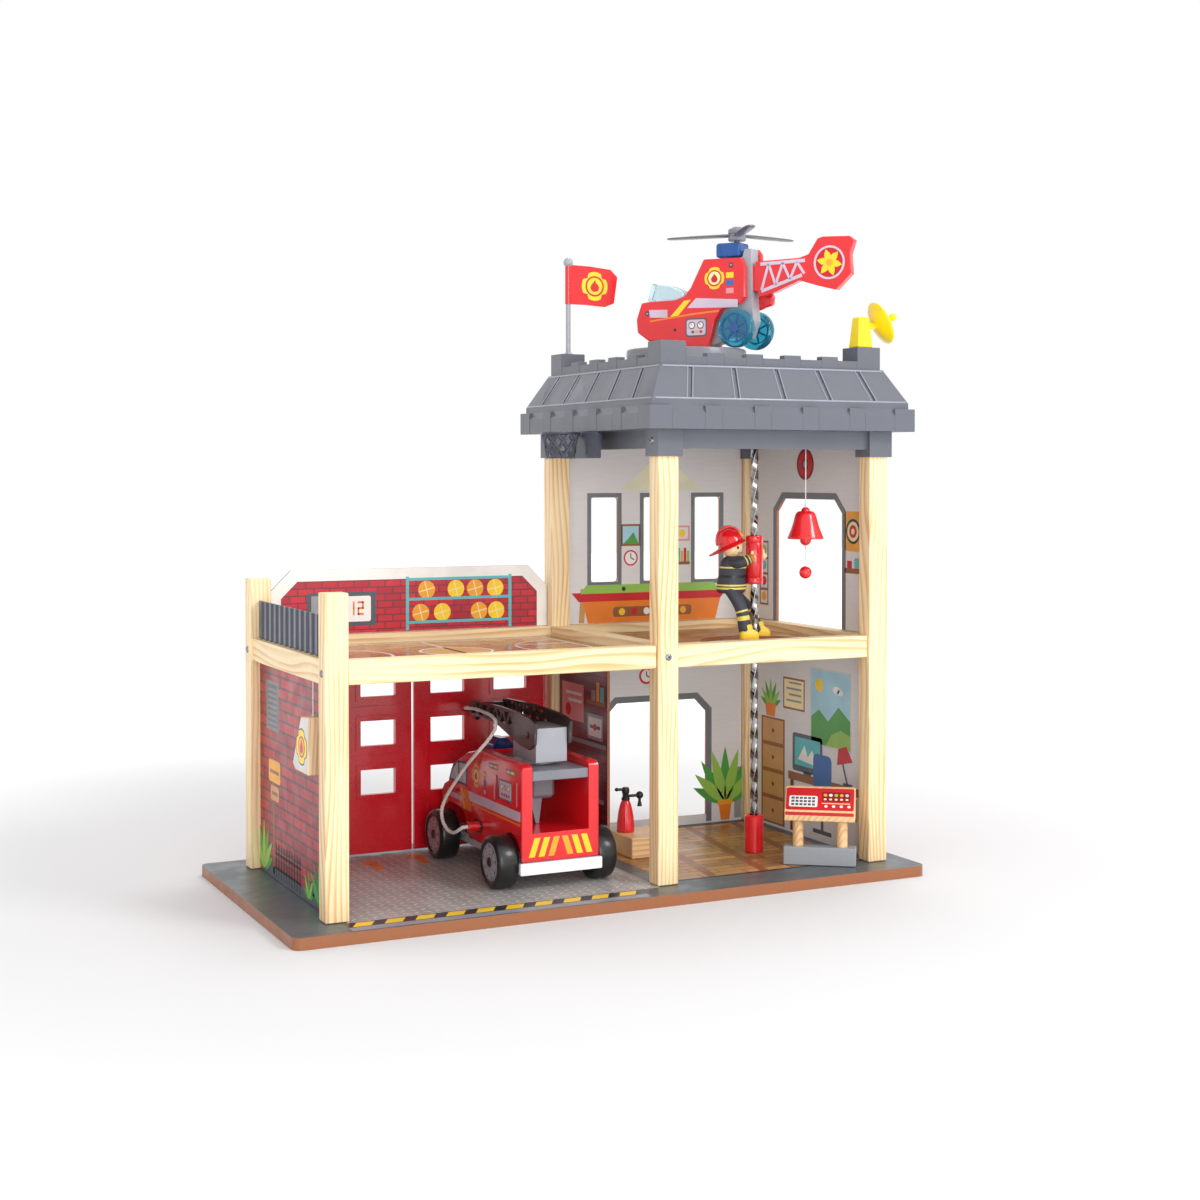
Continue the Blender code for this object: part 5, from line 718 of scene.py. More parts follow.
RUBBER = coating("tyre_black", (24, 24, 26), 0.75, rough=0.34, coat=0.25, peel=0.00004)
STEEL = coating("screw_steel", (150, 154, 162), 0.8, rough=0.28, metal=1.0)
CHROME = coating("pole_steel", (150, 148, 148), 0.75, rough=0.13, metal=1.0, peel=0.00001)
DESK_GREY = coating("desk_grey", (150, 153, 158), 0.88, rough=0.42)
BLUE_GLASS = coating("lamp_blue", (26, 60, 150), 0.8, rough=0.12, clear=0.25, coat=0.4)
LAMP_BLUE = coating("heli_lamp_blue", (24, 92, 176), 0.85, rough=0.1, clear=0.4, coat=0.4)
TEAL_GLASS = coating("wheel_teal", (60, 178, 208), 0.9, rough=0.08, clear=0.75)
WHEEL_BLUE = coating("wheel_blue", (36, 84, 150), 0.85, rough=0.2, coat=0.3)
CLEAR_BLUE = coating("canopy_clear", (206, 230, 238), 0.94, rough=0.05, clear=0.9)
BOOT_YELLOW = coating("boot_yellow", (246, 206, 40), 0.9, rough=0.34, coat=0.2)
COAT_CLOTH = coating("coat_slate", (62, 64, 76), 0.75, rough=0.6)
SKIN_WOOD = Pine("head_wood", Run.Z, srgb(252, 220, 178), srgb(232, 190, 140), 0.003)
BLOCK_WOOD = Pine("block_wood", Run.X, srgb(236, 196, 144), srgb(202, 152, 100), 0.0028)
TAG_WOOD = Pine("tag_wood", Run.Z, srgb(236, 214, 178), srgb(206, 168, 118), 0.003)
STRING = Weave("string_white", base=srgb(240, 238, 232), tint=srgb(205, 200, 190), pitch=0.0005)
ROPE = Weave("rope_white", base=srgb(250, 247, 242), tint=srgb(214, 202, 194), pitch=0.0007)


def mm(*rows: Sequence[float]) -> tuple[tuple[float, ...], ...]:
    """Rows of millimetres as rows of metres."""
    return tuple(tuple(value * MM for value in row) for row in rows)


def polar(x: float, y: float, radius: float, degrees: float) -> Point2:
    """Point at a distance and a turn from another."""
    return x + radius * math.cos(math.radians(degrees)), y + radius * math.sin(math.radians(degrees))


def seat(place: Sequence[float], degrees: float = 0.0, axis: str = "Z") -> Matrix:
    """Matrix that turns about an axis and then moves to a place."""
    return Matrix.Translation(place) @ Matrix.Rotation(math.radians(degrees), 4, axis)


def aimed(place: Sequence[float], axis: Sequence[float]) -> Matrix:
    """Matrix that brings Z to an axis at a place."""
    turn = Vector((0.0, 0.0, 1.0)).rotation_difference(Vector(axis))
    return Matrix.Translation(place) @ turn.to_matrix().to_4x4()


def directions(path: Sequence[Vector]) -> list[Vector]:
    """Unit direction of a path at each of its points."""
    last = len(path) - 1
    return [(path[min(i + 1, last)] - path[max(i - 1, 0)]).normalized() for i in range(last + 1)]


def rect(left: float, low: float, right: float, high: float) -> Outline:
    """Rectangle between two corners."""
    return ((left, low), (right, low), (right, high), (left, high))


def soft_rect(left: float, low: float, right: float, high: float, corner: float) -> Outline:
    """Rectangle with round corners.

    Args:
        left, low, right, high: its sides.
        corner: radius of its corners.

    Returns:
        The outline.
    """
    spots: list[Point2] = []
    for x, y, turn in ((right, high, 0), (left, high, 90), (left, low, 180), (right, low, 270)):
        inner_x = x - math.copysign(corner, x - (left + right) / 2)
        inner_y = y - math.copysign(corner, y - (low + high) / 2)
        spots += [polar(inner_x, inner_y, corner, turn + 22.5 * step) for step in range(5)]
    return spots


def disc(x: float, y: float, radius: float, tall: float = 1.0, steps: int = 28) -> Outline:
    """Circle, or an upright ellipse where tall isn't 1."""
    turns = [math.tau * step / steps for step in range(steps)]
    return [(x + radius * math.cos(turn), y + radius * tall * math.sin(turn)) for turn in turns]


def star(x: float, y: float, outer: float, inner: float, points: int) -> Outline:
    """Upright star with a number of points."""
    return [polar(x, y, (outer, inner)[step % 2], 90 + 180 * step / points) for step in range(points * 2)]


def cog(x: float, y: float, outer: float, inner: float) -> Outline:
    """Round badge with four shallow notches in its edge."""
    sizes = [inner if step % 8 in (0, 7) else outer for step in range(32)]
    return [polar(x, y, size, 11.25 * (step + 0.5) + 45) for step, size in enumerate(sizes)]


def slanted(left: float, low: float, width: float, height: float, shift: float) -> Outline:
    """Parallelogram whose top is shifted sideways."""
    return ((left, low), (left + width, low), (left + width + shift, low + height),
            (left + shift, low + height))


def leaf(x: float, y: float, length: float, width: float, turn: float) -> Outline:
    """Pointed leaf.

    Args:
        x, y: its stem.
        length, width: its size.
        turn: the way it points, in degrees.

    Returns:
        The outline.
    """
    spots = []
    for side in (1, -1):
        for step in range(8):
            share = step / 8 if side > 0 else 1 - step / 8
            across = side * width / 2 * math.sin(math.pi * share ** 0.8)
            spots.append(polar(*polar(x, y, length * share, turn), across, turn + 90))
    return spots


def bar(x0: float, y0: float, x1: float, y1: float, width: float) -> Outline:
    """Straight bar.

    Args:
        x0, y0, x1, y1: its two ends.
        width: its width.

    Returns:
        The outline.
    """
    length = math.hypot(x1 - x0, y1 - y0)
    dx, dy = -(y1 - y0) / length * width / 2, (x1 - x0) / length * width / 2
    return ((x0 + dx, y0 + dy), (x0 - dx, y0 - dy), (x1 - dx, y1 - dy), (x1 + dx, y1 + dy))


def arc(x: float, y: float, radius: float, width: float, start: float, stop: float, steps: int) -> Outline:
    """Band along an arc.

    Args:
        x, y: the arc's middle.
        radius: the band's outer radius.
        width: the band's width.
        start, stop: its two ends in degrees.
        steps: parts that it is drawn in.

    Returns:
        The outline.
    """
    turns = [start + (stop - start) * step / steps for step in range(steps + 1)]
    outer = [polar(x, y, radius, turn) for turn in turns]
    return outer + [polar(x, y, radius - width, turn) for turn in turns[::-1]]


def flame(x: float, y: float, size: float) -> Outline:
    """Drop with a bent tip.

    Args:
        x, y: its middle.
        size: its height.

    Returns:
        The outline.
    """
    shares = ((0.0, -0.5), (0.34, -0.38), (0.42, -0.08), (0.28, 0.16), (0.1, 0.3), (0.06, 0.56), (-0.16, 0.3),
              (-0.34, 0.1), (-0.42, -0.14), (-0.3, -0.4))
    return [(x + across * size, y + up * size) for across, up in shares]


def chamfered(left: float, low: float, right: float, high: float, cut: float) -> Outline:
    """Rectangle with its two upper corners cut off."""
    return ((left, low), (right, low), (right, high - cut), (right - cut, high), (left + cut, high),
            (left, high - cut))


def stub(radius: float, height: float, cut: float = 0.0, drop: float = 0.0) -> Outline:
    """Profile of a turned stud whose upper edge is cut back and down."""
    rim = ((radius, height - drop), (radius - cut, height)) if cut else ((radius, height),)
    return ((0.0, 0.0), (radius, 0.0), *rim, (0.0, height))


@dataclass(frozen=True)
class Face:
    """A flat face that prints lie on: a point of it, its two directions and the way it looks."""

    origin: Vector
    across: Vector
    up: Vector
    out: Vector

    @classmethod
    def on(cls, side: Side, level: float, right: float = 0.0, rise: float = 0.0) -> Face:
        """A face square to one axis.

        Args:
            side: the way it looks.
            level: where it is on that axis.
            right, rise: where its zero is along its two directions.

        Returns:
            The face.
        """
        axis, way = side.value
        axes = [Vector((1.0, 0.0, 0.0)), Vector((0.0, 1.0, 0.0)), Vector((0.0, 0.0, 1.0))]
        across, up = [axes[index] for index in range(3) if index != axis]
        return cls(axes[axis] * level + across * right + up * rise, across, up, axes[axis] * way)

    def moved(self, matrix: Matrix) -> Face:
        """The same face carried by a matrix."""
        turn = matrix.to_3x3()
        return Face(matrix @ self.origin, turn @ self.across, turn @ self.up, turn @ self.out)


@dataclass(frozen=True)
class Mark:
    """One print: an outline in millimetres, its ink and its layer."""

    outline: Outline
    ink: Ink
    layer: int = 0


def box(left: float, low: float, right: float, high: float, ink: Ink, layer: int = 0) -> Mark:
    """Print of a rectangle."""
    return Mark(rect(left, low, right, high), ink, layer)


def soft(left: float, low: float, right: float, high: float, corner: float, ink: Ink, layer: int = 0) -> Mark:
    """Print of a rectangle with round corners."""
    return Mark(soft_rect(left, low, right, high, corner), ink, layer)


def dot(x: float, y: float, radius: float, ink: Ink, layer: int = 0, steps: int = 28) -> Mark:
    """Print of a disc."""
    return Mark(disc(x, y, radius, steps=steps), ink, layer)


def put(name: str, data: bpy.types.ID) -> bpy.types.Object:
    """New object in the scene, at the origin.

    Args:
        name: the object's name.
        data: its mesh, light or camera.

    Returns:
        The object.
    """
    made = bpy.data.objects.new(name, data)
    bpy.context.scene.collection.objects.link(made)
    return made


def soften(piece: bpy.types.Object, width: float, segments: int = 2) -> None:
    """Round a piece's sharp edges with modifiers.

    Args:
        piece: the piece.
        width: width of the rounding.
        segments: facets across it.
    """
    weld = piece.modifiers.new("weld", "WELD")
    weld.merge_threshold = 0.00001
    round_off = piece.modifiers.new("rounding", "BEVEL")
    round_off.width = width
    round_off.segments = segments
    round_off.limit_method = "ANGLE"
    round_off.angle_limit = math.radians(32.0)
    round_off.harden_normals = True


class Shape:
    """Mesh under construction, with a finish for each of its faces."""

    SINK = 0.00003
    LAYER = 0.00006

    def __init__(self) -> None:
        """Start with no faces and no finishes."""
        self.bm = bmesh.new()
        self.finishes: list[Finish] = []

    def slot(self, finish: Finish) -> int:
        """Index of a finish among this shape's materials.

        Args:
            finish: the finish.

        Returns:
            The index.
        """
        if finish not in self.finishes:
            self.finishes.append(finish)
        return self.finishes.index(finish)

    def band(self, first: int, last: int, finish: Finish) -> None:
        """Give the faces from one index to before another a finish.

        Args:
            first: index of the first face.
            last: index after the last face.
            finish: their finish.
        """
        self.bm.faces.ensure_lookup_table()
        for index in range(first, last):
            self.bm.faces[index].material_index = self.slot(finish)

    def solid(self, rings: Sequence[Sequence[Vector]], finish: Finish, closed: bool = False) -> int:
        """Skin between closed rows of points.

        Args:
            rings: rows of points, a row of one point being a tip.
            finish: the finish of the faces.
            closed: the last ring joins the first, as in a tube with a bore.

        Returns:
            Index of its first face.
        """
        index, start = self.slot(finish), len(self.bm.faces)
        rows = [[self.bm.verts.new(spot) for spot in ring] for ring in rings]
        for first, second in list(zip(rows, rows[1:])) + ([(rows[-1], rows[0])] if closed else []):
            count = max(len(first), len(second))
            for step in range(count):
                after = (step + 1) % count
                loop = [first[step % len(first)], first[after % len(first)]]
                loop += [second[after % len(second)], second[step % len(second)]]
                loop = list(dict.fromkeys(loop))
                if len(loop) > 2:
                    self.bm.faces.new(loop).material_index = index
        for row in () if closed else (rows[0], rows[-1]):
            if len(row) > 2:
                self.bm.faces.new(row).material_index = index
        return start

    def slab(self, outline: Outline, levels: Sequence[float], finish: Finish,
             matrix: Matrix = Matrix()) -> None:
        """Outline between levels of Z, carried by a matrix."""
        self.solid([[matrix @ Vector((x, y, z)) for x, y in outline] for z in levels], finish)

    def box(self, low: Sequence[float], high: Sequence[float], finish: Finish,
            matrix: Matrix = Matrix()) -> None:
        """Block between two corners, carried by a matrix."""
        self.slab(rect(low[0], low[1], high[0], high[1]), (low[2], high[2]), finish, matrix)

    def prism(self, outline: Outline, plane: str, levels: Sequence[float], finish: Finish) -> None:
        """Outline in the XZ or YZ plane, made solid along the third axis.

        Args:
            outline: the outline in metres.
            plane: the plane that it lies in.
            levels: where it starts and stops on the third axis.
            finish: its finish.
        """
        order = [plane.find(axis) for axis in "XYZ"]
        rings = [[Vector([(u, v, w)[index] for index in order]) for u, v in outline] for w in levels]
        self.solid(rings, finish)

    def plate(self, face: Face, outline: Outline, layer: int, finish: Finish) -> None:
        """Thin print.

        Args:
            face: the face that it lies on.
            outline: its outline in millimetres.
            layer: higher layers stand a hair prouder.
            finish: its finish.
        """
        rings = []
        for lift in (-self.SINK, self.LAYER * (layer + 1)):
            foot = face.origin + face.out * lift
            rings.append([foot + face.across * u * MM + face.up * v * MM for u, v in outline])
        self.solid(rings, finish)

    def prints(self, face: Face, marks: Iterable[Mark]) -> None:
        """Marks on a face."""
        for mark in marks:
            self.plate(face, mark.outline, mark.layer, mark.ink.finish())

    def lathe(
        self, profile: Outline, foot: Sequence[float], finish: Finish,
        axis: Sequence[float] = (0.0, 0.0, 1.0),
        steps: int = 48, closed: bool = False, matrix: Matrix = Matrix(),
    ) -> None:
        """Turned shape.

        Args:
            profile: radius and height of each ring.
            foot: where height zero is.
            finish: the finish of the faces.
            axis: direction that height runs in.
            steps: sides of the turning.
            closed: the profile is a loop, as in a ring.
            matrix: carries the whole shape.
        """
        carry = matrix @ aimed(foot, axis)
        rings = []
        for radius, height in profile:
            row = disc(0.0, 0.0, radius, steps=steps) if radius > 1e-7 else ((0.0, 0.0),)
            rings.append([carry @ Vector((x, y, height)) for x, y in row])
        self.solid(rings, finish, closed)

    def tube(self, points: Path, radius: float, finish: Finish, sides: int = 14, matrix: Matrix = Matrix(),
             bands: Sequence[tuple[float, float, Finish]] = (), ends: bool = True) -> None:
        """Round tube along points.

        Args:
            points: the centreline.
            radius: the tube's radius.
            finish: the finish of the tube.
            sides: sides of its section.
            matrix: carries the whole tube.
            bands: start share, stop share and finish of bands round it.
            ends: round the ends off.
        """
        spots = [matrix @ Vector(point) for point in points]
        along = directions(spots)
        side = along[0].orthogonal().normalized()
        rings = []
        for spot, way in zip(spots, along):
            side = (side - way * side.dot(way)).normalized()
            other = way.cross(side)
            rings.append([spot + (side * x + other * y) for x, y in disc(0.0, 0.0, radius, steps=sides)])
        for index, sign in ((0, -1.0), (-1, 1.0)) if ends else ():
            middle, way = spots[index], along[index]
            caps = []
            for share in (0.35, 0.7, 0.92):
                shrink = math.sqrt(1.0 - share * share)
                push = way * sign * radius * share
                caps.append([middle + (spot - middle) * shrink + push for spot in rings[index]])
            rings = rings + caps if index else caps[::-1] + rings
        first = self.solid(rings, finish)
        count = len(rings) - 1
        for start, stop, band in bands:
            for row in range(count):
                if start <= (row + 0.5) / count < stop:
                    self.band(first + row * sides, first + (row + 1) * sides, band)

    def ball(self, centre: Sequence[float], radius: float, finish: Finish, stretch: Point3 = (1.0, 1.0, 1.0),
             matrix: Matrix = Matrix(), steps: int = 32) -> None:
        """Ball or ellipsoid.

        Args:
            centre: its middle.
            radius: its radius.
            finish: its finish.
            stretch: factors along the three axes.
            matrix: carries it.
            steps: sides of its turning.
        """
        scale = Matrix.Diagonal((*(radius * part for part in stretch), 1.0))
        middle = [(math.sin(math.pi * step / 16), -math.cos(math.pi * step / 16)) for step in range(1, 16)]
        profile = [(0.0, -1.0), *middle, (0.0, 1.0)]
        self.lathe(profile, (0.0, 0.0, 0.0), finish, steps=steps,
                   matrix=matrix @ Matrix.Translation(centre) @ scale)

    def keep(self, name: str, body: str, replaces: Sequence[str] = (), bevel: float = 0.0,
             smooth: float = 40.0) -> bpy.types.Object:
        """Finish the mesh as a piece that rides on a body.

        Args:
            name: the piece's name.
            body: the body it moves with.
            replaces: CAD nodes that it stands for.
            bevel: width of a rounding on its sharp edges.
            smooth: edges under this many degrees are shaded round.

        Returns:
            The piece.
        """
        bmesh.ops.recalc_face_normals(self.bm, faces=self.bm.faces)
        mesh = bpy.data.meshes.new(name)
        self.bm.to_mesh(mesh)
        self.bm.free()
        mesh.shade_smooth()
        mesh.set_sharp_from_angle(angle=math.radians(smooth))
        for finish in self.finishes:
            mesh.materials.append(finish.material())
        piece = put(name, mesh)
        if bevel:
            soften(piece, bevel)
        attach(piece, body)
        if replaces:
            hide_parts(*replaces)
        LOG.info("built %s on %s", name, body)
        return piece


def dress_node(name: str, finish: Finish, bevel: float = 0.0, segments: int = 2) -> None:
    """Dress a CAD node.

    Args:
        name: the node.
        finish: its finish.
        bevel: width of a rounding on its edges.
        segments: facets across the rounding.
    """
    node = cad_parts[name]
    for holder in node.material_slots:
        holder.material = finish.material()
    if bevel:
        soften(node, bevel, segments)
    LOG.info("dressed %s", name)


def smooth_path(points: Path, steps: int) -> list[Vector]:
    """Smooth curve.

    Args:
        points: way points that it passes.
        steps: points for each stretch between two of them.

    Returns:
        The curve's points.
    """
    spots = [Vector(point) for point in points]
    padded = [2 * spots[0] - spots[1], *spots, 2 * spots[-1] - spots[-2]]
    path = []
    for before, here, after, beyond in zip(padded, padded[1:], padded[2:], padded[3:]):
        bend = 2 * before - 5 * here + 4 * after - beyond
        twist = 3 * here - before - 3 * after + beyond
        for step in range(steps):
            t = step / steps
            path.append((2 * here + (after - before) * t + bend * t * t + twist * t * t * t) / 2)
    return [*path, spots[-1]]


def print_marks(name: str, body: str, face: Face, marks: Iterable[Mark]) -> None:
    """Print all the marks of one face as one piece.

    Args:
        name: the piece's name.
        body: the body it moves with.
        face: the face that it lies on.
        marks: the prints.
    """
    shape = Shape()
    shape.prints(face, marks)
    shape.keep(name, body)


@dataclass
class Studio:
    """Floor, light and the camera at the photograph's angle."""

    camera_place: Point3 = (-0.70026, -1.50402, 0.37195)
    yaw: float = 26.16
    pitch: float = -1.08
    focal: float = 1802.53 / 1200.0
    shift: float = -0.0779
    sensor: float = 36.0
    floor_half: float = 6.0
    lamps: tuple = (
        ("key", (1.2, -1.9, 1.7), (0.0, 0.0, 0.2), 0.8, 26.0),
        ("front", (-0.5, -2.3, 0.5), (0.0, 0.0, 0.15), 1.2, 20.0),
        ("top", (0.6, 0.5, 2.3), (0.1, 0.0, 0.3), 0.8, 9.0),
    )

    def camera(self) -> None:
        """Make the scene's camera."""
        data = bpy.data.cameras.new("camera")
        data.sensor_width = self.sensor
        data.lens = self.focal * self.sensor
        data.shift_y = self.shift
        data.clip_end = 60.0
        camera = put("camera", data)
        camera.location = self.camera_place
        camera.rotation_euler = (math.radians(90.0 + self.pitch), 0.0, math.radians(-self.yaw))
        bpy.context.scene.camera = camera

    def floor(self) -> None:
        """Pale floor under the object, with painted shade near it and a painted glow farther out."""
        reach = self.floor_half
        mesh = bpy.data.meshes.new("floor")
        mesh.from_pydata([(x, y, 0.0) for x, y in rect(-reach, -reach, reach, reach)], [], [(0, 1, 2, 3)])
        mesh.materials.append(Paper("floor_painted_shade_and_glow").material())
        put("floor", mesh)

    def light(self) -> None:
        """White surround, a key from the upper right front and soft fills."""
        world = bpy.data.worlds.new("studio")
        world.use_nodes = True
        surround = world.node_tree.nodes["Background"]
        surround.inputs[0].default_value = (1.0, 1.0, 1.0, 1.0)
        surround.inputs[1].default_value = 1.0
        bpy.context.scene.world = world
        bpy.context.scene.view_settings.view_transform = "Standard"
        for name, place, aim, size, power in self.lamps:
            data = bpy.data.lights.new(name, "AREA")
            data.size = size
            data.energy = power
            lamp = put(name, data)
            lamp.location = place
            lamp.rotation_euler = (Vector(aim) - Vector(place)).to_track_quat("-Z", "Y").to_euler()

    def build(self) -> None:
        """Make the whole studio."""
        self.camera()
        self.floor()
        self.light()


@dataclass
class RopeHose:
    """The white rope that stands for the engine's hose, from the nozzle to its coupling."""

    middle_x: float = -0.0419
    radius: float = 0.0017
    reach: float = 0.000731
    lay: float = 0.011
    strands: int = 3
    run: Path = mm(
        (-20.8, 76, 150), (-22.6, 76, 150), (-25.2, 73.5, 150.3), (-25.2, 68, 150.8), (-23.2, 60, 151.2),
        (-22.2, 48, 151.3), (-22.1, 36, 150.9), (-22.3, 24, 150.3), (-23, 12, 149.2), (-24.1, 3, 147),
        (-25.4, -1.5, 143.2), (-26.7, -2.5, 139.5), (-28.1, -0.8, 136.2),
    )
    drop: Path = mm(
        (-28.4, -0.3, 135.4), (-30.4, 1.2, 131.5), (-34.3, 2.2, 126.5), (-39.6, 4.2, 120.3),
        (-42.2, 15.3, 111.2),
        (-44.4, 28.3, 100.6), (-46.9, 41.4, 88.2), (-49.3, 52.6, 77), (-51.5, 60.4, 66.1),
        (-53.9, 60.5, 57.8),
        (-55.6, 54.7, 51.3), (-56, 48.2, 46.9), (-55.8, 41.3, 43.9), (-55.5, 33.2, 42.8), (-55.4, 25.5, 43.7),
        (-55.4, 18.5, 46), (-54.5, 13.7, 48.6), (-52.4, 11.7, 50.3), (-50.1, 11.5, 50.5), (-47.8, 11.5, 50.5),
    )

    def stretch(self, name: str, points: Path, body: str) -> None:
        """Lay one declared stretch of rope.

        Args:
            name: its CAD node, which its own name starts with.
            points: way points with X from the engine's middle.
            body: the body it moves with.
        """
        path = smooth_path([(self.middle_x + x, y, z) for x, y, z in points], 12)
        lengths = [0.0]
        for before, after in zip(path, path[1:]):
            lengths.append(lengths[-1] + (after - before).length)
        ways = directions(path)
        shape = Shape()
        for strand in range(self.strands):
            side = ways[0].orthogonal().normalized()
            line = []
            for spot, way, gone in zip(path, ways, lengths):
                side = (side - way * side.dot(way)).normalized()
                turn = math.tau * (gone / self.lay + strand / self.strands)
                line.append(spot + (side * math.cos(turn) + way.cross(side) * math.sin(turn)) * self.reach)
            shape.tube(line, self.radius - self.reach, ROPE, sides=8, ends=False)
        piece = shape.keep(name + "_rope", body, (name,))

    def build(self) -> None:
        """Both stretches: along the ladder, and from it down to the coupling."""
        self.stretch("hose_run", self.run, "ladder")
        self.stretch("hose_drop", self.drop, "truck")


def frame_marks(left: float, low: float, right: float, high: float, width: float, ink: Ink) -> list[Mark]:
    """Four bars round a rectangle.

    Args:
        left, low, right, high: the rectangle.
        width: width of the bars.
        ink: their ink.

    Returns:
        The bars.
    """
    return [
        box(left - width, low - width, right + width, low, ink),
        box(left - width, high, right + width, high + width, ink),
        box(left - width, low, left, high, ink), box(right, low, right + width, high, ink),
    ]


def doorway_marks(left: float, low: float, right: float, high: float, cut: float = 13,
                  width: float = 6.4) -> list[Mark]:
    """Bars round a doorway whose upper corners are cut off.

    Args:
        left, low, right, high: the doorway.
        cut: size of its cut corners.
        width: width of the bars.

    Returns:
        The bars.
    """
    out = width * 0.41
    outer = ((left - width, low), (left - width, high - cut + out), (left + cut - out, high + width),
             (right - cut + out, high + width), (right + width, high - cut + out), (right + width, low))
    inner = ((left, low), (left, high - cut), (left + cut, high), (right - cut, high), (right, high - cut),
             (right, low))
    return [Mark((outer[i], outer[i + 1], inner[i + 1], inner[i]), Ink.STONE) for i in range(5)]


def plant_marks(x: float, foot: float, height: float, leaves: int, ink: Ink, layer: int) -> list[Mark]:
    """Plant of pointed leaves in two greens.

    Args:
        x, foot: where it stands.
        height: its height.
        leaves: how many leaves it has.
        ink: every second leaf's ink.
        layer: the lower of its two layers.

    Returns:
        The leaves.
    """
    marks = []
    for index in range(leaves):
        share = index / (leaves - 1)
        length = height * (0.72 + 0.28 * math.sin(math.pi * share))
        tone = (ink, Ink.LIME if ink is Ink.GREEN else Ink.GREEN)[index % 2]
        marks.append(Mark(leaf(x, foot, length, height * 0.2, 155 - 130 * share), tone, layer + index % 2))
    return marks


def clock_marks(x: float, y: float, rim: float, dial: float, hands: Outline) -> list[Mark]:
    """Red-rimmed clock whose hands reach two points."""
    return [dot(x, y, rim, Ink.RED), dot(x, y, dial, Ink.WHITE, 1),
            *[Mark(bar(x, y, *tip, 1.1), Ink.DARK, 2) for tip in hands]]


def gauge_marks(x: float, y: float, rim: float, dial: float, ink: Ink, layer: int) -> list[Mark]:
    """Dark-rimmed gauge or lamp."""
    return [dot(x, y, rim, Ink.DARK, layer, 20), dot(x, y, dial, ink, layer + 1, 20)]


def badge_marks(x: float, y: float, sizes: Sequence[float], inks: Sequence[Ink], layer: int = 0,
                steps: int = 32) -> list[Mark]:
    """Notched badge with a flame.

    Args:
        x, y: its middle.
        sizes: radii of the badge, its notches and its two discs, and the flame's size.
        inks: inks of the badge, the two discs and the flame.
        layer: the badge's layer.
        steps: sides of the discs.

    Returns:
        The badge's four marks.
    """
    outer, notch, wide, small, tall = sizes
    outlines = (cog(x, y, outer, notch), disc(x, y, wide, steps=steps), disc(x, y, small, steps=steps),
                flame(x, y, tall))
    return [Mark(outline, ink, layer + index) for index, (outline, ink) in enumerate(zip(outlines, inks))]


@dataclass
class Baseplate:
    """Printed board that everything stands on."""

    top: float = 0.01
    strip: tuple[float, ...] = (-251.0, -136.5, 12.0, -121.5)
    bar_pitch: float = 26.4
    bar_width: float = 15.5
    bar_shift: float = 7.0
    bars: int = 10

    def build(self) -> None:
        """Slate board with the garage's plate floor, its hazard strip, arrows and the hall's parquet."""
        dress_node("base_board", Board("base_print", face=SLATE_SHEET), 0.0006)
        face = Face.on(Side.TOP, self.top)
        floors = Shape()
        floors.plate(face, rect(-247, -121, 38, 111), 0, Board("tread_print", face=TREAD_PLATE))
        floors.plate(face, rect(56, -104, 259, 104), 0, Board("parquet_print", face=PARQUET))
        floors.keep("floor_prints", "station")
        left, low, right, high = self.strip
        marks = [box(left, low, right, high, Ink.DARK), box(left, -147, right + 4, low, Ink.GREY)]
        for index in range(self.bars):
            start = left + 4.0 + index * self.bar_pitch
            stripe = slanted(start, low + 1.5, self.bar_width, high - low - 3.0, self.bar_shift)
            marks.append(Mark(stripe, Ink.YELLOW, 1))
        for x, y in ((-157, 52), (-110, 62)):
            marks.append(box(x - 4, y, x + 4, y + 26, Ink.ORANGE, 1))
            marks.append(Mark(((x - 11, y + 24), (x + 11, y + 24), (x, y + 44)), Ink.ORANGE, 1))
        marks += [Mark(slanted(x, -104, 9, 208, 34), Ink.BROWN, 1) for x in (96, 150, 204)]
        marks += [box(56, y, 259, y + 3, Ink.BLACK, 1) for y in (-107, 104)]
        print_marks("base_marks", "station", face, marks)


@dataclass
class Timber:
    """Pine end frames and long rails, with the screws in their outer faces."""

    frames: tuple[str, ...] = ("garage_end_frame", "middle_frame", "tower_end_frame")
    rails: tuple[str, ...] = ("garage_rail_front", "garage_rail_back", "tower_rail_front", "tower_rail_back")
    rounding: float = 0.0009
    head_radius: float = 0.0031
    head_height: float = 0.0012
    end_screws: tuple = ((-0.26445, 0.2105, -1), (0.27805, 0.2105, 1), (0.0347, 0.4, -1), (0.2803, 0.4, 1))
    end_lines: Point2 = (-0.11, 0.1139)
    middle_screws: tuple = (((0.047, -0.1188, 0.2105), (0, -1, 0)), ((0.047, 0.1227, 0.2105), (0, 1, 0)))

    def build(self) -> None:
        """Dress the timber and drive the screws, with painted shade in their slots."""
        for name in self.frames:
            dress_node(name, Pine("pine_" + name, Run.POSTS_AND_RAIL), self.rounding)
        for index, name in enumerate(self.rails):
            dress_node(name, Pine("pine_" + name, pitch=0.0034 + 0.0003 * index), self.rounding)
        shape = Shape()
        tall, wide = self.head_height, self.head_radius
        profile = ((0.0, -0.0004), (wide, -0.0004), (wide, tall * 0.25), (wide * 0.86, tall * 0.75),
                   (wide * 0.5, tall), (0.0, tall))
        screws = [((x, y, z), (way, 0, 0)) for x, z, way in self.end_screws for y in self.end_lines]
        for place, way in (*screws, *self.middle_screws):
            shape.lathe(profile, place, STEEL, axis=way, steps=28)
            # The black crossed bars stand for each head's slot: painted shade in the recess, not a black
            # part.
            for angle in (0.3, 0.3 + math.pi / 2):
                spin = aimed(place, way) @ Matrix.Rotation(angle, 4, "Z")
                shape.box((-wide * 0.55, -0.0003, tall * 0.6), (wide * 0.55, 0.0003, tall + 0.00005), JET,
                          spin)
        shape.keep("screw_heads", "station")


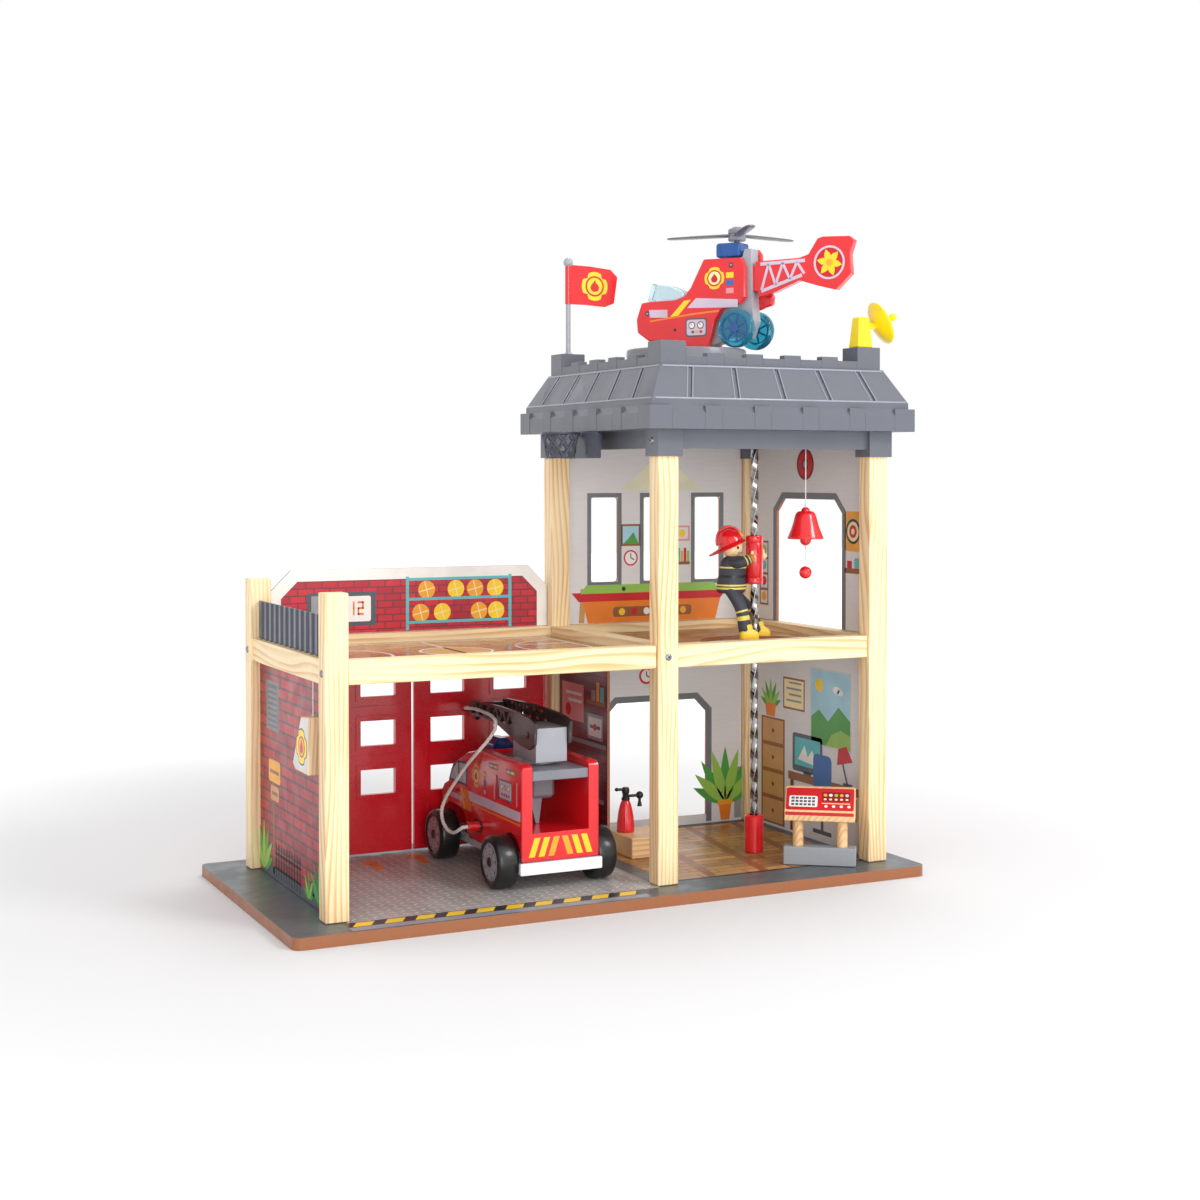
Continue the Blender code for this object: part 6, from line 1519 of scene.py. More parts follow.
@dataclass
class Walls:
    """Printed boards of the garage and the tower."""

    left_face: float = -0.2554
    divider_face: float = 0.0455
    back_face: float = 0.112
    side_face: float = 0.2687
    rounding: float = 0.0004
    windows: tuple[float, ...] = (98.5, 157.5, 216.5)

    def outside(self) -> list[Mark]:
        """Garage side: slatted vent, a board on a post, iron fence and shrubs.

        Returns:
            The prints.
        """
        marks = [box(-90, 10.6, 100, 21, Ink.SLATE), *frame_marks(48, 145, 80, 183, 3, Ink.STONE),
                 box(48, 145, 80, 183, Ink.SLATE)]
        marks += [box(49, 147 + row * 5, 79, 149.6 + row * 5, Ink.STONE, 1) for row in range(7)]
        marks += [
            box(58.5, 14, 62.5, 100, Ink.BROWN), soft(40, 96, 76, 116, 3, Ink.AMBER, 1),
            soft(44, 80, 70, 93, 3, Ink.TAN, 1), box(44, 104, 72, 107, Ink.BROWN, 2),
            box(48, 85, 66, 88, Ink.BROWN, 2),
        ]
        for y in range(-20, 54, 8):
            marks += [box(y, 13, y + 2.6, 40, Ink.BLACK, 1),
                      Mark(star(y + 1.3, 41, 3.2, 1.6, 4), Ink.BLACK, 1)]
        marks += [box(-22, z, 56, z + 2.4, Ink.BLACK, 1) for z in (20, 33)]
        for y, height, leaves, ink in ((92, 44, 7, Ink.GREEN), (-74, 40, 7, Ink.DEEP_GREEN),
                                       (-45, 24, 5, Ink.GREEN)):
            marks += plant_marks(y, 14, height, leaves, ink, 3)
        return marks

    def garage(self) -> list[Mark]:
        """Divider seen from the garage: a notice, a grey cabinet and shelves.

        Returns:
            The prints.
        """
        marks = [
            box(50, 132, 98, 168, Ink.PINK), box(54, 157, 90, 160, Ink.WHITE, 1),
            box(54, 150, 84, 153, Ink.WHITE, 1),
            dot(84, 142, 6, Ink.RED, 1), soft(8, 119, 42, 143, 3, Ink.GREY),
            soft(11, 122, 39, 140, 2, Ink.WHITE, 1),
            box(14, 129.4, 36, 132.6, Ink.SLATE, 2), dot(25, 131, 3.4, Ink.RED, 3),
            box(4, 152, 44, 156, Ink.BROWN),
            box(6, 156, 14, 170, Ink.TEAL), box(16, 156, 22, 174, Ink.AMBER), box(24, 156, 33, 166, Ink.GREY),
            box(2, 112, 100, 116, Ink.GREY), box(6, 60, 98, 64, Ink.GREY),
        ]
        for index, ink in enumerate((Ink.SLATE, Ink.AMBER, Ink.GREY, Ink.RED, Ink.SLATE)):
            marks.append(soft(10 + index * 18, 64, 24 + index * 18, 86 + 5 * (index % 2), 3, ink, 1))
        return marks

    def hall(self) -> list[Mark]:
        """Lower tower: doorway trim, a clock, a potted plant, a low cupboard and a notice.

        Returns:
            The prints.
        """
        return [
            *doorway_marks(99.5, 12, 215.5, 139.5),
            *clock_marks(146, 166, 8.5, 6.2, ((146, 170.6), (149.4, 164.4))),
            *plant_marks(238, 30, 58, 9, Ink.GREEN, 3),
            Mark(((230, 31), (246, 31), (243, 12), (233, 12)), Ink.ORANGE,
                                                             5),
            box(229, 28, 247, 33, Ink.AMBER, 6), box(249, 13, 257, 66, Ink.GREY),
            box(250.5, 40, 256, 62, Ink.PALE, 1),
            soft(66, 120, 92, 152, 2, Ink.CREAM), box(70, 144, 88, 147, Ink.BROWN, 1),
            box(70, 137, 84, 140, Ink.BROWN, 1), box(70, 130, 88, 133, Ink.BROWN, 1),
        ]

    def office(self) -> list[Mark]:
        """Lower right wall: drawers, plant, notices, a picture of hills, a screen, a chair and a desk.

        Returns:
            The prints.
        """
        marks = [box(45, 13, 90, 122, Ink.BROWN)]
        for foot in (13, 40.25, 67.5, 94.75):
            marks += [box(48, foot + 2, 87, foot + 25.25, Ink.TAN, 1),
                      dot(67.5, foot + 13.625, 2.2, Ink.UMBER, 2, 12)]
        marks += plant_marks(72, 132, 30, 7, Ink.GREEN, 1)
        marks.append(Mark(((64, 123), (80, 123), (82, 136), (62, 136)), Ink.ORANGE, 3))
        marks += frame_marks(10, 136, 46, 164, 2, Ink.BROWN) + [box(10, 136, 46, 164, Ink.CREAM)]
        marks += [box(14, 142 + row * 6, 42 - 5 * (row % 2), 144 + row * 6, Ink.GREY, 1) for row in range(4)]
        marks += frame_marks(-72, 106, -4, 179, 2, Ink.PALE) + [box(-72, 106, -4, 179, Ink.SKY)]
        hills = ((-72, 106), (-4, 106), (-4, 132), (-18, 140), (-34, 130), (-52, 146), (-72, 134))
        meadow = ((-72, 106), (-30, 106), (-40, 118), (-56, 124), (-72, 120))
        return marks + [
            Mark(hills, Ink.GREEN, 1), Mark(meadow, Ink.LIME, 2), dot(-18, 164, 6.5, Ink.YELLOW, 1),
            Mark(disc(-48, 162, 6, 0.6), Ink.WHITE, 1), Mark(disc(-55, 160, 5, 0.6), Ink.WHITE, 1),
            soft(-24, 74, 30, 112, 3, Ink.SLATE, 1), box(-20, 80, 26, 108, Ink.TEAL, 2),
            box(-4, 68, 10, 75, Ink.SLATE, 1),
            Mark(((-14, 83), (-6, 98), (2, 90), (8, 101), (20, 86)), Ink.WHITE, 3),
            soft(-40, 62, -8, 96, 6, Ink.BLUE, 4), soft(-44, 46, -4, 56, 4, Ink.BLUE, 4),
            box(-26, 22, -22, 62, Ink.SLATE, 3), box(-40, 18, -8, 22, Ink.SLATE, 4),
            box(-96, 64, 38, 72, Ink.BROWN, 2),
            box(-92, 13, -86, 64, Ink.UMBER, 2), box(28, 13, 34, 64, Ink.UMBER, 2),
            box(-84, 40, -56, 62, Ink.TAN, 2),
            Mark(bar(-68, 72, -58, 96, 2.4), Ink.SLATE, 3), box(-76, 72, -60, 74.5, Ink.SLATE, 3),
            Mark(((-76, 96), (-50, 90), (-52, 106), (-66, 110)), Ink.RED, 4),
        ]

    def lounge(self) -> list[Mark]:
        """Upper tower: window frames, a games table, framed shapes, a clock, books and a lamp's glow.

        Returns:
            The prints.
        """
        marks: list[Mark] = []
        for middle in self.windows:
            marks += frame_marks(middle - 14.75, 262.5, middle + 14.75, 347, 4.4, Ink.STONE)
        marks += [
            Mark(((153, 384), (173, 384), (210, 354), (116, 354)), Ink.GLOW),
            soft(150, 378, 176, 390, 4, Ink.SLATE, 1),
            Mark(slanted(70, 222, 6, 34, 2), Ink.TAN),
            Mark(((70, 243), (232, 243), (240, 252), (62, 252)), Ink.RED,
                                                            1),
            Mark(((72, 251), (230, 251), (224, 259.5), (78, 259.5)), Ink.LIME, 2),
            dot(120, 255, 2.2, Ink.DARK, 3, 14),
            dot(176, 256, 2.2, Ink.AMBER, 3, 14),
            Mark(((80, 221.5), (226, 221.5), (232, 243), (74, 243)), Ink.ORANGE,
                                                       1),
            soft(108, 227, 198, 237, 3, Ink.BROWN, 2),
        ]
        for index, ink in enumerate((Ink.YELLOW, Ink.RED, Ink.WHITE, Ink.BLUE, Ink.LIME, Ink.AMBER)):
            marks.append(dot(118 + index * 14, 232, 3.6, ink, 3, 16))
        marks += frame_marks(119, 300, 137, 318, 2, Ink.BROWN) + [box(119, 300, 137, 318, Ink.SKY)]
        marks.append(Mark(((119, 300), (137, 300), (131, 312), (125, 305)), Ink.GREEN, 1))
        marks += clock_marks(128, 286, 8, 6.4,
                             ((128, 291), (132, 284))) + [box(178, 278, 196, 281, Ink.BROWN)]
        for index, ink in enumerate((Ink.PINK, Ink.TEAL, Ink.AMBER, Ink.RED, Ink.LIME)):
            left = 178.5 + index * 3.5
            marks.append(box(left, 281, left + 2.8, 292 + 3 * (index % 2), ink))
        return marks + frame_marks(180, 304, 194, 316, 1.8, Ink.PINK) + [dot(187, 310, 4, Ink.YELLOW, 1)]

    def landing(self) -> list[Mark]:
        """Upper right wall: doorway trim, a round wall bell, a ringed target, a shelf and a rack.

        Returns:
            The prints.
        """
        marks = [
            *doorway_marks(-57.2, 221.5, 61.2, 345.7), dot(8, 380, 15.5, Ink.DEEP_RED, 0, 40),
            dot(8, 380, 12.5, Ink.RED, 1, 40), dot(8, 380, 6, Ink.DEEP_RED, 2), dot(8, 380, 3.6, Ink.GREY, 3),
            soft(-90, 297, -62, 335, 3, Ink.AMBER), dot(-76, 316, 12, Ink.DARK, 1, 32),
            dot(-76, 316, 9.4, Ink.CREAM, 2, 32),
            dot(-76, 316, 6.2, Ink.RED, 3), dot(-76, 316, 2.8, Ink.CREAM, 4),
            box(-92, 276, -62, 281, Ink.BROWN),
            soft(-86, 281, -78, 291, 2, Ink.TEAL), box(-74, 281, -66, 288, Ink.RED),
            *frame_marks(79, 238, 92, 300, 2, Ink.BROWN),
        ]
        marks += [box(79, 251 + 16 * row, 92, 253.5 + 16 * row, Ink.BROWN) for row in range(3)]
        for row, ink in enumerate((Ink.AMBER, Ink.RED, Ink.TEAL, Ink.LIME)):
            marks.append(dot(85.5, 245 + 16 * row, 4.6, ink, 1))
        return marks

    def build(self) -> None:
        """Dress the boards and print all their faces."""
        sheets = {
            "garage_side_wall": ("side_wall", Side.LEFT, RED_BRICKS, DARK_BRICKS),
            "divider_wall": ("divider", Side.LEFT, DARK_BRICKS, WALL_SHEET),
            "back_wall_lower": ("back_wall_lower", Side.FRONT, WALL_SHEET, RED_BRICKS),
            "back_wall_upper": ("back_wall_upper", Side.FRONT, WALL_SHEET, RED_BRICKS),
            "side_wall_lower": ("side_wall_lower", Side.LEFT, WALL_SHEET, RED_BRICKS),
            "side_wall_upper": ("side_wall_upper", Side.LEFT, WALL_SHEET, RED_BRICKS),
        }
        for node, (name, side, face, back) in sheets.items():
            dress_node(node, Board(name + "_print", side, face, back), self.rounding)
        for name, level, marks, node in (
            ("outer_wall_marks", self.left_face, self.outside(), "garage_side_wall"),
            ("divider_marks", self.divider_face, self.garage(), "divider_wall"),
            ("hall_marks", self.back_face, self.hall(), "back_wall_lower"),
            ("office_marks", self.side_face, self.office(), "side_wall_lower"),
            ("lounge_marks", self.back_face, self.lounge(), "back_wall_upper"),
            ("landing_marks", self.side_face, self.landing(), "side_wall_upper"),
        ):
            print_marks(name, "station", Face.on(sheets[node][1], level), marks)


@dataclass
class Terrace:
    """Games terrace over the garage: floor, back panel and corrugated railing."""

    floor_top: float = 0.212
    panel_face: float = 0.1145
    panel: tuple[float, ...] = (-243.3, 221.4, 35.9, 281.4)
    digits_foot: Point2 = (-168, 238)
    digits: tuple = (
        (4.4, 6, 6, 13), (4.4, 0, 6, 7), (9, 11, 15, 13), (13.4, 6, 15, 13), (9, 5.5, 15, 7.5),
        (9, 0, 10.6, 7),
        (9, 0, 15, 2),
    )
    balls: Outline = ((-96, 238), (-74, 238), (-36, 238), (-18, 238), (-90, 260), (-60, 260), (-40, 260),
                      (-19, 260))

    def court(self) -> list[Mark]:
        """Lines of the court on the floor.

        Returns:
            The prints.
        """
        return [
            *frame_marks(-228, -88, 20, 92, 3, Ink.PALE), Mark(arc(-104, 2, 34, 3, 0, 360, 48), Ink.PALE),
            box(-105.5, -88, -102.5, 92, Ink.PALE), Mark(arc(20, 2, 62, 3, 90, 270, 36), Ink.PALE),
            Mark(arc(-228, 2, 62, 3, -90, 90, 36), Ink.PALE), dot(-104, 2, 30, Ink.TAN, 0, 40),
            box(-36, -26, 20, -23, Ink.PALE), box(-36, 27, 20, 30, Ink.PALE),
        ]

    def rack(self) -> list[Mark]:
        """Score board with plain digits and a rack of balls on the panel.

        Returns:
            The prints.
        """
        x, z = self.digits_foot
        marks = [box(-208, 228, -141, 260, Ink.SLATE, 2), box(-204, 231, -174, 257, Ink.GREY, 3),
                 soft(-171, 232, -146, 256, 2, Ink.WHITE, 3)]
        marks += [box(x + part[0], z + part[1], x + part[2], z + part[3], Ink.ORANGE, 4)
                  for part in self.digits]
        marks += [box(left, 222, left + 3, 273, Ink.TEAL, 6) for left in (-111, -5)]
        marks += [box(-111, level, -2, level + 2.6, Ink.TEAL, 4) for level in (228, 250, 269)]
        for index, (x, z) in enumerate(self.balls):
            marks += [dot(x, z, 8.6, (Ink.AMBER, Ink.YELLOW)[index % 2], 2),
                      Mark(bar(x - 7.9, z - 2, x + 7.9, z + 2, 0.9), Ink.CREAM, 3),
                      Mark(bar(x - 2, z + 7.9, x + 2, z - 7.9, 0.9), Ink.CREAM, 4)]
        return marks

    def build(self) -> None:
        """Dress the boards and print the court, the panel's bricks and the ball rack."""
        dress_node("terrace_floor", Board("court_print", face=COURT, rough=0.16), 0.0003)
        dress_node("tower_floor", Board("tower_floor_print", face=PARQUET, back=WALL_SHEET), 0.0003)
        dress_node("terrace_panel", Board("panel_print", Side.FRONT, WALL_SHEET, RED_BRICKS), 0.0004)
        dress_node("terrace_railing", RAILING_GREY, 0.0003)
        print_marks("court_marks", "station", Face.on(Side.TOP, self.floor_top), self.court())
        face = Face.on(Side.FRONT, self.panel_face)
        left, low, right, high = self.panel
        bricks = Shape()
        bricks.plate(face, chamfered(left, low, right, high, 20), 0, Ink.WHITE.finish())
        brick_print = Board("panel_bricks", Side.FRONT, SMALL_BRICKS)
        bricks.plate(face, chamfered(left + 10.5, low, right - 10.5, high - 10.5, 15.6), 1, brick_print)
        bricks.keep("panel_bricks", "station")
        print_marks("panel_marks", "station", face, self.rack())


@dataclass
class GarageDoors:
    """Two glossy red leaves."""

    leaves: tuple[str, ...] = ("garage_door_left", "garage_door_right")

    def build(self) -> None:
        """Dress both leaves."""
        for name in self.leaves:
            dress_node(name, DOOR_RED, 0.0009, 3)


@dataclass
class RoofTop:
    """Grey roof moulding with its hoop, pad, flag and dish."""

    middle: Point2 = (0.1575, 0.002)
    turret_reach: float = 0.1025
    turret_top: float = 0.4878
    slope: Outline = ((0.134, 0.4355), (0.117, 0.467))
    slabs: int = 5
    slab_pitch: Point2 = (0.0485, 0.0436)
    slab_half: float = 0.0027
    board_low: Point3 = (0.0195, -0.0346, 0.385)
    board_high: Point3 = (0.0225, 0.038, 0.4092)
    hoop_ring: Point3 = (-0.0015, 0.0017, 0.408)
    hoop_radius: float = 0.0172
    hoop_foot: float = 0.3852
    hoop_foot_radius: float = 0.0128
    wire: float = 0.0014
    strands: int = 9
    pad: Point3 = (0.139, 0.0165, 0.4686)
    pad_radius: float = 0.0575
    pad_top: float = 0.4895
    pad_step: float = 0.0008
    flag_size: Point2 = (0.0535, 0.04)
    flag_top: float = 0.5762
    flag_half: float = 0.0012
    pole_top: float = 0.576
    pole_radius: float = 0.0024
    pole_ball: float = 0.0048
    dish_level: float = 0.509
    dish_radius: float = 0.0205
    dish_reach: float = 0.0115
    dish_deep: float = 0.006

    def hoop(self) -> None:
        """Backboard with a target line, ring and a net of crossing strands."""
        shape = Shape()
        low, high = self.board_low, self.board_high
        shape.prism(soft_rect(low[1], low[2], high[1], high[2], 0.002), "YZ", (low[0], high[0]), HOOP_GREY)
        x, y, z = self.hoop_ring
        for line in frame_marks(y - 0.011, 0.3895, y + 0.011, 0.4035, 0.0012, Ink.SLATE):
            shape.prism(line.outline, "YZ", (low[0] - 0.0005, low[0] + 0.0004), HOOP_GREY)
        shape.lathe(disc(self.hoop_radius, 0, self.wire, steps=12), (x, y, z), HOOP_GREY, steps=48,
                    closed=True)
        taper, drop = self.hoop_foot_radius - self.hoop_radius, self.hoop_foot + 0.0005 - z
        for way in (1, -1):
            for strand in range(self.strands):
                line = []
                for step in range(11):
                    share = step / 10
                    turn = 360 * (strand / self.strands + way * share * 0.17)
                    radius = self.hoop_radius + taper * math.sin(share * math.pi / 2)
                    line.append((*polar(x, y, radius, turn), z + drop * share))
                shape.tube(line, 0.00095, HOOP_GREY, sides=6)
        foot = disc(self.hoop_foot_radius, 0, 0.0007, steps=8)
        shape.lathe(foot, (x, y, self.hoop_foot + 0.0007), HOOP_GREY, steps=36, closed=True)
        arm, lug = 0.0028, 0.01
        shape.box((x + self.hoop_radius - 0.0006, y - arm, z - arm), (low[0] + 0.0008, y + arm, z), HOOP_GREY)
        shape.box((high[0] - 0.0005, y - lug, 0.4032), (0.0377, y + lug, high[2]), HOOP_GREY)
        shape.keep("basket_hoop", "station", ("hoop",))

    def landing_pad(self) -> None:
        """Round pad with a red rim, a pale ring and a cross of amber bars."""
        shape = Shape()
        tall, radius, step = self.pad_top - self.pad[2], self.pad_radius, self.pad_step
        profile = (
            (0, 0), (radius, 0), (radius, tall - 0.0022), (radius - 0.0006, tall - 0.0007),
            (radius - 0.002, tall),
            (radius - 0.0064, tall), (radius - 0.007, tall - step), (0, tall - step),
        )
        shape.lathe(profile, self.pad, DECK_GREY, steps=96)
        rim = Face.on(Side.TOP, self.pad_top, *self.pad[:2])
        shape.prints(rim, [Mark(arc(0, 0, 55.4, 5, 0, 360, 72), Ink.RED)])
        marks = [Mark(arc(0, 0, 46, 3.4, 0, 360, 72), Ink.WHITE)]
        for turn in (45, 135, 225, 315):
            marks.append(Mark(bar(*polar(0, 0, 20, turn), *polar(0, 0, 38, turn), 4), Ink.AMBER))
        shape.prints(rim.moved(Matrix.Translation((0, 0, -step))), marks)
        shape.keep("landing_pad", "station", ("helipad",))

    def flag(self) -> None:
        """Red flag with a notched yellow badge on a pale pole with a ball."""
        shape = Shape()
        x, y = self.middle[0] - self.turret_reach, self.middle[1] + self.turret_reach
        foot, half = self.turret_top - 0.0077, self.flag_half
        shape.lathe(stub(self.pole_radius, self.pole_top - foot), (x, y, foot), SILVER, steps=28)
        shape.ball((x, y, self.pole_top + self.pole_ball / 2), self.pole_ball, SILVER)
        shape.lathe(stub(0.0042, 0.0022, 0.0014, 0.001), (x, y, self.turret_top), SILVER, steps=28)
        shares = ((0, 1), (0.42, 0.985), (0.86, 0.93), (1, 0.75), (0.93, 0.1), (0.74, 0), (0.35, 0.03),
                  (0, 0.03))
        wide, tall = self.flag_size
        low = self.flag_top - tall
        outline = [(x + across * wide, low + up * tall) for across, up in shares]
        shape.prism(outline, "XZ", (y - half, y + half), RED_LACQUER)
        hem = [(x, y, low + tall * 0.03), (x, y, self.flag_top)]
        shape.tube(hem, self.pole_radius + 0.0007, RED_LACQUER, sides=20, ends=False)
        u, v = (x + wide * 0.53) / MM, (low + tall * 0.5) / MM
        marks = badge_marks(u, v, (14.2, 12, 10.2, 8.4, 11.5), (Ink.YELLOW, Ink.RED, Ink.YELLOW, Ink.RED),
                            steps=36)
        marks += [dot(*polar(u, v, 12.1, turn), 1, Ink.RED, 1, 12) for turn in (45, 135, 225, 315)]
        for side, level in ((Side.FRONT, y - half), (Side.BACK, y + half)):
            shape.prints(Face.on(side, level), marks)
        shape.keep("flag_on_pole", "flag", ("flag",), bevel=0.0004)

    def dish(self) -> None:
        """Yellow dish with a ribbed back and a feed ball, seated on the side of its tapered stand."""
        shape = Shape()
        x, y = self.middle[0] + self.turret_reach, self.middle[1] - self.turret_reach
        low, reach = self.turret_top + 0.0003, self.dish_reach
        share = (self.dish_level - 0.0032 - low) / (0.5166 - low)
        foot = x + (0.0165 + (0.0115 - 0.0165) * share) / 2 + 0.0003
        shape.lathe(stub(0.0032, reach, 0.0008, 0.001), (foot, y, self.dish_level), DISH_YELLOW, (1, 0, 0),
                    28)
        out = Matrix.Rotation(math.radians(-10), 3, "Z") @ Matrix.Rotation(math.radians(-25), 3,
                                                                           "Y") @ Vector((1, 0, 0))
        back = Vector((foot + reach * 0.75, y, self.dish_level))
        bowl = [(self.dish_radius * step / 14, self.dish_deep * (step / 14) ** 2) for step in range(15)]
        front = [(radius, 0.0016 + level) for radius, level in bowl]
        shape.lathe([*front, (self.dish_radius + 0.0004, 0.007), *bowl[::-1]], back, DISH_YELLOW, out, 64)
        end = back + out * 0.0206
        shape.tube([back + out * 0.0008, end], 0.001, DISH_YELLOW, sides=12)
        shape.ball(end, 0.0038, DISH_YELLOW)
        for ring in (0.0075, 0.014):
            lift = 0.0016 + self.dish_deep * (ring / self.dish_radius) ** 2
            shape.lathe(disc(ring, lift, 0.0003, steps=6), back, DISH_YELLOW, out, 48, True)
        shape.keep("yellow_dish", "dish", ("dish",))

    def reach(self, share: float) -> float:
        """Distance of a slope from the roof's middle at a share of its rise."""
        return self.slope[0][0] + (self.slope[1][0] - self.slope[0][0]) * share

    def spot(self, across: float, share: float) -> Vector:
        """Point on the front slope at a place across it and a share of its rise."""
        low, high = self.slope[0][1], self.slope[1][1]
        return Vector((across, -self.reach(share) - 0.0001, low + (high - low) * share))

    def slope_beads(self) -> None:
        """Rounded edges along the slabs and ledges of the four slopes, in a lighter grey that is a painted
        highlight.
        """
        shape = Shape()
        low, high = self.slab_pitch
        for quarter in range(4):
            turn = seat((*self.middle, 0), 90 * quarter)
            for index in range(self.slabs):
                place = index - (self.slabs - 1) / 2
                for edge in (-self.slab_half, self.slab_half):
                    start, stop = [place * (low + (high - low) * share) + edge for share in (0.05, 0.95)]
                    # The beads' lighter grey is a painted highlight on the slab edges and ledges.
                    shape.tube([self.spot(start, 0.06), self.spot(stop, 0.94)], 0.0006, ROOF_PAINTED_HIGHLIGHT, 8, turn)
            for share in (0.035, 0.955):
                half = self.reach(share) - 0.003
                shape.tube([self.spot(across, share) for across in (-half, 0, half)], 0.0009, ROOF_PAINTED_HIGHLIGHT, 8,
                           turn)
        shape.keep("roof_beads", "station")

    def build(self) -> None:
        """Dress the moulding and make what stands on it."""
        dress_node("roof", ROOF_GREY, 0.001, 3)
        self.slope_beads()
        dress_node("dish_stand", DISH_YELLOW, 0.001)
        self.hoop()
        self.landing_pad()
        self.flag()
        self.dish()


@dataclass
class SlidingPole:
    """Twisted pole with its cup and the sleeve that runs on it."""

    place: Point2 = (0.188, -0.029)
    size: float = 0.0058
    pitch: float = 0.076
    foot: float = 0.0135
    top: float = 0.4632
    steps: int = 260
    sleeve_ends: Point2 = (0.266, 0.312)
    sleeve_radius: float = 0.0083
    sleeve_edge: float = 0.001
    cup_foot: float = 0.0103
    cup_top: float = 0.0458

    def pole(self) -> None:
        """Twist a square bar with soft corners."""
        x, y = self.place
        half, tall = self.size / 2, self.top - self.foot
        section = soft_rect(-half, -half, half, half, self.size * 0.13)
        rings = []
        for step in range(self.steps + 1):
            share = step / self.steps
            turn = math.tau * share * tall / self.pitch + math.pi / 4
            cos, sin = math.cos(turn), math.sin(turn)
            level = self.foot + tall * share
            rings.append([Vector((x + u * cos - v * sin, y + u * sin + v * cos, level)) for u, v in section])
        shape = Shape()
        shape.solid(rings, CHROME)
        shape.keep("twisted_pole", "station", ("slide_pole",), smooth=60.0)

    def cup(self) -> None:
        """Turn the cup that holds the pole's foot."""
        tall, bore, wide = self.cup_top - self.cup_foot, 0.0047, 0.00915
        profile = (
            (0, 0.0029), (bore, 0.0029), (bore, tall - 0.0006), (bore + 0.0006, tall), (wide - 0.0012, tall),
            (wide, tall - 0.0014), (wide, 0.0006), (wide - 0.0006, 0), (0, 0),
        )
        shape = Shape()
        shape.lathe(profile, (*self.place, self.cup_foot), RED_LACQUER, steps=56)
        shape.keep("red_cup", "station", ("pole_cup",))

    def sleeve(self) -> None:
        """Turn the sleeve with its two grooves."""
        low, high = self.sleeve_ends
        tall, bore, wide, edge = high - low, 0.0046, self.sleeve_radius, self.sleeve_edge
        profile = [(bore, tall), (wide - edge, tall), (wide - edge * 0.3, tall - edge * 0.3),
                   (wide, tall - edge)]
        for level in (tall * 0.86, tall * 0.14):
            profile += [(wide, level + 0.0007), (wide - 0.0005, level), (wide, level - 0.0007)]
        profile += [(wide, edge), (wide - edge * 0.3, edge * 0.3), (wide - edge, 0), (bore, 0)]
        shape = Shape()
        shape.lathe(profile, (*self.place, low), RED_LACQUER, steps=56, closed=True)
        shape.keep("red_sleeve", "sleeve", ("slide_sleeve",))

    def build(self) -> None:
        """Make the pole, the cup and the sleeve."""
        self.pole()
        self.cup()
        self.sleeve()


@dataclass
class AlarmBell:
    """Red bell with its clapper and pull ball on one string."""

    place: Point2 = (0.2032, -0.095)
    rim: float = 0.3108
    crown: float = 0.3364
    radius: float = 0.0165
    wall: float = 0.0016
    bore: float = 0.0008
    top: float = 0.4637
    clapper: Point2 = (0.3098, 0.0052)
    pull: Point2 = (0.2797, 0.0058)

    def bell(self) -> None:
        """Turn the bell with a bead at its rim and a cap on its crown."""
        x, y = self.place
        tall, wall, bore = self.crown - self.rim, self.wall, self.bore
        shares = (
            (0.98, 0), (1, 0.03), (0.97, 0.09), (0.9, 0.2), (0.82, 0.33), (0.74, 0.48), (0.66, 0.66),
            (0.62, 0.76),
            (0.57, 0.87), (0.49, 0.95), (0.4, 0.985), (0.3, 1),
        )
        outer = [(self.radius * across, tall * up) for across, up in shares]
        inner = [(radius - wall, up - wall * 0.6) for radius, up in outer[2:]]
        profile = [(bore, tall), *outer[::-1], (outer[0][0] - wall * 0.8, 0), *inner, (bore, tall - wall)]
        cap = ((bore, 0), (0.0042, 0), (0.0036, 0.0022), (0.0022, 0.0036), (bore, 0.004))
        shape = Shape()
        shape.lathe(profile, (x, y, self.rim), RED_LACQUER, steps=64, closed=True)
        shape.lathe(disc(0.0162, 0.0014, 0.0004, 1.25, 8), (x, y, self.rim), RED_LACQUER, steps=64,
                    closed=True)
        shape.lathe(cap, (x, y, self.crown - 0.0004), RED_LACQUER, steps=36, closed=True)
        shape.keep("red_bell", "bell", ("bell",))

    def string(self) -> None:
        """Thread the string with the clapper, the pull ball and three knots."""
        x, y = self.place
        (pull, pull_size), (clapper, clapper_size) = self.pull, self.clapper
        shape = Shape()
        shape.tube([(x, y, level) for level in (pull, (pull + self.top) / 2, self.top)], 0.0005, STRING,
                   sides=8)
        shape.ball((x, y, clapper), clapper_size, RED_LACQUER)
        shape.ball((x, y, pull), pull_size, RED_LACQUER)
        knots = ((pull + pull_size, 0.0011), (clapper - clapper_size, 0.001), (self.crown + 0.005, 0.0012))
        for level, size in knots:
            shape.ball((x, y, level), size, STRING, steps=16)
        shape.keep("bell_string_and_balls", "bell", ("bell_string",))

    def build(self) -> None:
        """Make the bell and its string."""
        self.bell()
        self.string()


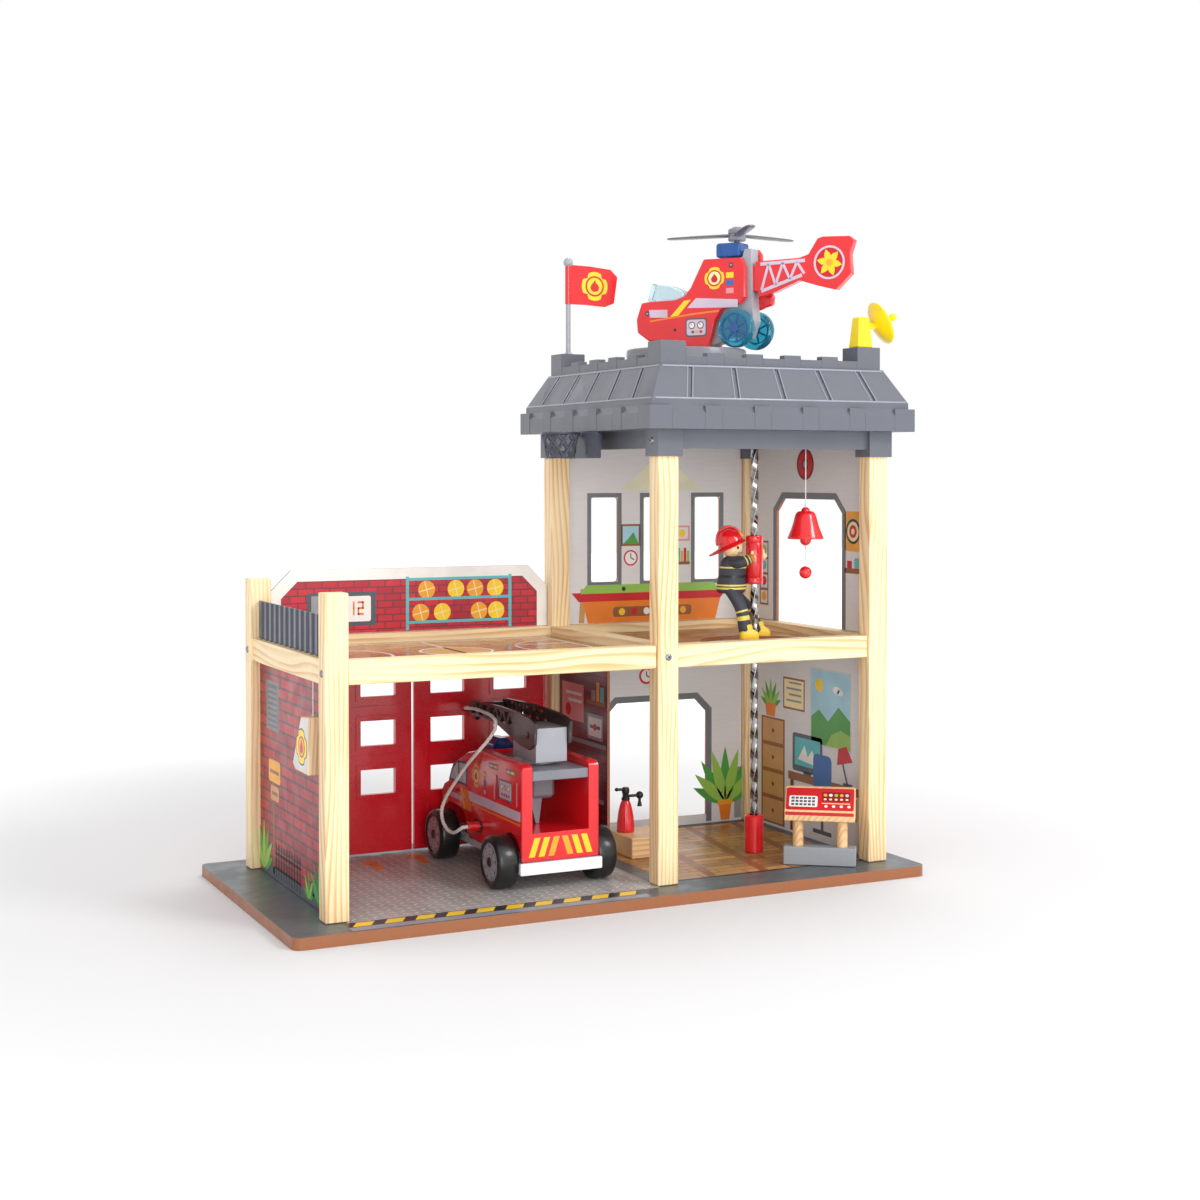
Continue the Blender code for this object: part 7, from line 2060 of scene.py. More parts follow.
@dataclass
class HangingTag:
    """Wooden tag with a plain badge, on a string outside the left wall."""

    outer: float = -0.268
    string: Point2 = (-0.261, -0.076)
    foot: float = 0.1716
    top: float = 0.2005
    badge: Point2 = (-66.5, 146)

    def build(self) -> None:
        """Dress the block, print its badge and hang it."""
        dress_node("tag_block", TAG_WOOD, 0.0012, 3)
        label = ((-64.8, 169.6), (-42.2, 130.4), (-48.4, 126), (-82.8, 126), (-85.6, 171.4))
        marks = [Mark(label, Ink.PALE), Mark(cog(*self.badge, 15.4, 13.2), Ink.DARK, 1)]
        marks += badge_marks(*self.badge, (14.2, 12, 8.8, 7.8, 11),
                             (Ink.YELLOW, Ink.DARK, Ink.AMBER, Ink.RED), 2)
        print_marks("tag_badge", "tag", Face.on(Side.LEFT, self.outer), marks)
        x, y = self.string
        shape = Shape()
        line = [(x, y, level) for level in (self.foot, (self.foot + self.top) / 2, self.top)]
        shape.tube(line, 0.0006, STRING, sides=10)
        shape.ball((x, y, self.foot + 0.0009), 0.0013, STRING, steps=16)
        shape.keep("tag_cord", "tag", ("tag_string",))


@dataclass
class ControlDesk:
    """Desk with a red sloping panel on dowel legs in a grey block."""

    place: Point2 = (0.1818, -0.0914)
    turn: float = -36.0
    slope_foot: Point2 = (0.0, 0.0605)
    slope_head: Point2 = (0.022, 0.079)

    def panel(self, long: float) -> list[Mark]:
        """Keys, lamps and buttons of the sloping panel.

        Args:
            long: the panel's length up the slope in millimetres.

        Returns:
            The prints.
        """
        marks = [
            soft(2, 1.2, 64.5, long - 1.2, 2, Ink.RED), soft(5, 5, 31, 18, 1.5, Ink.WHITE, 1),
            soft(35, 12, 61, 23, 1.5, Ink.DEEP_RED, 1), box(35, 9.2, 61, 10, Ink.CREAM, 1),
        ]
        for row in range(3):
            low = 6.5 + row * 3.8
            marks += [box(7 + col * 3.8, low, 9.8 + col * 3.8, low + 2.5, Ink.SLATE, 2) for col in range(6)]
        for col, ink in enumerate((Ink.AMBER, Ink.WHITE, Ink.LIME, Ink.AMBER, Ink.SKY)):
            marks += [dot(38 + col * 5, 19.4, 1.7, ink, 2, 14),
                      box(36.8 + col * 5, 13.4, 39.2 + col * 5, 15.4, Ink.CREAM, 2)]
        return marks + [dot(39 + col * 7, 6.2, 1.5, Ink.WHITE, 1, 14) for col in range(4)]

    def build(self) -> None:
        """Dress the blocks and print the panel and the front's strip."""
        dress_node("desk_top", BLOCK_WOOD, 0.0008)
        dress_node("desk_base", DESK_GREY, 0.0009)
        carry = seat((*self.place, 0), self.turn)
        rise = Vector((0, self.slope_head[0] - self.slope_foot[0], self.slope_head[1] - self.slope_foot[1]))
        up = rise.normalized()
        slope = Face(Vector((0, *self.slope_foot)), Vector((1, 0, 0)), up,
                     Vector((0, -up.z, up.y))).moved(carry)
        print_marks("desk_panel", "desk", slope, self.panel(rise.length / MM))
        strip = [box(2, 56.4, 64.5, 59.6, Ink.RED)]
        print_marks("desk_front", "desk", Face.on(Side.FRONT, 0).moved(carry), strip)


@dataclass
class Extinguisher:
    """Red bottle with a black valve on a wooden block."""

    place: Point2 = (0.077, 0.023)
    foot: float = 0.0298
    top: float = 0.0595
    radius: float = 0.0085
    valve_top: float = 0.0725
    pipe: float = 0.0014

    def bottle(self) -> None:
        """Turn the tapered bottle."""
        tall, wide = self.top - self.foot, self.radius
        shares = ((0.92, 0), (1, 0.03), (1, 0.12), (0.95, 0.34), (0.87, 0.54), (0.76, 0.72), (0.62, 0.87),
                  (0.5, 0.96),
                  (0.42, 1))
        shape = Shape()
        profile = [(0, 0), *[(wide * across, tall * up) for across, up in shares], (0, tall)]
        shape.lathe(profile, (*self.place, self.foot), RED_LACQUER, steps=48)
        shape.keep("red_bottle", "extinguisher", ("extinguisher_bottle",))

    def valve(self) -> None:
        """Stem, lever, bent pipe and horn."""
        x, y = self.place
        foot, level = self.top + 0.0003, self.valve_top - 0.0026
        stem = ((0, 0), (0.004, 0), (0.004, 0.002), (0.003, 0.0028), (0.003, 0.0062), (0.0036, 0.007),
                (0.0036, 0.0105),
                (0.0028, 0.0122), (0, 0.0124))
        shape = Shape()
        shape.lathe(stem, (x, y, foot), JET, steps=36)
        shape.tube([(x, y, level), (x - 0.0062, y, level + 0.0003), (x - 0.0104, y, level + 0.0005)], 0.0013,
                   JET,
                   sides=12)
        shape.ball((x - 0.0096, y, level + 0.0005), 0.0018, JET)
        out, turn = x + 0.015, foot + 0.0036
        elbow = (out, y, turn)
        shape.tube(smooth_path([(x, y, turn), (x + 0.0085, y, turn), elbow], 4), self.pipe, JET, sides=12)
        shape.tube([elbow, (out, y, turn - 0.005), (out, y, turn - 0.0092)], self.pipe, JET, sides=12)
        shape.ball(elbow, 0.0036, JET)
        shape.lathe(((0, 0), (0.0024, 0), (0.0017, 0.004), (0, 0.004)), (out, y, turn - 0.0106), JET,
                    steps=24)
        shape.keep("black_valve", "extinguisher", ("extinguisher_valve",))

    def build(self) -> None:
        """Dress the block and make the bottle and the valve."""
        dress_node("extinguisher_block", BLOCK_WOOD, 0.0011)
        self.bottle()
        self.valve()


@dataclass
class Engine:
    """Fire engine: body, prints, glass, wheels, ladder and nozzle."""

    middle: float = -0.0419
    width: float = 0.074
    rear: float = -0.0865
    nose: float = 0.1035
    axle_level: float = 0.0333
    axles: tuple = (("front_wheels", "truck_front_wheels", 0.0749),
                    ("rear_wheels", "truck_rear_wheels", -0.0609))
    track: float = 0.1146
    wheel_radius: float = 0.023
    wheel_width: float = 0.02
    slots: int = 9
    pin: Point2 = (-0.057, 0.141)
    nozzle: Point2 = (0.076, 0.15)
    spout: Point3 = (0.0, 0.03, -0.014)
    screen_top: Point3 = (0.0, 0.07595, 0.0987)
    screen_foot: Point3 = (0.0, 0.08716, 0.08082)

    def side_marks(self) -> list[Mark]:
        """Prints that both flanks carry, as Y and height.

        Returns:
            The prints.
        """
        marks = [
            box(-83, 70, 48, 78.5, Ink.LILAC), box(-83, 66.4, 44, 68.2, Ink.ORANGE),
            Mark(slanted(29, 60.5, 12, 18.5, 8), Ink.ORANGE, 1),
            Mark(slanted(43, 60.5, 5, 18.5, 8), Ink.AMBER, 1),
            box(52, 66.8, 88, 71.4, Ink.LILAC),
            soft(-34, 107.6, -13, 112.4, 1.5, Ink.SLATE), soft(-32.5, 108.8, -24, 111.2, 0.8, Ink.YELLOW, 1),
            soft(-22.5, 108.8, -14.5, 111.2, 0.8, Ink.PALE, 1),
            soft(-72, 107.6, -52, 112.4, 1.5, Ink.SLATE),
            soft(-70.5, 108.8, -62.5, 111.2, 0.8, Ink.YELLOW, 1),
            soft(-61, 108.8, -53.5, 111.2, 0.8, Ink.PALE, 1),
            soft(-65, 83.5, -36, 101.5, 2, Ink.SLATE), soft(-63.5, 85, -37.5, 100, 1.5, Ink.LILAC, 1),
            box(-26, 81, -24.6, 104, Ink.LILAC), box(-76, 82, -74.8, 103, Ink.LILAC),
            Mark(disc(12.5, 50.5, 11.5, 0.56, 32), Ink.DARK), soft(-34, 82, -29.5, 104, 2, Ink.DEEP_RED),
        ]
        for y, ink in ((-58, Ink.WHITE), (-50.5, Ink.AMBER), (-43, Ink.WHITE)):
            marks += gauge_marks(y, 95, 2.7, 2, ink, 2)
        marks += [box(-60 + col * 5, 87, -56.6 + col * 5, 89.6, (Ink.RED, Ink.SLATE)[col % 2], 2)
                  for col in range(4)]
        for z, ink in ((99.4, Ink.YELLOW), (92, Ink.BLUE), (83.8, Ink.PINK)):
            marks += gauge_marks(-3.6, z, 3.3, 2.4, ink, 0)
        marks += badge_marks(17, 95.5, (10.4, 9, 7.6, 6.2, 8.2), (Ink.AMBER, Ink.RED, Ink.CREAM, Ink.RED))
        return marks + [
            Mark(((39, 82), (85, 82), (78.5, 93), (66, 103), (39, 105)), Ink.DARK),
            Mark(((42, 84.2), (58.5, 84.2), (58.5, 101.8), (42, 102.6)), Ink.SKY, 1),
            Mark(((61, 84.2), (81, 84.2), (76.6, 92), (65.6, 100.6), (61, 101.4)), Ink.SKY, 1),
            Mark(bar(45, 86, 53, 100, 1.6), Ink.WHITE, 2), Mark(bar(64, 86, 70, 95, 1.4), Ink.WHITE, 2),
            soft(58, 74, 66, 76.6, 1, Ink.DARK, 1), soft(88, 58.5, 99, 66, 2.4, Ink.AMBER, 1),
            box(59, 42, 60, 82, Ink.DEEP_RED), box(37, 61, 37.9, 82, Ink.DEEP_RED),
        ]

    def rear_marks(self) -> list[Mark]:
        """Slanted bars of the rear panel, as offset from the middle and height.

        Returns:
            The prints.
        """
        marks = []
        for index, ink in enumerate((Ink.YELLOW, Ink.YELLOW, Ink.AMBER)):
            marks.append(Mark(slanted(-30.5 + index * 9.2, 39.5, 5.6, 16.5, 5.5), ink))
            marks.append(Mark(slanted(24.9 - index * 9.2, 39.5, 5.6, 16.5, -5.5), ink))
        return marks

    def front(self) -> None:
        """Windscreen, grille and headlights."""
        shape = Shape()
        rise = Vector(self.screen_top) - Vector(self.screen_foot)
        up, tall = rise.normalized(), rise.length / MM
        foot = Vector((self.middle, *self.screen_foot[1:]))
        screen = Face(foot, Vector((1, 0, 0)), up, Vector((0, up.z, -up.y)))
        shape.prints(screen, [soft(-32, 1.6, 32, tall - 1.2, 3, Ink.DARK),
                              soft(-30, 3.2, 30, tall - 2.8, 2.4, Ink.SKY, 1)])
        grille = [soft(-20, 42, 20, 60, 3, Ink.DARK)]
        grille += [soft(-18, 44 + row * 4, 18, 46.4 + row * 4, 1, Ink.GREY, 1) for row in range(4)]
        shape.prints(Face.on(Side.BACK, self.nose, self.middle), grille)
        ahead = (0, 1, 0)
        for x in (self.middle - 0.0285, self.middle + 0.0285):
            shape.lathe(stub(0.0058, 0.002, 0.0008, 0.0008), (x, self.nose - 0.0004, 0.052), BUMPER_WHITE,
                        ahead, 32)
            lens = ((0, 0), (0.0042, 0), (0.003, 0.0006), (0, 0.001))
            shape.lathe(lens, (x, self.nose + 0.0015, 0.052), Ink.CREAM.finish(), ahead, 28)
        shape.keep("engine_front", "truck")

    def wheel(self, shape: Shape, spot: Point3, side: int) -> None:
        """Smooth tyre with a slotted grey hub.

        Args:
            shape: the mesh that it joins.
            spot: its middle.
            side: the way that its hub looks along X.
        """
        half, radius, way = self.wheel_width / 2, self.wheel_radius, (side, 0, 0)
        plate, low, inset = radius * 0.74, half - 0.0012, half - 0.0008
        tyre = (
            (0, -low), (0.015, -low), (0.0162, -half), (0.02, -half), (0.022, 0.001 - half),
            (radius, 0.003 - half),
            (radius, half - 0.0034), (0.0224, half - 0.0016), (0.0208, half - 0.0003), (0.0196, half),
            (0.0182, half),
            (plate, half - 0.0006), (plate - 0.0004, low), (0, low),
        )
        shape.lathe(tyre, spot, RUBBER, way, 96)
        cover = ((0, low), (plate - 0.0006, low), (plate - 0.001, half - 0.0006), (0, half - 0.0006))
        shape.lathe(cover, spot, SILVER, way, 72)
        for inner, outer in ((0.015, 0.0155), (0.0066, 0.007)):
            line = rect(inner, half - 0.0007, outer, half - 0.00052)
            shape.lathe(line, spot, Ink.DARK.finish(), way, 64, True)
        hub = ((0, inset), (0.0046, inset), (0.0044, half - 0.0002), (0.0034, half - 0.0001),
               (0.003, half - 0.0004),
               (0, half - 0.0003))
        shape.lathe(hub, spot, JET, way, 40)
        for index in range(self.slots):
            spin = seat(spot, side * 90, "Y") @ Matrix.Rotation(math.tau * index / self.slots, 4, "Z")
            shape.box((0.0128, -0.0016, inset), (0.0141, 0.0016, half - 0.00053), JET, spin)
            shape.box((0.0086, -0.0005, inset), (0.0112, 0.0005, half - 0.00053), Ink.SLATE.finish(), spin)

    def wheel_pair(self, node: str, body: str, y: float) -> None:
        """Two wheels on their axle.

        Args:
            node: the CAD node that they stand for.
            body: the body that they spin with.
            y: where their axle is.
        """
        shape = Shape()
        reach = (self.track - self.wheel_width) / 2
        ends = [(self.middle - reach, y, self.axle_level), (self.middle + reach, y, self.axle_level)]
        shape.tube(ends, 0.0026, SILVER, sides=20, ends=False)
        for side, spot in zip((-1, 1), ends):
            self.wheel(shape, spot, side)
        shape.keep(node + "_and_hubs", body, (node,))

    def turret(self) -> None:
        """Pivot caps on the block that carries the ladder."""
        shape = Shape()
        for side in (-1, 1):
            place = (self.middle + side * 0.0154, *self.pin)
            shape.lathe(stub(0.004, 0.0032, 0.0008, 0.0006), place, JET, (side, 0, 0), 36)
        shape.keep("turret_caps", "turntable")

    def nozzle_piece(self) -> None:
        """Black nozzle between the ladder's plates."""
        x, (y, z) = self.middle, self.nozzle
        shape = Shape()
        shape.tube([(x + across, y, z) for across in (-0.0187, 0, 0.0187)], 0.0017, JET, sides=20, ends=False)
        shape.box((x - 0.0151, y - 0.004, z - 0.004), (x + 0.0151, y + 0.004, z + 0.004), JET)
        way = Vector(self.spout)
        long = way.length
        shares = (
            (0, 0), (0.0034, 0), (0.0032, 0.3), (0.0038, 0.34), (0.0038, 0.44), (0.0029, 0.48),
            (0.0024, 0.86),
            (0.0029, 0.9), (0.0029, 1), (0.0016, 1), (0.0014, 0.93), (0, 0.93),
        )
        shape.lathe([(radius, long * share) for radius, share in shares], (x, y, z), JET, way.normalized(),
                    36)
        shape.keep("black_nozzle", "ladder", ("hose_nozzle",), bevel=0.0005)

    def build(self) -> None:
        """Dress the engine's nodes, print its flanks and build its wheels."""
        dress_node("truck_body", RED_LACQUER, 0.001, 3)
        dress_node("truck_chassis", BUMPER_WHITE, 0.0009)
        dress_node("truck_deck", DECK_GREY, 0.0008)
        dress_node("truck_beacon", BLUE_GLASS, 0.0008, 3)
        dress_node("ladder_turntable", SILVER, 0.0009)
        dress_node("ladder", LADDER_DARK, 0.0005)
        half = self.width / 2
        for side, name, level in ((Side.LEFT, "left", self.middle - half),
                                  (Side.RIGHT, "right", self.middle + half)):
            print_marks(f"engine_{name}_marks", "truck", Face.on(side, level), self.side_marks())
        rear = Face.on(Side.FRONT, self.rear, self.middle)
        print_marks("engine_rear_marks", "truck", rear, self.rear_marks())
        self.front()
        for node, body, y in self.axles:
            self.wheel_pair(node, body, y)
        self.turret()
        self.nozzle_piece()


@dataclass
class Helicopter:
    """Helicopter on the pad, in its own frame with the nose along X."""

    place: Point3 = (0.1836, -0.0209, 0.4898)
    turn: float = 122.16
    shell_out: float = 0.014
    mast: float = 0.0101
    blade_level: float = 0.1085
    rotor_radius: float = 0.071
    hub_radius: float = 0.0085
    wheel_radius: float = 0.0184
    wheel_track: float = 0.0507
    wheel_width: float = 0.01
    tail_half: float = 0.0038
    fan: Point3 = (-87.7, 76.6, 14.0)
    carry: Matrix = field(init=False)

    def __post_init__(self) -> None:
        """Work out where the helicopter's own frame stands."""
        self.carry = seat(self.place, self.turn)

    def face(self, side: int, level: float) -> Face:
        """Face square to the helicopter's Y, at a level on one side."""
        return Face.on(Side.BACK if side > 0 else Side.FRONT, side * level).moved(self.carry)

    def shell_marks(self) -> list[Mark]:
        """Prints of both flanks, as X and height.

        Returns:
            The prints.
        """
        marks = [
            *badge_marks(27, 67.5, (10.6, 9.2, 7.8, 6.4, 8.6), (Ink.YELLOW, Ink.RED, Ink.CREAM, Ink.RED)),
            box(6.5, 67, 14.5, 72.2, Ink.YELLOW), box(6.5, 59.6, 14.5, 64.8, Ink.BLUE),
            box(6.5, 52.4, 14.5, 57.4, Ink.PINK),
            Mark(((56.5, 40.5), (47, 49.5), (2, 46.2), (2, 38.7)), Ink.LILAC),
            Mark(((75.5, 32.6), (60, 47.6), (52.5, 48.4), (68, 32)), Ink.YELLOW),
            Mark(((99, 40.6), (78.5, 39.8), (78.5, 32.2), (98, 33.2)), Ink.LILAC),
            Mark(((98, 28.6), (98, 30.2), (53.5, 35), (22, 37.2), (22, 35.4), (53.5, 33.2)), Ink.ORANGE),
            soft(35, 12.5, 58.5, 30.5, 3, Ink.SLATE), soft(36.5, 14, 57, 29, 2.4, Ink.LILAC, 1),
            dot(70, 20, 1.5, Ink.DARK, 0, 14),
        ]
        for x in (42, 51.5):
            marks += [*gauge_marks(x, 23.6, 3.6, 2.7, Ink.WHITE, 2),
                      Mark(bar(x, 23.6, x + 1.2, 25.6, 0.7), Ink.RED, 4)]
        for col, ink in enumerate((Ink.RED, Ink.AMBER, Ink.SLATE)):
            marks.append(box(40 + col * 4.4, 16, 43 + col * 4.4, 18.4, ink, 2))
        return marks

    def flank(self, side: int, name: str) -> None:
        """Prints and screws of one flank, each on a black disc that is painted shade of its recess.

        Args:
            side: the way that it looks along the helicopter's Y.
            name: the flank's name.
        """
        shape = Shape()
        shape.prints(self.face(side, self.shell_out), self.shell_marks())
        for x, z in ((9.2, 79), (101, 36.9)):
            spot = self.carry @ Vector((x * MM, side * (self.shell_out - 0.0002), z * MM))
            out = self.carry.to_3x3() @ Vector((0, side, 0))
            # The black disc under each screw head is painted shade standing for the recess it sits in.
            shape.lathe(stub(0.0024, 0.0003), spot, JET, out, 24)
            shape.lathe(((0, 0), (0.0017, 0), (0.0014, 0.0006), (0, 0.0007)), spot, STEEL, out, 20)
        shape.keep(f"heli_{name}_marks", "helicopter")

    def tail(self, side: int, name: str) -> None:
        """Lattice and fan on one side of the tail.

        Args:
            side: the way that it looks along the helicopter's Y.
            name: the side's name.
        """
        shape = Shape()
        arm = [Mark(bar(-17, 79.2, -63, 80, 3.2), Ink.LILAC, 8),
               Mark(bar(-18, 53.5, -60, 66.5, 3.2), Ink.LILAC, 8)]
        for index in range(6):
            x, high, low = -18 - index * 7.4, 79, 54.5 + 2.2 * (index + 0.5)
            start, stop = (high, low + 1.2) if index % 2 else (low - 1.2, high)
            arm.append(Mark(bar(x, start, x - 7.4, stop, 2.4), Ink.LILAC, 8))
        shape.prints(self.face(side, self.tail_half), arm)
        x, z, radius = self.fan
        well = [dot(x, z, radius - 0.5, Ink.RED, 0, 48)]
        well += [Mark(leaf(*polar(x, z, 1.5, turn), 11.4, 6.4, turn), Ink.YELLOW, 8)
                 for turn in range(12, 372, 60)]
        shape.prints(self.face(side, self.tail_half - 0.0009), [*well, dot(x, z, 3.2, Ink.AMBER, 12, 24)])
        shape.prints(self.face(side, self.tail_half),
                     [Mark(arc(x, z, radius + 1.6, 2, 0, 360, 56), Ink.LILAC, 5)])
        shape.keep(f"heli_tail_{name}_work", "helicopter")

    def rotor(self) -> None:
        """Grey hub with a cap nut and three blades with ribs."""
        shape = Shape()
        carry = self.carry @ Matrix.Translation((self.mast, 0, 0))
        wide, foot = self.hub_radius, (0, 0, 0)
        profile = (
            (0, 0.103), (wide - 0.0008, 0.103), (wide, 0.1038), (wide, 0.1068), (wide - 0.0012, 0.1078),
            (wide - 0.0012, 0.1096), (wide, 0.1104), (wide, 0.1134), (wide - 0.001, 0.1146),
            (wide * 0.62, 0.115),
            (wide * 0.56, 0.1158), (wide * 0.4, 0.1165), (0, 0.1165),
        )
        shape.lathe(profile, foot, DECK_GREY, steps=56, matrix=carry)
        shape.lathe(((0, 0.0806), (0.0026, 0.0806), (0.0026, 0.1035), (0, 0.1035)), foot, DECK_GREY, steps=28,
                    matrix=carry)
        stations = (
            (0.06, 0.0034, 0.0015), (0.16, 0.0036, 0.0015), (0.26, 0.0054, 0.0014), (0.6, 0.0058, 0.0013),
            (0.9, 0.005, 0.0011), (0.975, 0.0038, 0.0009), (1, 0.002, 0.0007),
        )
        level = self.blade_level
        for index in range(3):
            spin = carry @ Matrix.Rotation(math.radians(8 + 120 * index), 4, "Z")
            rings = []
            for share, half, thick in stations:
                along, slim, low = self.rotor_radius * share, half * 0.6, thick * 0.4
                section = ((-half, -low), (-slim, -thick), (slim, -thick), (half, -low), (half, low),
                           (slim, thick),
                           (-slim, thick), (-half, low))
                rings.append([spin @ Vector((along, across, level + up)) for across, up in section])
            shape.solid(rings, ROOF_GREY)
            shape.box((0.01, -0.0009, level + 0.001), (0.048, 0.0009, level + 0.0017), ROOF_GREY, spin)
        shape.keep("grey_rotor", "rotor", ("heli_rotor",), smooth=35.0)

    def wheels(self) -> None:
        """See-through wheels with cast spokes and a dark hub."""
        shape = Shape()
        half, radius, deep = self.wheel_track / 2, self.wheel_radius, self.wheel_width
        carry = self.carry @ Matrix.Translation((0, 0, radius))
        shape.tube([(0, 0.002 - half, 0), (0, half - 0.002, 0)], 0.0022, DECK_GREY, 20, carry, ends=False)
        profile = (
            (0, 0.0006), (radius * 0.8, 0.0006), (radius * 0.84, 0), (radius - 0.0022, 0),
            (radius - 0.0006, 0.001),
            (radius, 0.0026), (radius, deep - 0.0026), (radius - 0.0006, deep - 0.001),
            (radius - 0.0022, deep),
            (radius * 0.76, deep), (radius * 0.72, deep - 0.0014), (0, deep - 0.0014),
        )
        outer, inner, low, high = radius * 0.74, radius * 0.69, deep - 0.0016, deep - 0.0002
        loop = ((outer, low), (outer, high), (inner, high), (inner, low))
        hub = ((0, low), (0.0046, low), (0.0042, deep - 0.0003), (0, deep))
        for side in (-1, 1):
            foot, way = (0, side * (half - deep), 0), (0, side, 0)
            shape.lathe(profile, foot, TEAL_GLASS, way, 64, matrix=carry)
            shape.lathe(loop, foot, WHEEL_BLUE, way, 56, True, carry)
            shape.lathe(hub, foot, WHEEL_BLUE, way, 36, matrix=carry)
            for index in range(7):
                spin = carry @ seat((0, side * (half - 0.0009), 0), 360 * index / 7, "Y")
                shape.box((0.004, -0.0005, -0.0009), (radius * 0.7, 0.0005, 0.0009), WHEEL_BLUE, spin)
        shape.keep("teal_wheels", "helicopter_wheels", ("heli_wheels",))

    def build(self) -> None:
        """Dress the helicopter's nodes and build its moving pieces."""
        for name in ("heli_port_shell", "heli_starboard_shell", "heli_tail"):
            dress_node(name, RED_LACQUER, 0.0009, 3)
        dress_node("heli_core", SILVER, 0.0007)
        dress_node("heli_canopy", CLEAR_BLUE, 0.001, 3)
        dress_node("heli_light", LAMP_BLUE, 0.0006)
        for side, name in ((1, "port"), (-1, "starboard")):
            self.flank(side, name)
            self.tail(side, name)
        self.rotor()
        self.wheels()


@dataclass
class Firefighter:
    """Figure that holds the pole, in a frame on the pole's axis facing along X."""

    place: Point2 = (0.188, -0.029)
    turn: float = -26.16
    sleeve_radius: float = 0.0083
    head: Point3 = (-0.021, 0.0, 0.3005)
    head_radius: float = 0.01
    glance: float = 34.0
    limb: float = 0.0048
    leg: float = 0.0062
    arms: tuple[Path, ...] = (
        mm((-21.5, -8, 286), (-15, -15.2, 286.5), (-5, -13, 290.5)),
        mm((-21.5, 8, 286), (-8, 17.2, 287), (7.2, 13, 291.2)),
    )
    hands: Path = mm((-3.5, -12.5, 291), (8.8, 11.8, 292))
    legs: tuple[Path, ...] = (
        mm((-24, -6.8, 262), (-16.5, -10.5, 250), (-12.5, -12.2, 240), (-10, -12.5, 224)),
        mm((-24, 6.8, 262), (-12.5, 11, 250), (-3, 12.5, 239), (3.5, 12.5, 222.5)),
    )
    boots: Path = mm((-6.2, -12.5, 219.9), (6.8, 12.5, 220.7))
    boot_rows: Path = mm(
        (-5.2, -7.8, 8.8, 5.2), (-4.4, -8.4, 9.4, 5.8), (-1, -8.4, 9.4, 5.8), (1.6, -8.2, 8, 5.6),
        (4, -7.8, 3.6, 5.4),
        (7.4, -7.4, 3, 5.6), (8.6, -7, 2.6, 5),
    )
    brim_rows: Path = mm((13.4, 23.6, 16, -2.2), (14, 24.3, 16.6, -1.4), (13.6, 23.8, 16.2, -0.6),
                         (12.6, 14, 13, 0.8))
    carry: Matrix = field(init=False)

    def __post_init__(self) -> None:
        """Work out where the figure's own frame stands."""
        self.carry = seat((*self.place, 0), self.turn)

    def face_work(self) -> None:
        """Wooden head with dot eyes, short brows and a small mouth."""
        shape = Shape()
        radius = self.head_radius
        shape.ball(self.head, radius, SKIN_WOOD, matrix=self.carry, steps=48)
        for side in (-1, 1):
            for turn, rise, size, stretch in ((27, 2, 0.00125, (0.35, 1, 1.25)),
                                              (28, 19, 0.0011, (0.3, 1.6, 0.45))):
                spin = seat(self.head, side * turn - self.glance) @ seat((0, 0, 0), -rise, "Y")
                spot = self.carry @ spin @ Matrix.Translation((radius - 0.0001, 0, 0))
                shape.ball((0, 0, 0), size, JET, stretch, spot, 20)
        line = []
        for step in range(9):
            swing = -22 + 44 * step / 8
            dip = math.radians(-24 - 6 * math.cos(math.radians(swing * 3)))
            x, y = polar(self.head[0], 0, radius * math.cos(dip), swing - self.glance)
            line.append((x, y, self.head[2] + radius * math.sin(dip)))
        shape.tube(line, 0.00032, Ink.DEEP_RED.finish(), sides=8, matrix=self.carry)
        shape.keep("wooden_head", "firefighter", ("firefighter_head",))

    def helmet(self) -> None:
        """Red helmet with a long rear brim, a ridge and a plain front shield."""
        shape = Shape()
        tilt = self.carry @ seat((-0.0218, 0, 0.3035), -24, "Y")
        inner = (self.head_radius + 0.0005) * 0.98
        rows = [(inner, inner, inner, -0.0004), *self.brim_rows]
        for step in range(9):
            angle = math.pi / 2 * (step + 0.6) / 9.4
            wide = 0.0126 * math.cos(angle) ** 0.9
            rows.append((wide, wide, wide, 0.0008 + 0.0155 * math.sin(angle)))
        rings = []
        for front, back, side, level in rows:
            egg = [(x * (front if x > 0 else back), y * side) for x, y in disc(0, 0, 1, steps=48)]
            rings.append([tilt @ Vector((x, y, level)) for x, y in egg])
        shape.solid([*rings, [tilt @ Vector((0, 0, 0.0166))]], RED_LACQUER)
        turns = [math.radians(angle) for angle in range(14, 170, 6)]
        spine = [(0.0132 * math.cos(turn), 0, 0.0006 + 0.0172 * math.sin(turn)) for turn in turns]
        shape.tube(spine, 0.0011, RED_LACQUER, 12, tilt)
        turns = [math.radians(angle) for angle in range(16, 166, 10)]
        for half in (-0.0075, 0.0075):
            rib = [(0.01 * math.cos(turn), half * math.sin(turn) ** 0.5,
                    0.001 + 0.0142 * math.sin(turn)) for turn in turns]
            shape.tube(rib, 0.0006, RED_LACQUER, 8, tilt)
        front = tilt @ seat((0.0121, 0, 0.0056), 68, "Y")
        shape.slab(disc(0, 0, 0.004, 0.85, 24), (-0.001, 0.0008), Ink.AMBER.finish(), front)
        shape.keep("red_helmet", "firefighter", ("firefighter_helmet",), smooth=50.0)

    def clear_of_pole(self, shape: Shape) -> None:
        """Push what would enter the sleeve out to just clear of it.

        Args:
            shape: the figure's mesh.
        """
        room = self.sleeve_radius + 0.0005
        for vert in shape.bm.verts:
            dx, dy = vert.co.x - self.place[0], vert.co.y - self.place[1]
            far = math.hypot(dx, dy)
            if 1e-9 < far < room:
                vert.co.x = self.place[0] + dx / far * room
                vert.co.y = self.place[1] + dy / far * room

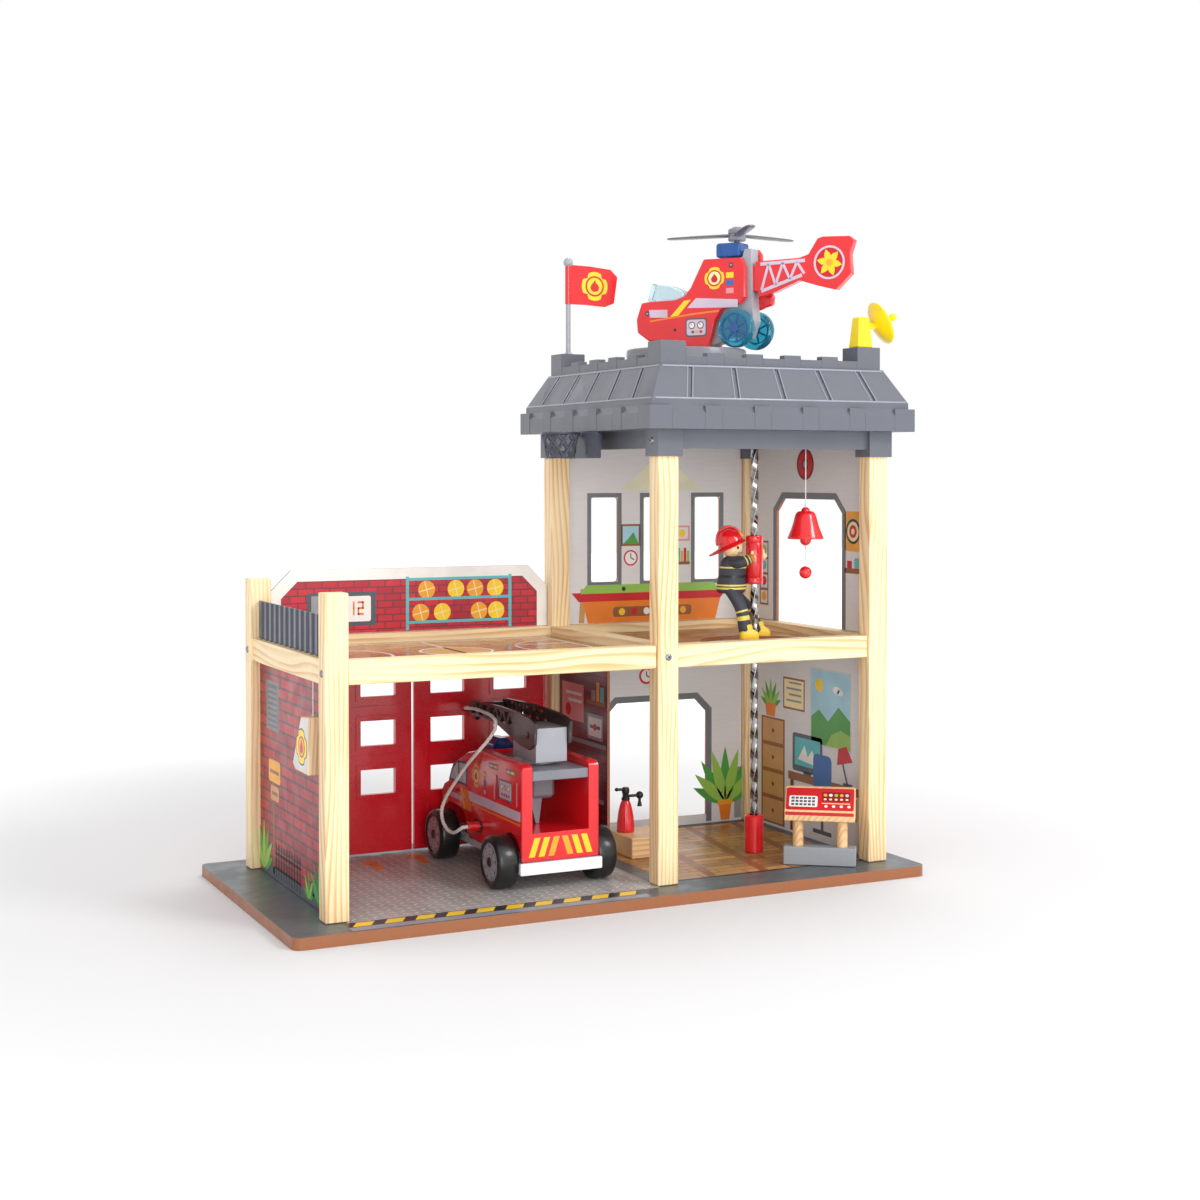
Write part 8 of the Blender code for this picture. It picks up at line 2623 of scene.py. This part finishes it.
    def coat(self, shape: Shape) -> None:
        """Slate coat with pale bands and a black belt.

        Args:
            shape: the mesh that it joins.
        """
        band, sides = Ink.STRAW.finish(), 48
        rows = (
            (0.2574, 0.0118, 0.0112, COAT_CLOTH), (0.2592, 0.0136, 0.0128, COAT_CLOTH),
            (0.2612, 0.014, 0.0131, band),
            (0.263, 0.0141, 0.0132, COAT_CLOTH), (0.2642, 0.0141, 0.0132, band),
            (0.2658, 0.0141, 0.0132, COAT_CLOTH),
            (0.27, 0.0137, 0.0129, COAT_CLOTH), (0.2722, 0.0136, 0.0128, JET),
            (0.2748, 0.0136, 0.0128, COAT_CLOTH),
            (0.28, 0.0134, 0.0127, COAT_CLOTH), (0.2812, 0.0133, 0.0127, band),
            (0.2826, 0.0132, 0.0126, COAT_CLOTH),
            (0.287, 0.0126, 0.012, COAT_CLOTH), (0.2905, 0.0104, 0.01, COAT_CLOTH),
            (0.2925, 0.0074, 0.0072, COAT_CLOTH),
        )
        rings = []
        for level, wide, deep, _ in rows:
            x = -0.0205 - (0.2765 - level) * 0.1
            rings.append([self.carry @ Vector((x + u * wide, v * deep, level)) for u,
                          v in disc(0, 0, 1, steps=sides)])
        first = shape.solid(rings, COAT_CLOTH)
        for index, row in enumerate(rows[:-1]):
            shape.band(first + index * sides, first + (index + 1) * sides, row[3])

    def body(self) -> None:
        """Coat, gloved hands, trousers with cuffs and yellow boots."""
        shape = Shape()
        self.coat(shape)
        band, trim = Ink.STRAW.finish(), Ink.ORANGE.finish()
        for path in self.arms:
            bands = ((0.7, 0.75, band), (0.8, 0.85, band), (0.9, 1, trim))
            shape.tube(smooth_path(path, 10), self.limb, COAT_CLOTH, 20, self.carry, bands)
        for path in self.legs:
            bands = ((0.6, 0.65, band), (0.7, 0.76, band))
            shape.tube(smooth_path(path, 8), self.leg * 0.97, COAT_CLOTH, 22, self.carry, bands)
        for x, y, z in self.hands:
            shape.ball((x, y, z), 0.004, SKIN_WOOD, (1.05, 0.85, 0.95), self.carry, 24)
            shape.tube([(x, y, z), (x + 0.0006, y * 0.97, z + 0.0058)], 0.0014, SKIN_WOOD, 12, self.carry)
        for x, y, z in self.boots:
            rings = []
            for level, back, toe, half in self.boot_rows:
                outline = soft_rect(x + back, y - half, x + toe, y + half, min(half, 0.0036))
                rings.append([self.carry @ Vector((u, v, z + level)) for u, v in outline])
            shape.solid(rings, BOOT_YELLOW)
            sole = soft_rect(x - 0.0086, y - 0.006, x + 0.0096, y + 0.006, 0.0036)
            shape.slab(sole, (z - 0.00525, z - 0.0038), Ink.AMBER.finish(), self.carry)
        self.clear_of_pole(shape)
        shape.keep("dressed_body", "firefighter", ("firefighter_body",), smooth=50.0)

    def build(self) -> None:
        """Head, helmet and dressed body."""
        self.face_work()
        self.helmet()
        self.body()


def main() -> None:
    """Build the studio, then each sub-assembly in order."""
    logging.basicConfig(level=logging.INFO, format="%(name)s: %(message)s")
    Studio().build()
    RopeHose().build()
    for assembly in (
        Baseplate(), Timber(), Walls(), Terrace(), GarageDoors(), RoofTop(), SlidingPole(), AlarmBell(),
        HangingTag(),
        ControlDesk(), Extinguisher(), Engine(), Helicopter(), Firefighter(),
    ):
        LOG.info("making %s", type(assembly).__name__)
        assembly.build()


if __name__ == "__main__":
    main()
